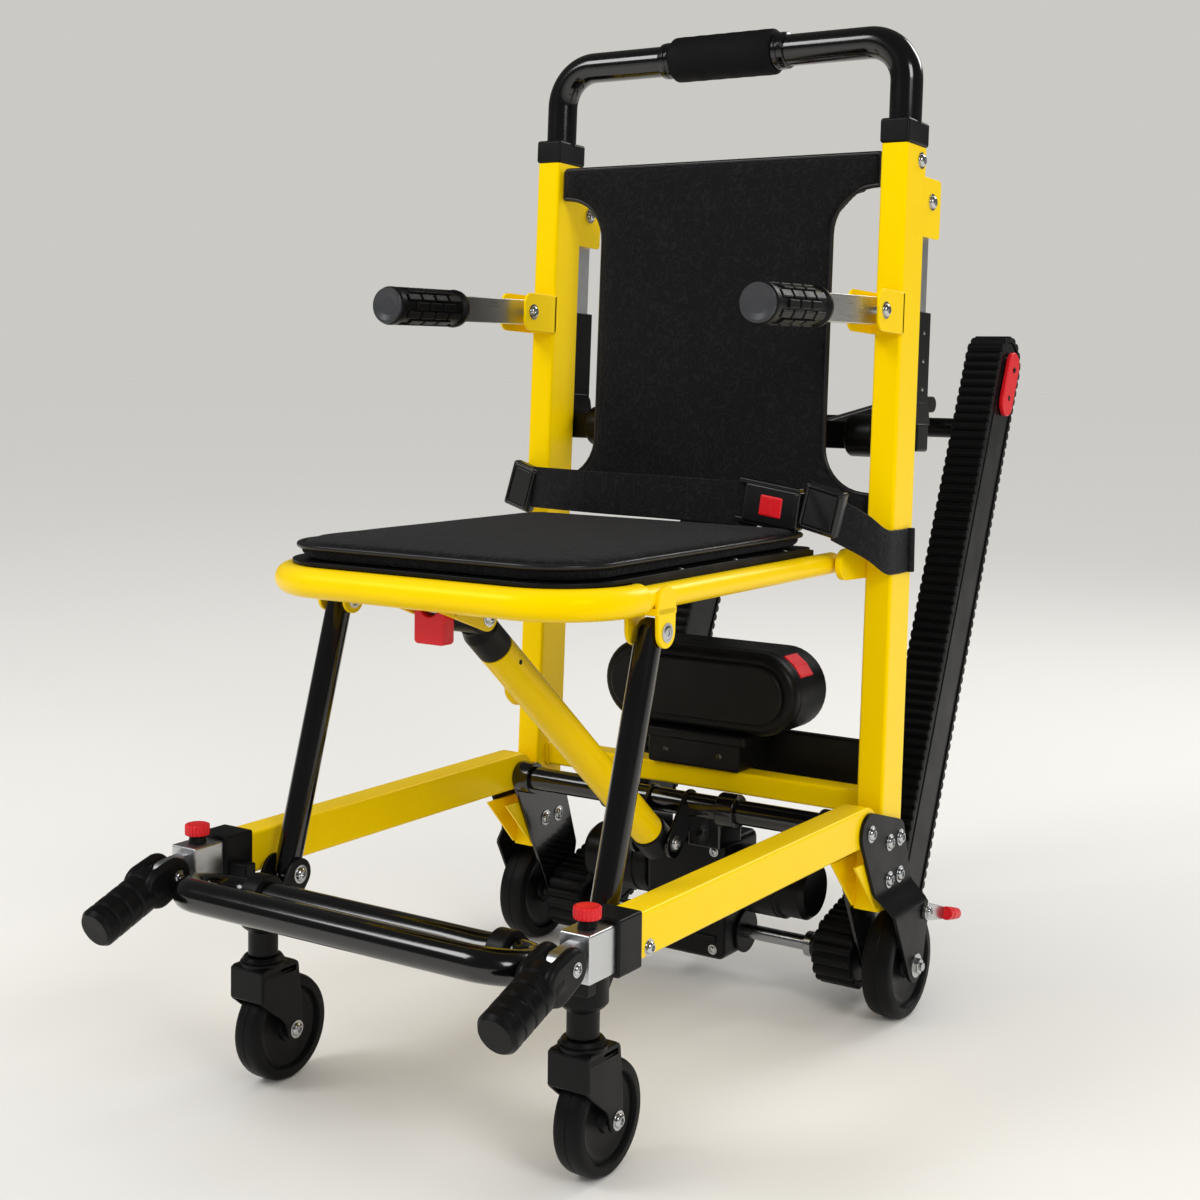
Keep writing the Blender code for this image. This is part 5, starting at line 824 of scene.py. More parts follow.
def make_rear_wheels():
    """The rear wheels on their stub axles and the brake levers."""
    for name, side in SIDES:
        make_wheel("rear", name, REAR_RADIUS, REAR_WIDTH, (side * OUTER_X, *AXLE))
        inner = OUTER_X + 2 * GAP + BEND_STEP + PLATE_THICKNESS
        tail = (BRAKE[0] + 0.036, BRAKE[1] - 0.010)
        body = f"brake_{name}"
        arm = [slab(hull((BRAKE, 0.009), (tail, 0.007)), side * inner, side * (inner + 0.005), "X", 0.0008)]
        arm.append(side_bolt(side, inner + 0.005, BRAKE, 0.005, 0.003))
        piece(f"brake_arm_{name}", body, "zinc", arm)
        x = side * (inner + 0.0075)
        tip = softened([(CORE, 0.004), (0.0072, 0.004), (0.0072, 0.010), (0.0058, 0.011), (0.0058, 0.013),
                        (0.0070, 0.014), (0.0060, 0.0335), (CORE, 0.0338)], 0.0009)
        piece(f"brake_tip_{name}", body, "red", [lathe(tip, (x, *tail), (0, 1, -0.25), 32)], f"brake_lever_{name}")


def make_casters():
    """The swivelling forks and their wheels."""
    crown_low, crown_high = 2 * CASTER_RADIUS + 0.0035, STEM_BOTTOM - 0.008
    crown_front, crown_rear = CASTER_Y - 0.022, CASTER_Y + 0.027
    axle_y, axle_z = CASTER_AXLE
    inside = CASTER_WIDTH / 2 + 0.0025
    outside = inside + 0.004
    leg = eased([(crown_front, crown_low - 0.018), (crown_front, crown_high), (crown_rear, crown_high),
                 (CASTER_Y + 0.031, crown_low - 0.024), (axle_y + 0.009, axle_z - 0.010),
                 (axle_y - 0.009, axle_z - 0.010), (axle_y - 0.014, axle_z + 0.010),
                 (CASTER_Y - 0.010, crown_low - 0.028)],
                [0.006, 0.005, 0.006, 0.02, 0.008, 0.008, 0.02, 0.010])
    race = softened([(CORE, crown_high - 0.002), (0.0215, crown_high - 0.002), (0.0215, crown_high + 0.0028),
                     (0.0190, crown_high + 0.0030), (0.0190, crown_high + 0.0042), (0.0200, crown_high + 0.0044),
                     (0.0175, STEM_BOTTOM - GAP), (CORE, STEM_BOTTOM - GAP)], 0.0009)
    for name, side in SIDES:
        x = side * CASTER_X
        shapes = cheeks(leg, x, inside, outside, 0.0012)
        shapes.append(box((x - outside, crown_front, crown_low), (x + outside, crown_rear, crown_high), 0.004))
        shapes.append(box((x - outside, crown_front - 0.0008, crown_low - 0.018),
                          (x + outside, crown_front + 0.0045, crown_high - 0.001), 0.002))
        shapes.append(lathe(race, (x, CASTER_Y, 0), (0, 0, 1), 48))
        body = f"caster_{name}"
        piece(f"caster_fork_{name}", body, "plastic", shapes)
        axle = [pin(CASTER_AXLE, x - outside, x + outside, 0.005), *bolt_pair(x, outside, CASTER_AXLE, 0.0062)]
        piece(f"caster_axle_{name}", body, "zinc", axle)
        make_wheel("caster", name, CASTER_RADIUS, CASTER_WIDTH, (x, *CASTER_AXLE))


# Rails and front end

def make_rails(edge):
    """The lower side rails with their pivot ends."""
    end = RAIL_HIGH - PIVOT[1]
    turns = [math.pi / 32 * k for k in range(17)]
    outline = [Vector((RAIL_FRONT, RAIL_LOW)), Vector((RAIL_FRONT, RAIL_HIGH))]
    outline += [Vector((PIVOT[0] + end * math.sin(t), PIVOT[1] + end * math.cos(t))) for t in turns]
    outline += [Vector((PIVOT[0] + end * 0.8, RAIL_LOW))]
    for name, side in SIDES:
        rail = slab(outline, side * INNER_X, side * OUTER_X, "X", edge, 4)
        piece(f"rail_{name}", "rails", "yellow", [rail])
        screw = side_bolt(side, OUTER_X - 0.0005, (SLEEVE_REAR + 0.016, RAIL_LOW + 0.008), 0.0055, 0.0045)
        piece(f"rail_screw_{name}", "rails", "zinc", [screw])


def make_handle_block(name, side, x):
    """The aluminium block on a rail's end, with the tongue that a lift handle turns on."""
    block = [box((side * INNER_X, BLOCK_FRONT, RAIL_LOW), (side * OUTER_X, RAIL_FRONT - GAP, RAIL_HIGH), 0.002, "Y")]
    tongue = hull((HANDLE_PIVOT, 0.012), ((BLOCK_FRONT + 0.002, RAIL_Z), 0.014))
    block.append(slab(tongue, x - 0.006, x + 0.006, "X", 0.001))
    piece(f"handle_block_{name}", "rails", "bar_y", block)


def make_pull_knob(name, x):
    """The fluted red knob on a block and its black stem."""
    base = RAIL_HIGH + GAP
    steps, flute_count = 160, 20
    flutes = []
    for k in range(steps):
        turn = 2 * math.pi * k / steps
        radius = 0.0112 + 0.00035 * math.cos(flute_count * turn)
        flutes.append((x + radius * math.cos(turn), KNOB_Y + radius * math.sin(turn)))
    knob = slab(flutes, base + 0.007, base + 0.0175, "Z", 0.0016)
    stem = lathe(softened([(CORE, -0.012), (0.003, -0.012), (0.003, 0), (0.0085, 0), (0.0065, 0.0085),
                           (CORE, 0.0085)], 0.0008), (x, KNOB_Y, base), (0, 0, 1), 32)
    piece(f"pull_knob_{name}", f"pull_knob_{name}", "red", [knob])
    piece(f"knob_stem_{name}", f"pull_knob_{name}", "plastic", [stem])


def make_front_brackets():
    """The black brackets on the rails' ends, with the blocks and the pull knobs."""
    for name, side in SIDES:
        x = side * UPRIGHT_X
        half = (TUBE_WIDTH / 2 + 0.0038, RAIL_HEIGHT / 2 + 0.0038)
        sleeve = box((x - half[0], SLEEVE_FRONT, RAIL_Z - half[1]),
                     (x + half[0], SLEEVE_REAR, RAIL_Z + half[1]), 0.0025, "Y")
        stem = softened([(CORE, STEM_BOTTOM), (0.0140, STEM_BOTTOM), (0.0140, BOSS_BOTTOM - 0.004),
                         (0.0190, BOSS_BOTTOM), (0.0215, BOSS_BOTTOM + 0.003), (0.0215, BOSS_TOP),
                         (CORE, BOSS_TOP)], 0.0015)
        shapes = [sleeve, lathe(stem, (side * CASTER_X, CASTER_Y, 0), (0, 0, 1), 48)]
        shapes.append(box((side * (CASTER_X - 0.004), SLEEVE_FRONT + 0.004, BOSS_TOP - 0.014),
                          (side * (INNER_X + 0.001), SLEEVE_REAR - 0.018, RAIL_Z), 0.002))
        cheek = hull((STRUT_FOOT, 0.015), ((CASTER_Y + 0.006, BOSS_TOP - 0.014), 0.013))
        shapes += cheeks(cheek, side * STRUT_X, STRUT_SIDE, STRUT_SIDE + CHEEK, 0.0009)
        bolts = bolt_pair(side * STRUT_X, STRUT_SIDE + CHEEK, STRUT_FOOT)
        clamp_inner = side * (CLAMP_X - 0.009)
        clamp = hull((FOOT_REAR, FOOT_RADIUS + 0.006), ((CASTER_Y - 0.008, BOSS_TOP - 0.010), 0.009))
        shapes.append(slab(clamp, clamp_inner, side * (CLAMP_X + 0.009), "X", 0.0015))
        shapes.append(box((clamp_inner, CASTER_Y - 0.016, BOSS_TOP - 0.018),
                          (side * CASTER_X, CASTER_Y + 0.010, BOSS_TOP - 0.002), 0.002))
        piece(f"front_bracket_{name}", "rails", "plastic", shapes)
        bolts.append(bolt((clamp_inner, FOOT_REAR[0] + 0.026, FOOT_REAR[1] - 0.010), (-side, 0, 0), 0.005, 0.003))
        piece(f"front_bracket_bolts_{name}", "rails", "zinc", bolts)

        make_handle_block(name, side, x)
        make_pull_knob(name, x)


def grip_shapes(origin, direction, up, span, radius, rows, bands, flare):
    """A moulded grip along a direction: a body with a flared inner end and bands of raised pads round it."""
    axis = Vector(direction).normalized()
    up = (Vector(up) - axis * axis.dot(Vector(up))).normalized()
    side = axis.cross(up)
    origin = Vector(origin)
    body = radius - 0.0018
    first, last = 0.012, span - 0.012
    profile = softened([(CORE, 0), (radius - 0.001 + flare, 0), (radius + flare, 0.006), (body, 0.010), (body, last),
                        (radius + flare * 0.5, span - 0.009), (radius + flare * 0.5, span - 0.0015),
                        (radius - 0.002, span), (CORE, span)], 0.0015)
    shapes = [lathe(profile, origin, axis, 56)]
    pitch = (last - first) / bands
    for row in range(rows):
        turn = 2 * math.pi * row / rows
        out = up * math.cos(turn) + side * math.sin(turn)
        across = axis.cross(out)
        shift = pitch / 2 if row % 2 else 0.0
        for band in range(bands - (1 if row % 2 else 0)):
            start = first + 0.0015 + band * pitch + shift
            width = math.pi * radius / rows * 0.78
            pad = box((start, -width, body - 0.002), (start + pitch - 0.003, width, radius + 0.0004), 0.0012)
            turned = Matrix((axis, across, out)).transposed().to_4x4()
            shapes.append(moved(pad, Matrix.Translation(origin) @ turned))
    return shapes


def ringed_grip(origin, direction, span, radius, rings):
    """A moulded grip with rings cut round it and a rounded end."""
    pitch = span / rings
    profile = [(CORE, 0), (radius, 0)]
    for k in range(1, rings):
        cut = k * pitch
        profile += [(radius, cut - 0.0018), (radius - 0.0015, cut - 0.0008), (radius - 0.0015, cut + 0.0008),
                    (radius, cut + 0.0018)]
    profile += [(radius, span - 0.004), (radius - 0.003, span), (CORE, span)]
    return lathe(softened(profile, 0.0012), origin, direction, 56)


def make_lift_handles():
    """The ribbed lift handles hinged on the aluminium blocks."""
    way = Vector((0, -math.cos(HANDLE_SLOPE), -math.sin(HANDLE_SLOPE)))
    for name, side in SIDES:
        x = side * UPRIGHT_X
        body = f"lift_handle_{name}"
        start = Vector((x, *HANDLE_PIVOT)) + way * 0.004
        grip = [ringed_grip(start + way * 0.012, way, HANDLE_LENGTH - 0.016, HANDLE_RADIUS, 5)]
        root = (HANDLE_PIVOT[0] + way.y * 0.020, HANDLE_PIVOT[1] + way.z * 0.020)
        cheek = hull((HANDLE_PIVOT, 0.0165), (root, 0.0180))
        piece(body, body, "grip", grip + cheeks(cheek, x, 0.0064, 0.0180, 0.005))
        piece(f"lift_handle_screws_{name}", body, "zinc", bolt_pair(x, 0.0176, HANDLE_PIVOT, 0.0045, 0.003))


def make_footrest():
    """The loop of tube that the feet rest on."""
    rear, front = Vector((0, *FOOT_REAR)), Vector((0, *FOOT_FRONT))
    middle, arm = (rear + front) / 2, (rear - front) / 2
    path = []
    for way in (1, -1):
        end = middle + Vector((way * FOOT_HALF, 0, 0))
        for k in range(17):
            turn = math.pi * k / 16
            path.append(end + way * arm * math.cos(turn) + Vector((way * arm.length * math.sin(turn), 0, 0)))
        path += [path[-1].lerp(path[-1] - Vector((way * 2 * FOOT_HALF, 0, 0)), k / 8) for k in range(1, 8)]
    piece("footrest", "footrest", "tube", [tube(path, FOOT_RADIUS, 36, closed=True)])


# Seat

def swollen(obj, most, direction, floor=None):
    """Lets the cloth of a closed pad swell under air pressure, by no more than a limit and never below a floor.

    It swells along one direction only, so that the edge stays where it is sewn to the piping.
    """
    start = [v.co.copy() for v in obj.data.vertices]
    cloth = obj.modifiers.new("cloth", "CLOTH")
    cloth.settings.use_pressure = True
    cloth.settings.uniform_pressure_force = 4.0
    cloth.settings.effector_weights.gravity = 0.0
    cloth.settings.mass = 0.3
    cloth.point_cache.frame_start, cloth.point_cache.frame_end = 1, CLOTH_STEPS
    scene = bpy.context.scene
    for number in range(1, CLOTH_STEPS + 1):
        scene.frame_set(number)
    result = obj.evaluated_get(bpy.context.evaluated_depsgraph_get())
    places = [v.co.copy() for v in result.data.vertices]
    obj.modifiers.clear()
    scene.frame_set(1)
    for vert, old, new in zip(obj.data.vertices, start, places):
        step = direction * (new - old).dot(direction)
        if step.length > most:
            step *= most / step.length
        vert.co = old + step
        if floor is not None:
            vert.co.z = max(vert.co.z, floor)


def upholstered(obj, voxel, swell, direction, floor=None):
    """Gives a pad an even skin of small faces, lets its cloth swell, and smooths it."""
    finish = obj.data.materials[0]
    modify(obj, "REMESH", mode="VOXEL", voxel_size=voxel)
    obj.data.materials.clear()
    obj.data.materials.append(finish)
    obj.data.shade_smooth()
    swollen(obj, swell, direction, floor)
    modify(obj, "SMOOTH", factor=0.5, iterations=4)
    modify(obj, "SUBSURF", levels=1)
    obj.data.shade_smooth()


def cushion(outline, place, thickness, crown):
    """A crowned pad on an outline: its sides draw in above and below, and its top swells toward the middle."""
    centre = sum(outline, Vector((0, 0))) / len(outline)
    levels = [(0.0, 0.90, 0.0), (0.0, 0.97, 0.0), (0.12, 0.99, 0.0), (0.45, 1.0, 0.0), (0.8, 0.995, 0.0),
              (0.98, 0.98, 0.05), (1.0, 0.94, 0.22), (1.0, 0.86, 0.45), (1.0, 0.70, 0.74), (1.0, 0.45, 0.94),
              (1.0, 0.15, 1.0)]
    rings = []
    for lift, share, swell in levels:
        height = thickness * lift + crown * swell
        rings.append([place(*(centre + (p - centre) * share), height) for p in outline])
    return skin(rings)


def quilt(outline, place, thickness, crown):
    """A pad on a hollow-sided outline: rounded rims, a flat back and a front that swells a little inside its edge."""
    layers = [(0.0, 0.0035), (0.0008, 0.0012), (thickness * 0.3, 0.0), (thickness * 0.75, 0.0), (thickness, 0.0022),
              (thickness + crown * 0.45, 0.008), (thickness + crown, 0.020)]
    return skin([[place(*p, height) for p in inset(outline, drawn)] for height, drawn in layers])


def piped(name, body, outline, place, radius):
    """A cord of bound piping sewn round an outline."""
    path = [Vector(place(*p)) for p in outline]
    return piece(name, body, "binding", [tube(path, radius, 12, closed=True)])


def make_seat_frame():
    """The seat's tube frame with the brackets of its struts and brace."""
    corners = [(SEAT_X, SEAT_STEP, SEAT_Z), (SEAT_X, SEAT_FRONT, SEAT_Z), (-SEAT_X, SEAT_FRONT, SEAT_Z),
               (-SEAT_X, SEAT_STEP, SEAT_Z)]
    shapes = [tube(eased(corners, 0.075, closed=False, steps=18, most=0.95), LOOP_RADIUS, 36)]
    bolts = []
    reach = STRUT_SIDE + CHEEK
    saddle = STRUT_TOP[1] + STRUT_RADIUS + 0.003
    cheek = hull((STRUT_TOP, 0.014), ((STRUT_TOP[0], saddle + 0.010), 0.015))
    lip = softened([(0.0105, -0.004), (LOOP_RADIUS + 0.0002, -0.004), (LOOP_RADIUS + 0.0002, 0.0005),
                    (0.0105, 0.0030)], 0.0014)
    for side in (1, -1):
        x = side * SEAT_X
        shapes.append(rod((x, SEAT_STEP - 0.010, SEAT_Z), (x, SEAT_PIVOT[0] + 0.010, SEAT_Z), SIDE_RADIUS, 0.004))
        shapes.append(lathe(lip, (x, SEAT_STEP, SEAT_Z), (0, 1, 0), 36))
        shapes.append(box((side * (STRUT_X - reach), STRUT_TOP[0] - 0.016, saddle),
                          (side * (STRUT_X + reach), STRUT_TOP[0] + 0.016, SEAT_Z - SIDE_RADIUS + 0.003), 0.001))
        shapes += cheeks(cheek, side * STRUT_X, STRUT_SIDE, reach, 0.0009)
        bolts += bolt_pair(side * STRUT_X, reach, STRUT_TOP, height=0.0014)
        bolts.append(pin(STRUT_TOP, side * (STRUT_X - reach), side * (STRUT_X + reach), 0.004))
    stay = hull((BRACE_TOP, 0.013), ((SEAT_FRONT, SEAT_Z), 0.011))
    shapes += cheeks(stay, 0, BRACE_SIDE, BRACE_SIDE + CHEEK, 0.0009)
    bolts += bolt_pair(0, BRACE_SIDE + CHEEK, BRACE_TOP)
    bolts.append(pin(LEVER_AXIS, -BRACE_SIDE - CHEEK, BRACE_SIDE + CHEEK, 0.003))
    piece("seat_frame", "seat", "yellow", shapes)
    piece("seat_bolts", "seat", "zinc", bolts)


def make_seat_pad(sizes):
    """The seat's board with its lips and screws, and the sewn pad on it."""
    board_x = SEAT_X - 0.006
    front, rear = SEAT_FRONT + 0.004, SEAT_PIVOT[0] - 0.022
    corner = 0.063
    outline = eased([(board_x, rear), (-board_x, rear), (-board_x, front), (board_x, front)],
                    [0.012, 0.012, corner, corner], steps=12)
    lips = [tube([(p.x, p.y, BOARD_LOW - 0.0035) for p in inset(outline, 0.0155)], 0.0048, 12, closed=True)]
    for side in (1, -1):
        lips.append(box((side * (board_x - 0.006), SEAT_STEP, SEAT_Z + SIDE_RADIUS - 0.003),
                        (side * board_x, rear, BOARD_LOW + 0.001), 0.0008))
    piece("seat_board", "seat", "plastic", [slab(outline, BOARD_LOW, BOARD_HIGH, "Z", 0.001), *lips])
    screws = [bolt((side * (board_x - 0.0048), y, BOARD_HIGH - 0.0004), (0, 0, 1), 0.0026, 0.0014)
              for side in (1, -1) for y in (-0.34, -0.24, -0.14)]
    piece("seat_board_screws", "seat", "zinc", screws)

    pad_x = board_x - 0.004
    back, ahead = rear - 0.004, front + 0.002
    outline = eased([(pad_x, back), (-pad_x, back), (-pad_x, ahead), (pad_x, ahead)], [0.018, 0.018, corner, corner],
                    steps=14)
    filling = cushion(inset(outline, 0.0025), lambda u, v, h: (u, v, PAD_LOW + h), PAD_THICKNESS - 0.002, PAD_CROWN)
    pad = piece("seat_pad", "seat", "seat_cloth", [filling])
    upholstered(pad, 0.005, sizes.swell * 0.6, Vector((0, 0, 1)), PAD_LOW)
    edge = inset(outline, 0.0022)
    piped("seat_piping_top", "seat", edge, lambda u, v: (u, v, PAD_LOW + PAD_THICKNESS - 0.0035), sizes.piping)


def make_release_lever():
    """The red lever under the seat's front, notched round the tube that it hangs on."""
    half, top = 0.017, LEVER_AXIS[1] + 0.005
    turns = [math.pi * (k + 1) / 12 for k in range(11)]
    notch = [(0.0105 * math.cos(t), top + 0.002 - 0.0105 * math.sin(t)) for t in turns]
    paddle = [(half, top - 0.034), (half, top), *notch, (-half, top), (-half, top - 0.034)]
    rounding = [0.004, 0.003] + [0.0] * len(notch) + [0.003, 0.004]
    lever = slab(eased(paddle, rounding), LEVER_AXIS[0] - 0.008, LEVER_AXIS[0] + 0.008, "Y", 0.002)
    piece("release_lever", "release_lever", "red", [lever])


def make_struts():
    """The gloss black front struts."""
    reach = math.dist(STRUT_TOP, STRUT_FOOT)
    way = (0, *(Vector(STRUT_TOP) - Vector(STRUT_FOOT)))
    end = [(0.0, 0.94), (0.45, 0.9), (0.85, 0.55), (1.0, 0.0)]
    rim = [(max(r * STRUT_RADIUS, CORE), s * STRUT_RADIUS) for r, s in end]
    profile = [(r, -s) for r, s in rim] + [(r, reach + s) for r, s in reversed(rim)]
    for name, side in SIDES:
        strut = lathe(profile, (side * STRUT_X, *STRUT_FOOT), way, 40)
        piece(f"front_strut_{name}", "struts", "tube", [strut])


def make_brace():
    """The telescopic brace: yellow tube with a lug, in its black socket, and a rod with its head under the seat."""
    foot, top = Vector((0, *BRACE_FOOT)), Vector((0, *BRACE_TOP))
    way = (top - foot).normalized()
    mouth = top - way * 0.055
    span = (mouth - foot).length
    profile = softened([(0.0150, 0.020), (BRACE_RADIUS, 0.020), (BRACE_RADIUS, span), (0.0150, span)], 0.0008)
    shapes = [lathe(profile, foot, way, 44, ring=True)]
    lug = mouth - way * 0.085
    normal = Vector((0, -way.z, way.y))
    ring = [lug + way * 0.0115 * math.cos(t) + normal * 0.0060 * math.sin(t) + Vector((-0.0245, 0, 0))
            for t in (2 * math.pi * k / 40 for k in range(40))]
    shapes.append(tube(ring, 0.0042, 14, closed=True))
    shapes.append(rod(lug + Vector((-0.022, 0, 0)), lug + Vector((-0.008, 0, 0)), 0.0085, 0.001))
    piece("brace_tube", "brace", "yellow", shapes)
    socket = softened([(CORE, -0.0125), (BRACE_RADIUS - 0.003, -0.0125), (BRACE_RADIUS + 0.0024, -0.006),
                       (BRACE_RADIUS + 0.0024, 0.024), (BRACE_RADIUS, 0.0255), (CORE, 0.0255)], 0.0014)
    spot = mouth - way * 0.022
    rivet = pin((spot.y, spot.z), BRACE_RADIUS - 0.0012, BRACE_RADIUS + 0.0004, 0.0024, 0.0003, 20)
    piece("brace_socket", "brace", "plastic", [lathe(socket, foot, way, 44), rivet])

    rod_radius = BRACE_RADIUS - 0.0029
    stem = rod(top - way * 0.340, top - way * 0.010, rod_radius, 0.001)
    collar = softened([(rod_radius - 0.001, GAP), (BRACE_RADIUS, GAP), (BRACE_RADIUS, 0.030),
                       (BRACE_RADIUS - 0.003, 0.041), (rod_radius - 0.001, 0.041)], 0.0018)
    head = slab(circle(BRACE_TOP, 0.016, 40), -BRACE_RADIUS, BRACE_RADIUS, "X", 0.0025)
    piece("brace_rod", "brace_rod", "plastic", [stem, lathe(collar, mouth, way, 44, ring=True), head])


# Arms, handle and back

def make_arms():
    """The folding arms: aluminium bars with moulded grips."""
    for name, side in SIDES:
        x = side * UPRIGHT_X
        pivot = LEAN_FRAME @ Vector((x, *ARM_PIVOT))
        half = 0.014
        grip_end = pivot.y - ARM_REACH
        start = grip_end + ARM_GRIP_LENGTH
        front, rear = start - 0.024, pivot.y + half
        outline = eased([(front, pivot.z - half), (front, pivot.z + half), (rear, pivot.z + half),
                         (rear, pivot.z - half)], [0.0005, 0.0005, half - 0.0001, half - 0.0001], steps=14)
        bar = slab(outline, x - 0.006, x + 0.006, "X", 0.0009)
        body = f"arm_{name}"
        piece(f"arm_bar_{name}", body, "bar_y", [bar])
        grip = grip_shapes((x, start, pivot.z), (0, -1, 0), (0, 0, 1), ARM_GRIP_LENGTH - 0.0015, ARM_GRIP_RADIUS,
                           rows=12, bands=4, flare=0.0012)
        piece(f"arm_grip_{name}", body, "grip", grip)
        rim = ARM_GRIP_RADIUS
        dish = softened([(CORE, 0.0003), (0.5 * rim, 0.0008), (rim - 0.0040, 0.0026), (rim - 0.0015, 0.0028),
                         (rim - 0.0006, 0.0014), (rim - 0.0012, -0.003), (CORE, -0.003)], 0.0006)
        cap = lathe(dish, (x, grip_end + 0.0015, pivot.z), (0, -1, 0), 48)
        piece(f"arm_grip_end_{name}", body, "disc", [cap])


def make_push_handle():
    """The telescopic push handle: bent gloss tube, its collars and the foam grip on its bar."""
    y = TUBE_DEPTH / 2
    start = CAP_HEIGHT - 0.004
    corners = [(UPRIGHT_X, y, start), (UPRIGHT_X, y, HANDLE_RISE), (-UPRIGHT_X, y, HANDLE_RISE), (-UPRIGHT_X, y, start)]
    shapes = [tube(eased(corners, HANDLE_BEND, closed=False, steps=18), HANDLE_TUBE, 40)]
    half = GRIP_LENGTH / 2
    for side in (1, -1):
        shapes.append(rod((side * UPRIGHT_X, y, -0.280), (side * UPRIGHT_X, y, start + 0.004), 0.012))
        collar = softened([(0.0165, GAP), (0.0200, GAP), (0.0205, 0.004), (0.0190, 0.006), (0.0203, 0.008),
                           (0.0197, 0.014), (0.0165, 0.016)], 0.0012)
        shapes.append(lathe(collar, (side * half, y, HANDLE_RISE), (side, 0, 0), 40))
    piece("push_handle", "push_handle", "tube", leaned(*shapes))
    core = HANDLE_TUBE - 0.0005
    profile = [(core, -half), (GRIP_RADIUS - 0.004, -half)]
    steps = 24
    for k in range(steps + 1):
        s = -half + 0.003 + (GRIP_LENGTH - 0.006) * k / steps
        profile.append((GRIP_RADIUS - 0.0003 * math.cos(math.pi * 6 * k / steps) ** 2, s))
    profile += [(GRIP_RADIUS - 0.004, half), (core, half)]
    grip = lathe(softened(profile, 0.0025), (0, y, HANDLE_RISE), (1, 0, 0), 48, ring=True)
    piece("handle_grip", "push_handle", "foam", leaned(grip))


def make_back_pad(sizes):
    """The back pad, slung between the uprights and drawn in at its waist, with piping round its edge."""
    edge = INNER_X - 0.0006
    half = [(edge, BACK_LOW), (edge, BACK_LOW + 0.028), (BACK_WAIST, BACK_LOW + 0.032), (BACK_WAIST, BACK_TOP - 0.042),
            (edge, BACK_TOP - 0.038), (edge, BACK_TOP)]
    bends = [0.006, 0.004, 0.047, 0.047, 0.004, 0.006]
    outline = eased(half + [(-u, v) for u, v in reversed(half)], bends + bends[::-1], steps=9, most=0.9)
    filling = quilt(inset(outline, 0.0026), lambda u, v, h: Vector((u, BACK_REAR - h, v)), BACK_THICKNESS - 0.001,
                    BACK_CROWN)
    pad = piece("back_pad", "frame", "back_cloth", leaned(filling))
    upholstered(pad, 0.0038, sizes.swell * 0.5, LEAN_FRAME.to_3x3() @ Vector((0, 1, 0)))
    rim = inset(outline, sizes.piping)
    middle = BACK_REAR - BACK_THICKNESS * 0.72
    piped("back_piping", "frame", rim, lambda u, v: LEAN_FRAME @ Vector((u, middle, v)), sizes.piping)


def make_latch():
    """The stay bars behind the uprights and the latch beam that slides on them and holds the stowed tracks."""
    top = STAY_BOLT[1] + STAY_DEPTH / 2
    for name, side in SIDES:
        x = side * UPRIGHT_X
        bar = box((x - 0.006, STAY_FRONT, top - 0.225), (x + 0.006, STAY_FRONT + STAY_DEPTH, top), 0.0008)
        piece(f"stay_bar_{name}", "frame", "bar_z", leaned(bar))
    half = 0.233
    shapes = leaned(box((-half, BEAM_FRONT, BEAM_LOW), (half, BEAM_FRONT + 0.030, BEAM_TOP), 0.003, "X"))
    rivets = []
    sleeve, rear = 0.0104, STAY_FRONT + STAY_DEPTH + 0.0044
    for side in (1, -1):
        x = side * UPRIGHT_X
        section = [(x - sleeve, BEAM_FRONT), (x + sleeve, BEAM_FRONT), (x + sleeve, rear), (x - sleeve, rear)]
        shapes += leaned(slab(eased(section, 0.0018), BEAM_TOP - 0.010, SLEEVE_TOP, "Z", 0.0008))
        foot = eased([(BEAM_FRONT, BEAM_TOP + 0.022), (rear, BEAM_TOP + 0.022), (rear + 0.006, BEAM_TOP - 0.002),
                      (BEAM_FRONT, BEAM_TOP - 0.002)], [0.001, 0.012, 0.002, 0.001])
        shapes += leaned(slab(foot, x - 0.0112, x + 0.0112, "X", 0.001))
        for drop in (0.022, 0.052, 0.082):
            spot = (x + side * sleeve, STAY_FRONT + STAY_DEPTH * 0.6, SLEEVE_TOP - drop)
            rivets += leaned(lathe([(CORE, -0.0004), (0.0022, -0.0004), (0.0020, 0.0003), (CORE, 0.0005)], spot,
                                   (side, 0, 0), 16))
    beam = LEAN_FRAME @ Vector((0, BEAM_FRONT + 0.015, (BEAM_TOP + BEAM_LOW) / 2))
    bar = along(KNEE, TRACK_TOP, UPPER_TUBE)
    arm = 0.010
    rest = bar[1] + TIE_RADIUS + arm + 0.006
    for side in (1, -1):
        bend = (bar[0] - 0.070, rest)
        for a, b in (((beam.y, beam.z), bend), (bend, (bar[0] + 0.010, rest))):
            shapes.append(slab(hull((a, arm), (b, arm)), side * 0.094, side * 0.106, "X", 0.0015))
        shapes.append(pin((beam.y, beam.z), side * 0.150, side * 0.184, 0.023, 0.003, 40))
    piece("latch_beam", "track_latch", "plate", shapes)
    piece("latch_rivets", "track_latch", "zinc", rivets)


# Tracks and drive

def belt_line(distance):
    """The closed (y, z) line that stands a distance off the track's bent centre line."""
    a, k, t = (Vector(p) for p in (AXLE, KNEE, TRACK_TOP))
    low, high = (k - a).normalized(), (t - k).normalized()

    def right(way):
        return Vector((way.y, -way.x))

    def arc(centre, start, sweep):
        count = max(int(abs(sweep) * 24), 4)
        return [centre + Matrix.Rotation(sweep * i / count, 2) @ (start * distance) for i in range(count + 1)]

    inner = k - (right(low) + right(high)) * (distance / (1 + right(low).dot(right(high))))
    line = arc(k, right(low), low.angle_signed(high) * -1) + arc(t, right(high), math.pi)
    line += eased([t - right(high) * distance, inner, a - right(low) * distance], 0.09, closed=False, steps=16)[1:-1]
    return line + arc(a, -right(low), math.pi)


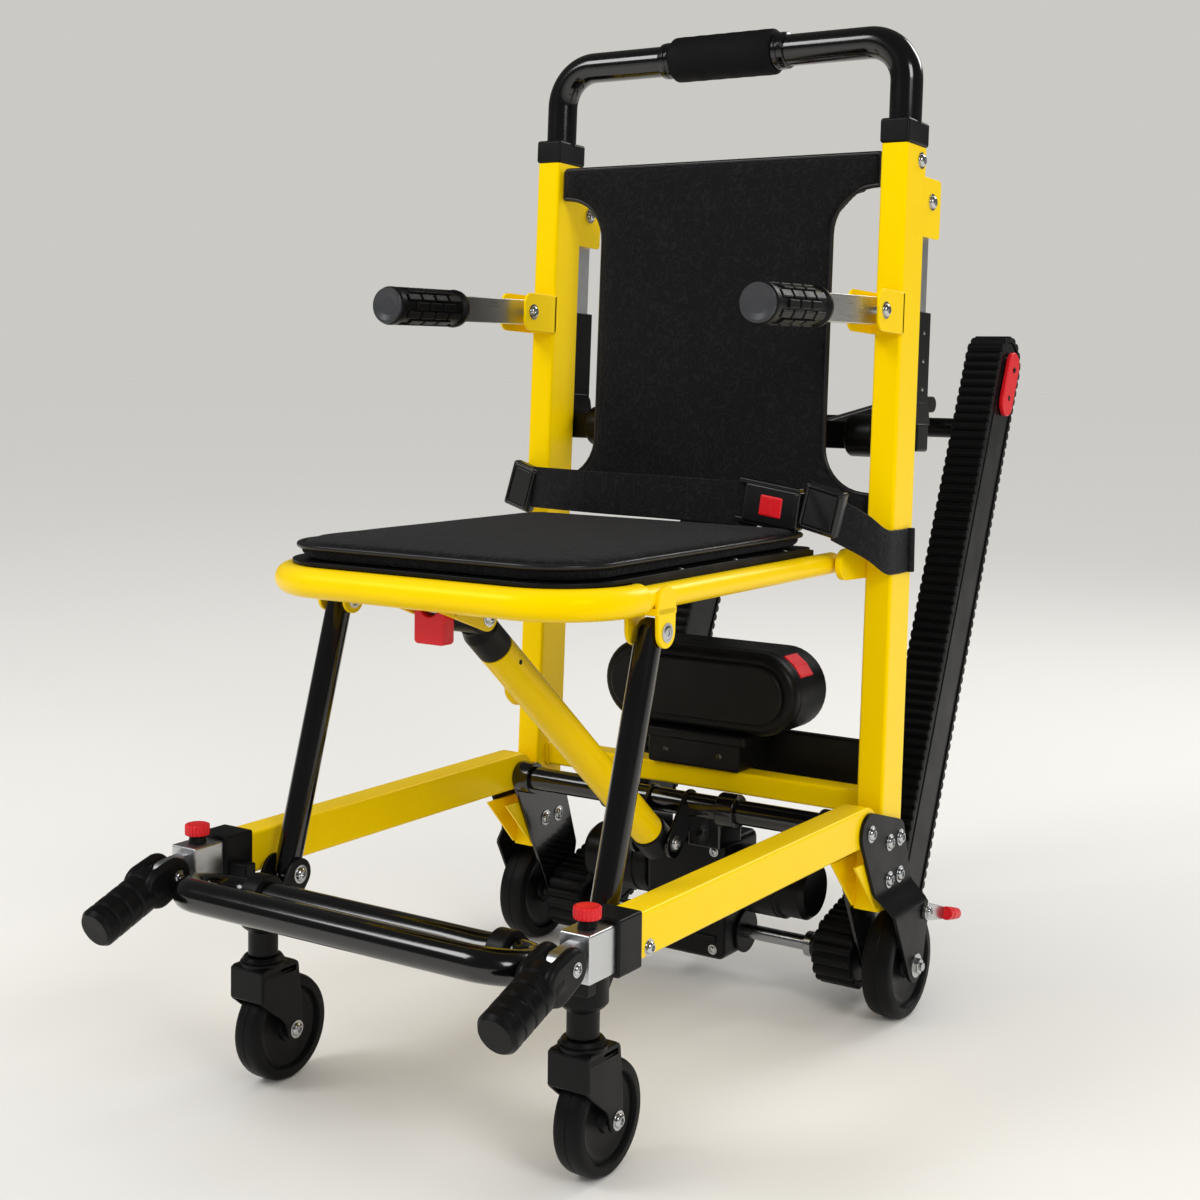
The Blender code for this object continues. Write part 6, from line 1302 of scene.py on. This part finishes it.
def resampled(line, count):
    """A closed line as evenly spaced points, each with its outward direction."""
    ends = line + line[:1]
    reach = [0.0]
    for p, q in zip(ends, ends[1:]):
        reach.append(reach[-1] + (q - p).length)
    points, i = [], 0
    for k in range(count):
        want = reach[-1] * k / count
        while reach[i + 1] < want:
            i += 1
        span = reach[i + 1] - reach[i]
        points.append(ends[i].lerp(ends[i + 1], (want - reach[i]) / span if span > 1e-9 else 0.0))
    outward = []
    for k in range(count):
        run = (points[(k + 1) % count] - points[k - 1]).normalized()
        outward.append(Vector((run.y, -run.x)))
    return points, outward, reach[-1]


def ribbed_belt(x, pitch, depth):
    """A rubber belt round the track's bar with rounded ribs across its outer face."""
    base = BELT_OUTER - depth
    line = belt_line(BELT_INNER)
    around = resampled(line, 64)[2]
    ribs = round(around / pitch)
    per_rib = 10
    points, outward, _ = resampled(line, ribs * per_rib)
    half = BELT_WIDTH / 2
    rings = []
    for k, (point, out) in enumerate(zip(points, outward)):
        wave = 0.5 + 0.5 * math.cos(2 * math.pi * k / per_rib)
        rise = base - BELT_INNER + depth * min(1.0, 1.35 * wave ** 0.75)
        draw = 0.0035 * (1 - wave) + 0.0012
        low, high = point, point + out * rise
        shoulder = point + out * (rise - 0.0009)
        ring = [(x - half, low), (x + half, low), (x + half, shoulder), (x + half - 0.0009, high),
                (x + half - draw - 0.002, high), (x - half + draw + 0.002, high), (x - half + 0.0009, high),
                (x - half, shoulder)]
        rings.append([(u, *p) for u, p in ring])
    return skin(rings, closed=True)


def make_tracks(sizes):
    """The two tracks: bent bars tied by cross tubes, ribbed belts and red end guards."""
    half = BELT_WIDTH / 2
    bar = half - 0.0015
    shapes, screws = [], []
    for name, side in SIDES:
        for a, b in ((AXLE, KNEE), (KNEE, TRACK_TOP)):
            outline = hull((a, BAR_HALF), (b, BAR_HALF))
            shapes.append(slab(outline, side * (TRACK_X - bar), side * (TRACK_X + bar), "X", 0.0012))
        rib = hull((along(KNEE, TRACK_TOP, 0.02), 0.0205), (along(KNEE, TRACK_TOP, 0.985), 0.0205))
        shapes.append(slab(rib, side * (TRACK_X + bar - 0.001), side * (TRACK_X + bar + 0.0011), "X", 0.0008))
        cheek = hull((AXLE, 0.020), (KNEE, 0.020))
        shapes.append(slab(cheek, side * TRACK_CHEEK_INNER, side * TRACK_CHEEK, "X", 0.001))
        shapes.append(pin(KNEE, side * TRACK_CHEEK_INNER, side * TRACK_X, 0.016))

        belt = ribbed_belt(side * TRACK_X, sizes.belt_rib, sizes.rib_depth)
        piece(f"track_belt_{name}", "track", "rubber", [belt], sharp=math.radians(60))

        back = along(TRACK_TOP, KNEE, 0.049 / TRACK_RUN)
        plate = hull((TRACK_TOP, 0.0165), (back, 0.0165))
        x, outer = side * TRACK_X, half + GAP + 0.006
        guard = cheeks(plate, x, half + GAP, outer, 0.0016)
        screws += bolt_pair(x, outer - 0.0001, along(TRACK_TOP, back, 0.12), 0.0026, 0.0014)
        screws += [lathe([(CORE, -0.0006), (0.0036, -0.0006), (0.0034, 0.0002), (CORE, 0.00025)],
                         (x + way * outer, *along(TRACK_TOP, back, 0.88)), (way, 0, 0), 20) for way in (1, -1)]
        guard.append(pin(TRACK_TOP, side * TRACK_CHEEK, side * (TRACK_X + half + 0.001), 0.006))
        piece(f"track_guard_{name}", "track", "red", guard)
    for share in (LOWER_TUBE, UPPER_TUBE):
        shapes.append(pin(along(KNEE, TRACK_TOP, share), bar - TRACK_X - 0.001, TRACK_X - bar + 0.001, TIE_RADIUS))
    piece("track_frame", "track", "plate", shapes)
    piece("track_guard_screws", "track", "plate", screws)


def make_drive():
    """The drive shaft with its sprockets, the gearbox and the two motors."""
    end = INNER_X + 0.0007
    shapes = [pin(AXLE, -end, end, 0.008)]
    for side in (1, -1):
        shapes.append(pin(AXLE, side * (TRACK_X - 0.018), side * (TRACK_X + 0.018), 0.0275))
        shapes.append(lathe(banded(0.0075, 0.0135, 0.009, 0.001), (side * 0.128, *AXLE), (side, 0, 0), 32))
    piece("drive_shaft", "drive_shaft", "steel", shapes)

    half = 0.050
    case = [box((-half, -0.036, 0.034), (half, 0.044, 0.166), 0.008)]
    for z in (0.058, 0.078, 0.098):
        case.append(box((-half + 0.008, -0.0385, z - 0.003), (half - 0.008, -0.034, z + 0.003), 0.001))
    case += [pin(AXLE, side * half, side * (half + 0.0035), 0.024, 0.001, 40) for side in (1, -1)]
    piece("gearbox", "frame", "plate", case)
    screws = [bolt((u, -0.0361, v), (0, -1, 0), 0.004, 0.003) for u in (-0.038, 0.038) for v in (0.046, 0.154)]
    piece("gearbox_screws", "frame", "zinc", screws)
    reach = TRACK_CHEEK_INNER - 0.0016 - half - GAP
    can, seam = MOTOR_RADIUS, MOTOR_RADIUS - 0.0015
    profile = [(CORE, 0), (0.032, 0), (can, 0.004), (can, 0.018), (seam, 0.019), (seam, 0.021), (can, 0.022),
               (can, 0.60 * reach), (seam, 0.61 * reach), (seam, 0.63 * reach), (can, 0.64 * reach),
               (can, 0.66 * reach), (0.033, 0.69 * reach), (0.033, reach - 0.006), (0.028, reach), (CORE, reach)]
    for name, side in SIDES:
        motor = lathe(softened(profile, 0.001), (side * (half + GAP), *MOTOR), (side, 0, 0), 64)
        piece(f"drive_motor_{name}", "frame", "plate", [motor])


def stadium(centre, reach, radius, steps=20):
    """An outline of two half circles that stand apart, level with each other."""
    turns = [math.pi * (k / steps - 0.5) for k in range(steps + 1)]
    return [Vector((centre[0] + way * (reach + radius * math.cos(t)), centre[1] + way * radius * math.sin(t)))
            for way in (1, -1) for t in turns]


def make_battery():
    """The battery on its dock, with a raised front panel and a red latch in its shoulder."""
    rear = BATTERY_FRONT + 0.070
    dock = [box((-0.058, BATTERY_FRONT, DOCK_LOW), (0.058, rear, DOCK_HIGH), 0.004)]
    dock.append(box((-0.066, BATTERY_FRONT - 0.002, DOCK_HIGH - 0.012), (0.066, rear, DOCK_HIGH - 0.0006), 0.003))
    dock.append(box((0, rear - 0.001, DOCK_HIGH - 0.078), (0.194, rear + 0.012, DOCK_HIGH - 0.002), 0.003))
    piece("battery_dock", "frame", "plastic", dock)
    holes = [lathe([(CORE, -0.001), (0.0040, -0.001), (0.0036, 0.0004), (0.0022, 0.0001), (CORE, 0)],
                   (u, BATTERY_FRONT, DOCK_LOW + 0.016), (0, -1, 0), 20) for u in (-0.034, 0.034)]
    piece("battery_dock_holes", "frame", "tube", holes)

    base = DOCK_HIGH + GAP
    radius = BATTERY_HEIGHT / 2
    reach = BATTERY_LENGTH / 2 - radius
    middle = (0, base + radius)
    turns = [math.pi / 2 * k / 6 for k in range(7)]
    rim = 0.010
    layers = [(0.006 + rim * (1 - math.cos(t)), rim * (1 - math.sin(t))) for t in turns]
    layers += [(BATTERY_DEPTH - rim * (1 - math.cos(t)), rim * (1 - math.sin(t))) for t in reversed(turns)]
    rings = [[(p.x, BATTERY_FRONT + d, p.y) for p in stadium(middle, reach, radius - drawn)] for d, drawn in layers]
    panel = stadium(middle, reach, radius - 0.013)
    case = [skin(rings), slab(panel, BATTERY_FRONT, BATTERY_FRONT + 0.012, "Y", 0.003)]
    split = stadium(middle, reach, radius + 0.0004)
    case.append(slab(split, BATTERY_FRONT + 0.022, BATTERY_FRONT + 0.0235, "Y", 0.0004))
    piece("battery_case", "battery", "plastic", case)
    shoulder = Matrix.Translation((reach, BATTERY_FRONT + BATTERY_DEPTH * 0.48, middle[1])) @ Matrix.Rotation(
        math.radians(45), 4, "Y")
    latch = []
    for way in (1, -1):
        tilt = Matrix.Rotation(way * math.radians(8), 4, "Y")
        lobe = box((-0.0090, -0.0145, radius - 0.0075), (0.0090, 0.0145, radius + 0.0009), 0.0015)
        latch.append(moved(lobe, shoulder @ tilt))
    piece("battery_latch", "battery_latch", "red", latch)


# Lap belt

def curve_through(points, steps=8):
    """A smooth curve through points."""
    points = [Vector(p) for p in points]
    ends = [2 * points[0] - points[1]] + points + [2 * points[-1] - points[-2]]
    path = []
    for a, b, c, d in zip(ends, ends[1:], ends[2:], ends[3:]):
        for k in range(steps):
            t = k / steps
            path.append(0.5 * (2 * b + (c - a) * t + (2 * a - 5 * b + 4 * c - d) * t**2
                               + (3 * b - a - 3 * c + d) * t**3))
    return path + [points[-1]]


def webbing(path):
    """A strap that stands on edge along a path, with rounded selvedges."""
    half, edge = WEBBING_WIDTH / 2, WEBBING_THICKNESS / 2
    section = [(-edge, -half + edge), (0, -half), (edge, -half + edge), (edge, half - edge), (0, half),
               (-edge, half - edge)]
    rings = []
    for i, point in enumerate(path):
        tangent = path[min(i + 1, len(path) - 1)] - path[max(i - 1, 0)]
        across = Vector((-tangent.y, tangent.x, 0)).normalized()
        rings.append([point + across * u + Vector((0, 0, v)) for u, v in section])
    return skin(rings)


def stitched(path, index):
    """A row of sewing across a strap: short raised threads on its front face."""
    here, ahead = path[index], path[index + 1]
    tangent = (ahead - here).normalized()
    front = here + Vector((tangent.y, -tangent.x, 0)) * (WEBBING_THICKNESS / 2 + 0.0001)
    half = Vector((0, 0, 0.0011))
    shapes = []
    for k in range(12):
        middle = front + Vector((0, 0, WEBBING_WIDTH * (k / 11 - 0.5) * 0.86))
        shapes.append(rod(middle - half, middle + half, 0.0005, 0.0002, 8))
    return shapes


def framed_plate(low, high, rim):
    """A moulded plate with a raised rim round its front and a plain panel inside."""
    (x0, face, z0), (x1, _, z1) = low, high
    d = rim + 0.001
    ring = eased([(x0 + d, z0 + d), (x1 - d, z0 + d), (x1 - d, z1 - d), (x0 + d, z1 - d)], 0.003)
    bead = tube([(p.x, face + 0.0002, p.y) for p in ring], rim * 0.75, 12, closed=True)
    d = 2.4 * rim
    panel = box((x0 + d, face - 0.0010, z0 + d), (x1 - d, face + 0.002, z1 - d), 0.0009, "Y")
    return [box(low, high, 0.003, "Y"), bead, panel]


def tilted(shapes, x, z, degrees):
    """Shapes turned clockwise, as the front shows them, about a point."""
    centre = Matrix.Translation((x, 0, z))
    turn = centre @ Matrix.Rotation(math.radians(degrees), 4, "Y") @ centre.inverted()
    return [moved(shape, turn) for shape in shapes]


def make_straps(front):
    """The two webbing straps of the lap belt and their sewing."""
    strap_x = OUTER_X + GAP + WEBBING_THICKNESS / 2
    route = [(-strap_x, 0.035), (-strap_x, 0), (-strap_x + 0.008, -0.032), (-0.175, -0.055), (-0.080, -0.074),
             (0.010, -0.083)]
    path = curve_through([(x, front + y, WEBBING_Z) for x, y in route]
                         + [(BUCKLE_X + 0.012, BUCKLE_Y, WEBBING_Z - 0.002)])
    strap = piece("belt_strap_right", "frame", "webbing", [webbing(path)], "lap_belt_right")
    rows = stitched(path, 30) + stitched(path, 42)
    low = WEBBING_Z - 0.050
    tail = [(TONGUE_X + 0.032, BUCKLE_Y, TONGUE_Z - 0.006), (0.226, front - 0.052, WEBBING_Z - 0.030),
            (strap_x, front - 0.022, low + 0.003), (strap_x, front + 0.006, low), (strap_x, front + 0.036, low)]
    tail_path = curve_through(tail)
    end = tail_path[-1] + Vector((0.0022, 0, 0))
    hem = rod(end - Vector((0, 0, WEBBING_WIDTH / 2)), end + Vector((0, 0, WEBBING_WIDTH / 2)), 0.0042, 0.001)
    short = piece("belt_strap_left", "frame", "webbing", [webbing(tail_path), hem], "lap_belt_left")
    rows += stitched(tail_path, 12)
    sewing = piece("belt_sewing", "frame", "thread", rows)
    return strap, short, sewing


def make_fittings(front):
    """The slider, the buckle, the tongue in it and the red button of the lap belt."""
    rim = 0.0026
    slider = framed_plate((-0.219, front - 0.0555, WEBBING_Z - 0.026), (-0.183, front - 0.043, WEBBING_Z + 0.026), rim)
    slider = tilted(slider, -0.201, WEBBING_Z, 17)
    half = BUCKLE_THICKNESS / 2
    y0, y1 = BUCKLE_Y - half, BUCKLE_Y + half
    x1 = BUCKLE_X + BUCKLE_LENGTH
    buckle = [box((BUCKLE_X, y0, BUCKLE_LOW), (x1, y1, BUCKLE_HIGH), 0.003, "Y")]
    for z in (BUCKLE_LOW, BUCKLE_HIGH):
        buckle.append(box((BUCKLE_X - 0.009, y0 + 0.003, z - 0.003), (x1 - 0.004, y1 - 0.003, z + 0.003), 0.0015))
    buckle.append(box((x1 - 0.006, y0 - 0.001, BUCKLE_LOW + 0.002), (x1, y1, BUCKLE_HIGH - 0.002), 0.0015))
    tongue = framed_plate((TONGUE_X, BUCKLE_Y - 0.0065, TONGUE_Z - 0.023),
                          (TONGUE_X + 0.044, BUCKLE_Y + 0.006, TONGUE_Z + 0.025), rim)
    middle = (BUCKLE_X + BUCKLE_LENGTH / 2, (BUCKLE_LOW + BUCKLE_HIGH) / 2)
    buckle = tilted(buckle, *middle, BUCKLE_TILT)
    tongue = tilted(tongue, TONGUE_X + 0.022, TONGUE_Z, 13)
    fittings = piece("belt_fittings", "frame", "acetal", slider + buckle + tongue)

    button_x = BUCKLE_X + BUCKLE_LENGTH * 0.30
    button_low = (BUCKLE_LOW + BUCKLE_HIGH - 0.022) / 2
    face = y0 - 0.001
    button = [box((button_x, face, button_low), (button_x + 0.026, face + 0.008, button_low + 0.022), 0.0022, "Y")]
    button.append(box((button_x + 0.0105, face - 0.0006, button_low + 0.003),
                      (button_x + 0.0135, face + 0.002, button_low + 0.019), 0.0006, "Y"))
    return fittings, piece("buckle_button", "buckle_button", "red", tilted(button, *middle, BUCKLE_TILT))


def make_lap_belt():
    """The lap belt, which is pushed back against the back pad when the seat folds up."""
    front = at_depth(WEBBING_Z)
    for obj in (*make_straps(front), *make_fittings(front)):
        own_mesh(obj)


# Stage

def make_floor(settings):
    """A wide sheet of pale paper."""
    bm = bmesh.new()
    bmesh.ops.create_grid(bm, x_segments=2, y_segments=2, size=40)
    mesh = bpy.data.meshes.new("floor")
    bm.to_mesh(mesh)
    bm.free()
    ground = bpy.data.objects.new("floor", mesh)
    bpy.context.scene.collection.objects.link(ground)
    made, tree, shader, place = new_material("studio_floor")
    # Seamless paper: plain and matt, with a breath of unevenness
    feed(tree, shader, {"Base Color": blotched(tree, place, settings.floor, 0.012, 900), "Roughness": 0.75,
                        "Specular IOR Level": 0.2})
    mesh.materials.append(made)


def make_lights(settings):
    """The even light from all round and three soft lamps."""
    world = bpy.data.worlds.new("studio")
    world.use_nodes = True
    bpy.context.scene.world = world
    tree = world.node_tree
    light = tree.nodes["Background"]
    feed(tree, light, {"Color": (1, 1, 1, 1), "Strength": settings.sky})
    # The background matches the far floor, and gloss mirrors a dim room, so that the lamps draw clear highlights
    shown = add_node(tree, "ShaderNodeBackground", Color=list(settings.floor), Strength=0.916 * settings.sky)
    room = add_node(tree, "ShaderNodeBackground", Color=list(settings.floor), Strength=settings.room)
    rays = add_node(tree, "ShaderNodeLightPath").outputs
    lit = add_node(tree, "ShaderNodeMixShader", i0=rays["Is Glossy Ray"], i1=light.outputs[0], i2=room.outputs[0])
    mix = add_node(tree, "ShaderNodeMixShader", i0=rays["Is Camera Ray"], i1=lit.outputs[0], i2=shown.outputs[0])
    feed(tree, tree.nodes["World Output"], {"Surface": mix.outputs[0]})

    aim = Vector((0, 0, 0.5))
    lamps = (("key", (-1.9, -2.6, 2.9), 1.3, settings.key_power), ("fill", (2.9, -1.6, 2.3), 1.1, settings.fill_power),
             ("rim", (0.9, 2.6, 2.4), 1.2, settings.rim_power))
    for name, spot, size, power in lamps:
        data = bpy.data.lights.new(name, "AREA")
        data.size = size
        data.energy = power
        lamp = bpy.data.objects.new(name, data)
        lamp.location = spot
        lamp.rotation_euler = (aim - Vector(spot)).to_track_quat("-Z", "Y").to_euler()
        bpy.context.scene.collection.objects.link(lamp)


def make_camera(lens):
    """The camera, where the photograph was taken from."""
    right = Vector((math.cos(CAMERA_TURN), math.sin(CAMERA_TURN), 0))
    ahead = Vector((-right.y, right.x, 0)) * math.cos(CAMERA_DROP) - Vector((0, 0, math.sin(CAMERA_DROP)))
    up = right.cross(ahead)
    cos, sin = math.cos(CAMERA_ROLL), math.sin(CAMERA_ROLL)
    right, up = cos * right + sin * up, cos * up - sin * right
    data = bpy.data.cameras.new("camera")
    data.sensor_width = 36
    data.lens = lens
    data.shift_y = CAMERA_SHIFT
    data.clip_end = 200
    camera = bpy.data.objects.new("camera", data)
    camera.matrix_world = Matrix.Translation(CAMERA_PLACE) @ Matrix((right, up, -ahead)).transposed().to_4x4()
    bpy.context.scene.collection.objects.link(camera)
    bpy.context.scene.camera = camera
    bpy.context.scene.view_settings.view_transform = "Standard"


# Operators

class CHAIR_OT_finishes(bpy.types.Operator):
    """Make every material of the chair"""

    bl_idname = "chair.finishes"
    bl_label = "Finishes"

    def execute(self, context):
        make_finishes(context.scene.chair_colours, context.scene.chair_sizes)
        return {"FINISHED"}


class CHAIR_OT_frame(bpy.types.Operator):
    """Build the uprights, the lower frame and the latch behind the back"""

    bl_idname = "chair.frame"
    bl_label = "Frame"

    def execute(self, context):
        make_uprights(context.scene.chair_sizes.edge)
        make_lower_frame()
        make_latch()
        return {"FINISHED"}


class CHAIR_OT_wheels(bpy.types.Operator):
    """Build the rear wheels, the brakes and the casters"""

    bl_idname = "chair.wheels"
    bl_label = "Wheels"

    def execute(self, context):
        make_rear_wheels()
        make_casters()
        return {"FINISHED"}


class CHAIR_OT_front(bpy.types.Operator):
    """Build the rails, front brackets, lift handles and footrest"""

    bl_idname = "chair.front"
    bl_label = "Front"

    def execute(self, context):
        make_rails(context.scene.chair_sizes.edge)
        make_front_brackets()
        make_lift_handles()
        make_footrest()
        return {"FINISHED"}


class CHAIR_OT_seat(bpy.types.Operator):
    """Build the seat, its struts and its brace"""

    bl_idname = "chair.seat"
    bl_label = "Seat"

    def execute(self, context):
        make_seat_frame()
        make_seat_pad(context.scene.chair_sizes)
        make_release_lever()
        make_struts()
        make_brace()
        return {"FINISHED"}


class CHAIR_OT_back(bpy.types.Operator):
    """Build the back pad, the arms and the push handle"""

    bl_idname = "chair.back"
    bl_label = "Back"

    def execute(self, context):
        make_back_pad(context.scene.chair_sizes)
        make_arms()
        make_push_handle()
        return {"FINISHED"}


class CHAIR_OT_belt(bpy.types.Operator):
    """Build the lap belt"""

    bl_idname = "chair.belt"
    bl_label = "Lap belt"

    def execute(self, context):
        make_lap_belt()
        return {"FINISHED"}


class CHAIR_OT_tracks(bpy.types.Operator):
    """Build the tracks, the drive and the battery"""

    bl_idname = "chair.tracks"
    bl_label = "Tracks and drive"

    def execute(self, context):
        make_tracks(context.scene.chair_sizes)
        make_drive()
        make_battery()
        return {"FINISHED"}


class CHAIR_OT_stage(bpy.types.Operator):
    """Build the floor, lamps and camera"""

    bl_idname = "chair.stage"
    bl_label = "Stage"

    def execute(self, context):
        settings = context.scene.chair_stage
        make_floor(settings)
        make_lights(settings)
        make_camera(settings.lens)
        return {"FINISHED"}


OPERATORS = (CHAIR_OT_finishes, CHAIR_OT_stage, CHAIR_OT_frame, CHAIR_OT_wheels, CHAIR_OT_front, CHAIR_OT_seat,
             CHAIR_OT_back, CHAIR_OT_belt, CHAIR_OT_tracks)


class CHAIR_PT_panel(bpy.types.Panel):
    """Lists the steps that build the chair"""

    bl_label = "Stair climbing chair"
    bl_idname = "CHAIR_PT_panel"
    bl_space_type = "VIEW_3D"
    bl_region_type = "UI"
    bl_category = "Chair"

    def draw(self, context):
        for operator in OPERATORS:
            self.layout.operator(operator.bl_idname)


GROUPS = {"chair_colours": ChairColours, "chair_sizes": ChairSizes, "chair_stage": StageSettings}


def register():
    for name, group in GROUPS.items():
        bpy.utils.register_class(group)
        setattr(bpy.types.Scene, name, bpy.props.PointerProperty(type=group))
    for cls in (*OPERATORS, CHAIR_PT_panel):
        bpy.utils.register_class(cls)


def unregister():
    for cls in reversed((*OPERATORS, CHAIR_PT_panel)):
        bpy.utils.unregister_class(cls)
    for name, group in GROUPS.items():
        delattr(bpy.types.Scene, name)
        bpy.utils.unregister_class(group)


def main():
    register()
    for operator in OPERATORS:
        family, name = operator.bl_idname.split(".")
        getattr(getattr(bpy.ops, family), name)()


if __name__ == "__main__":
    main()
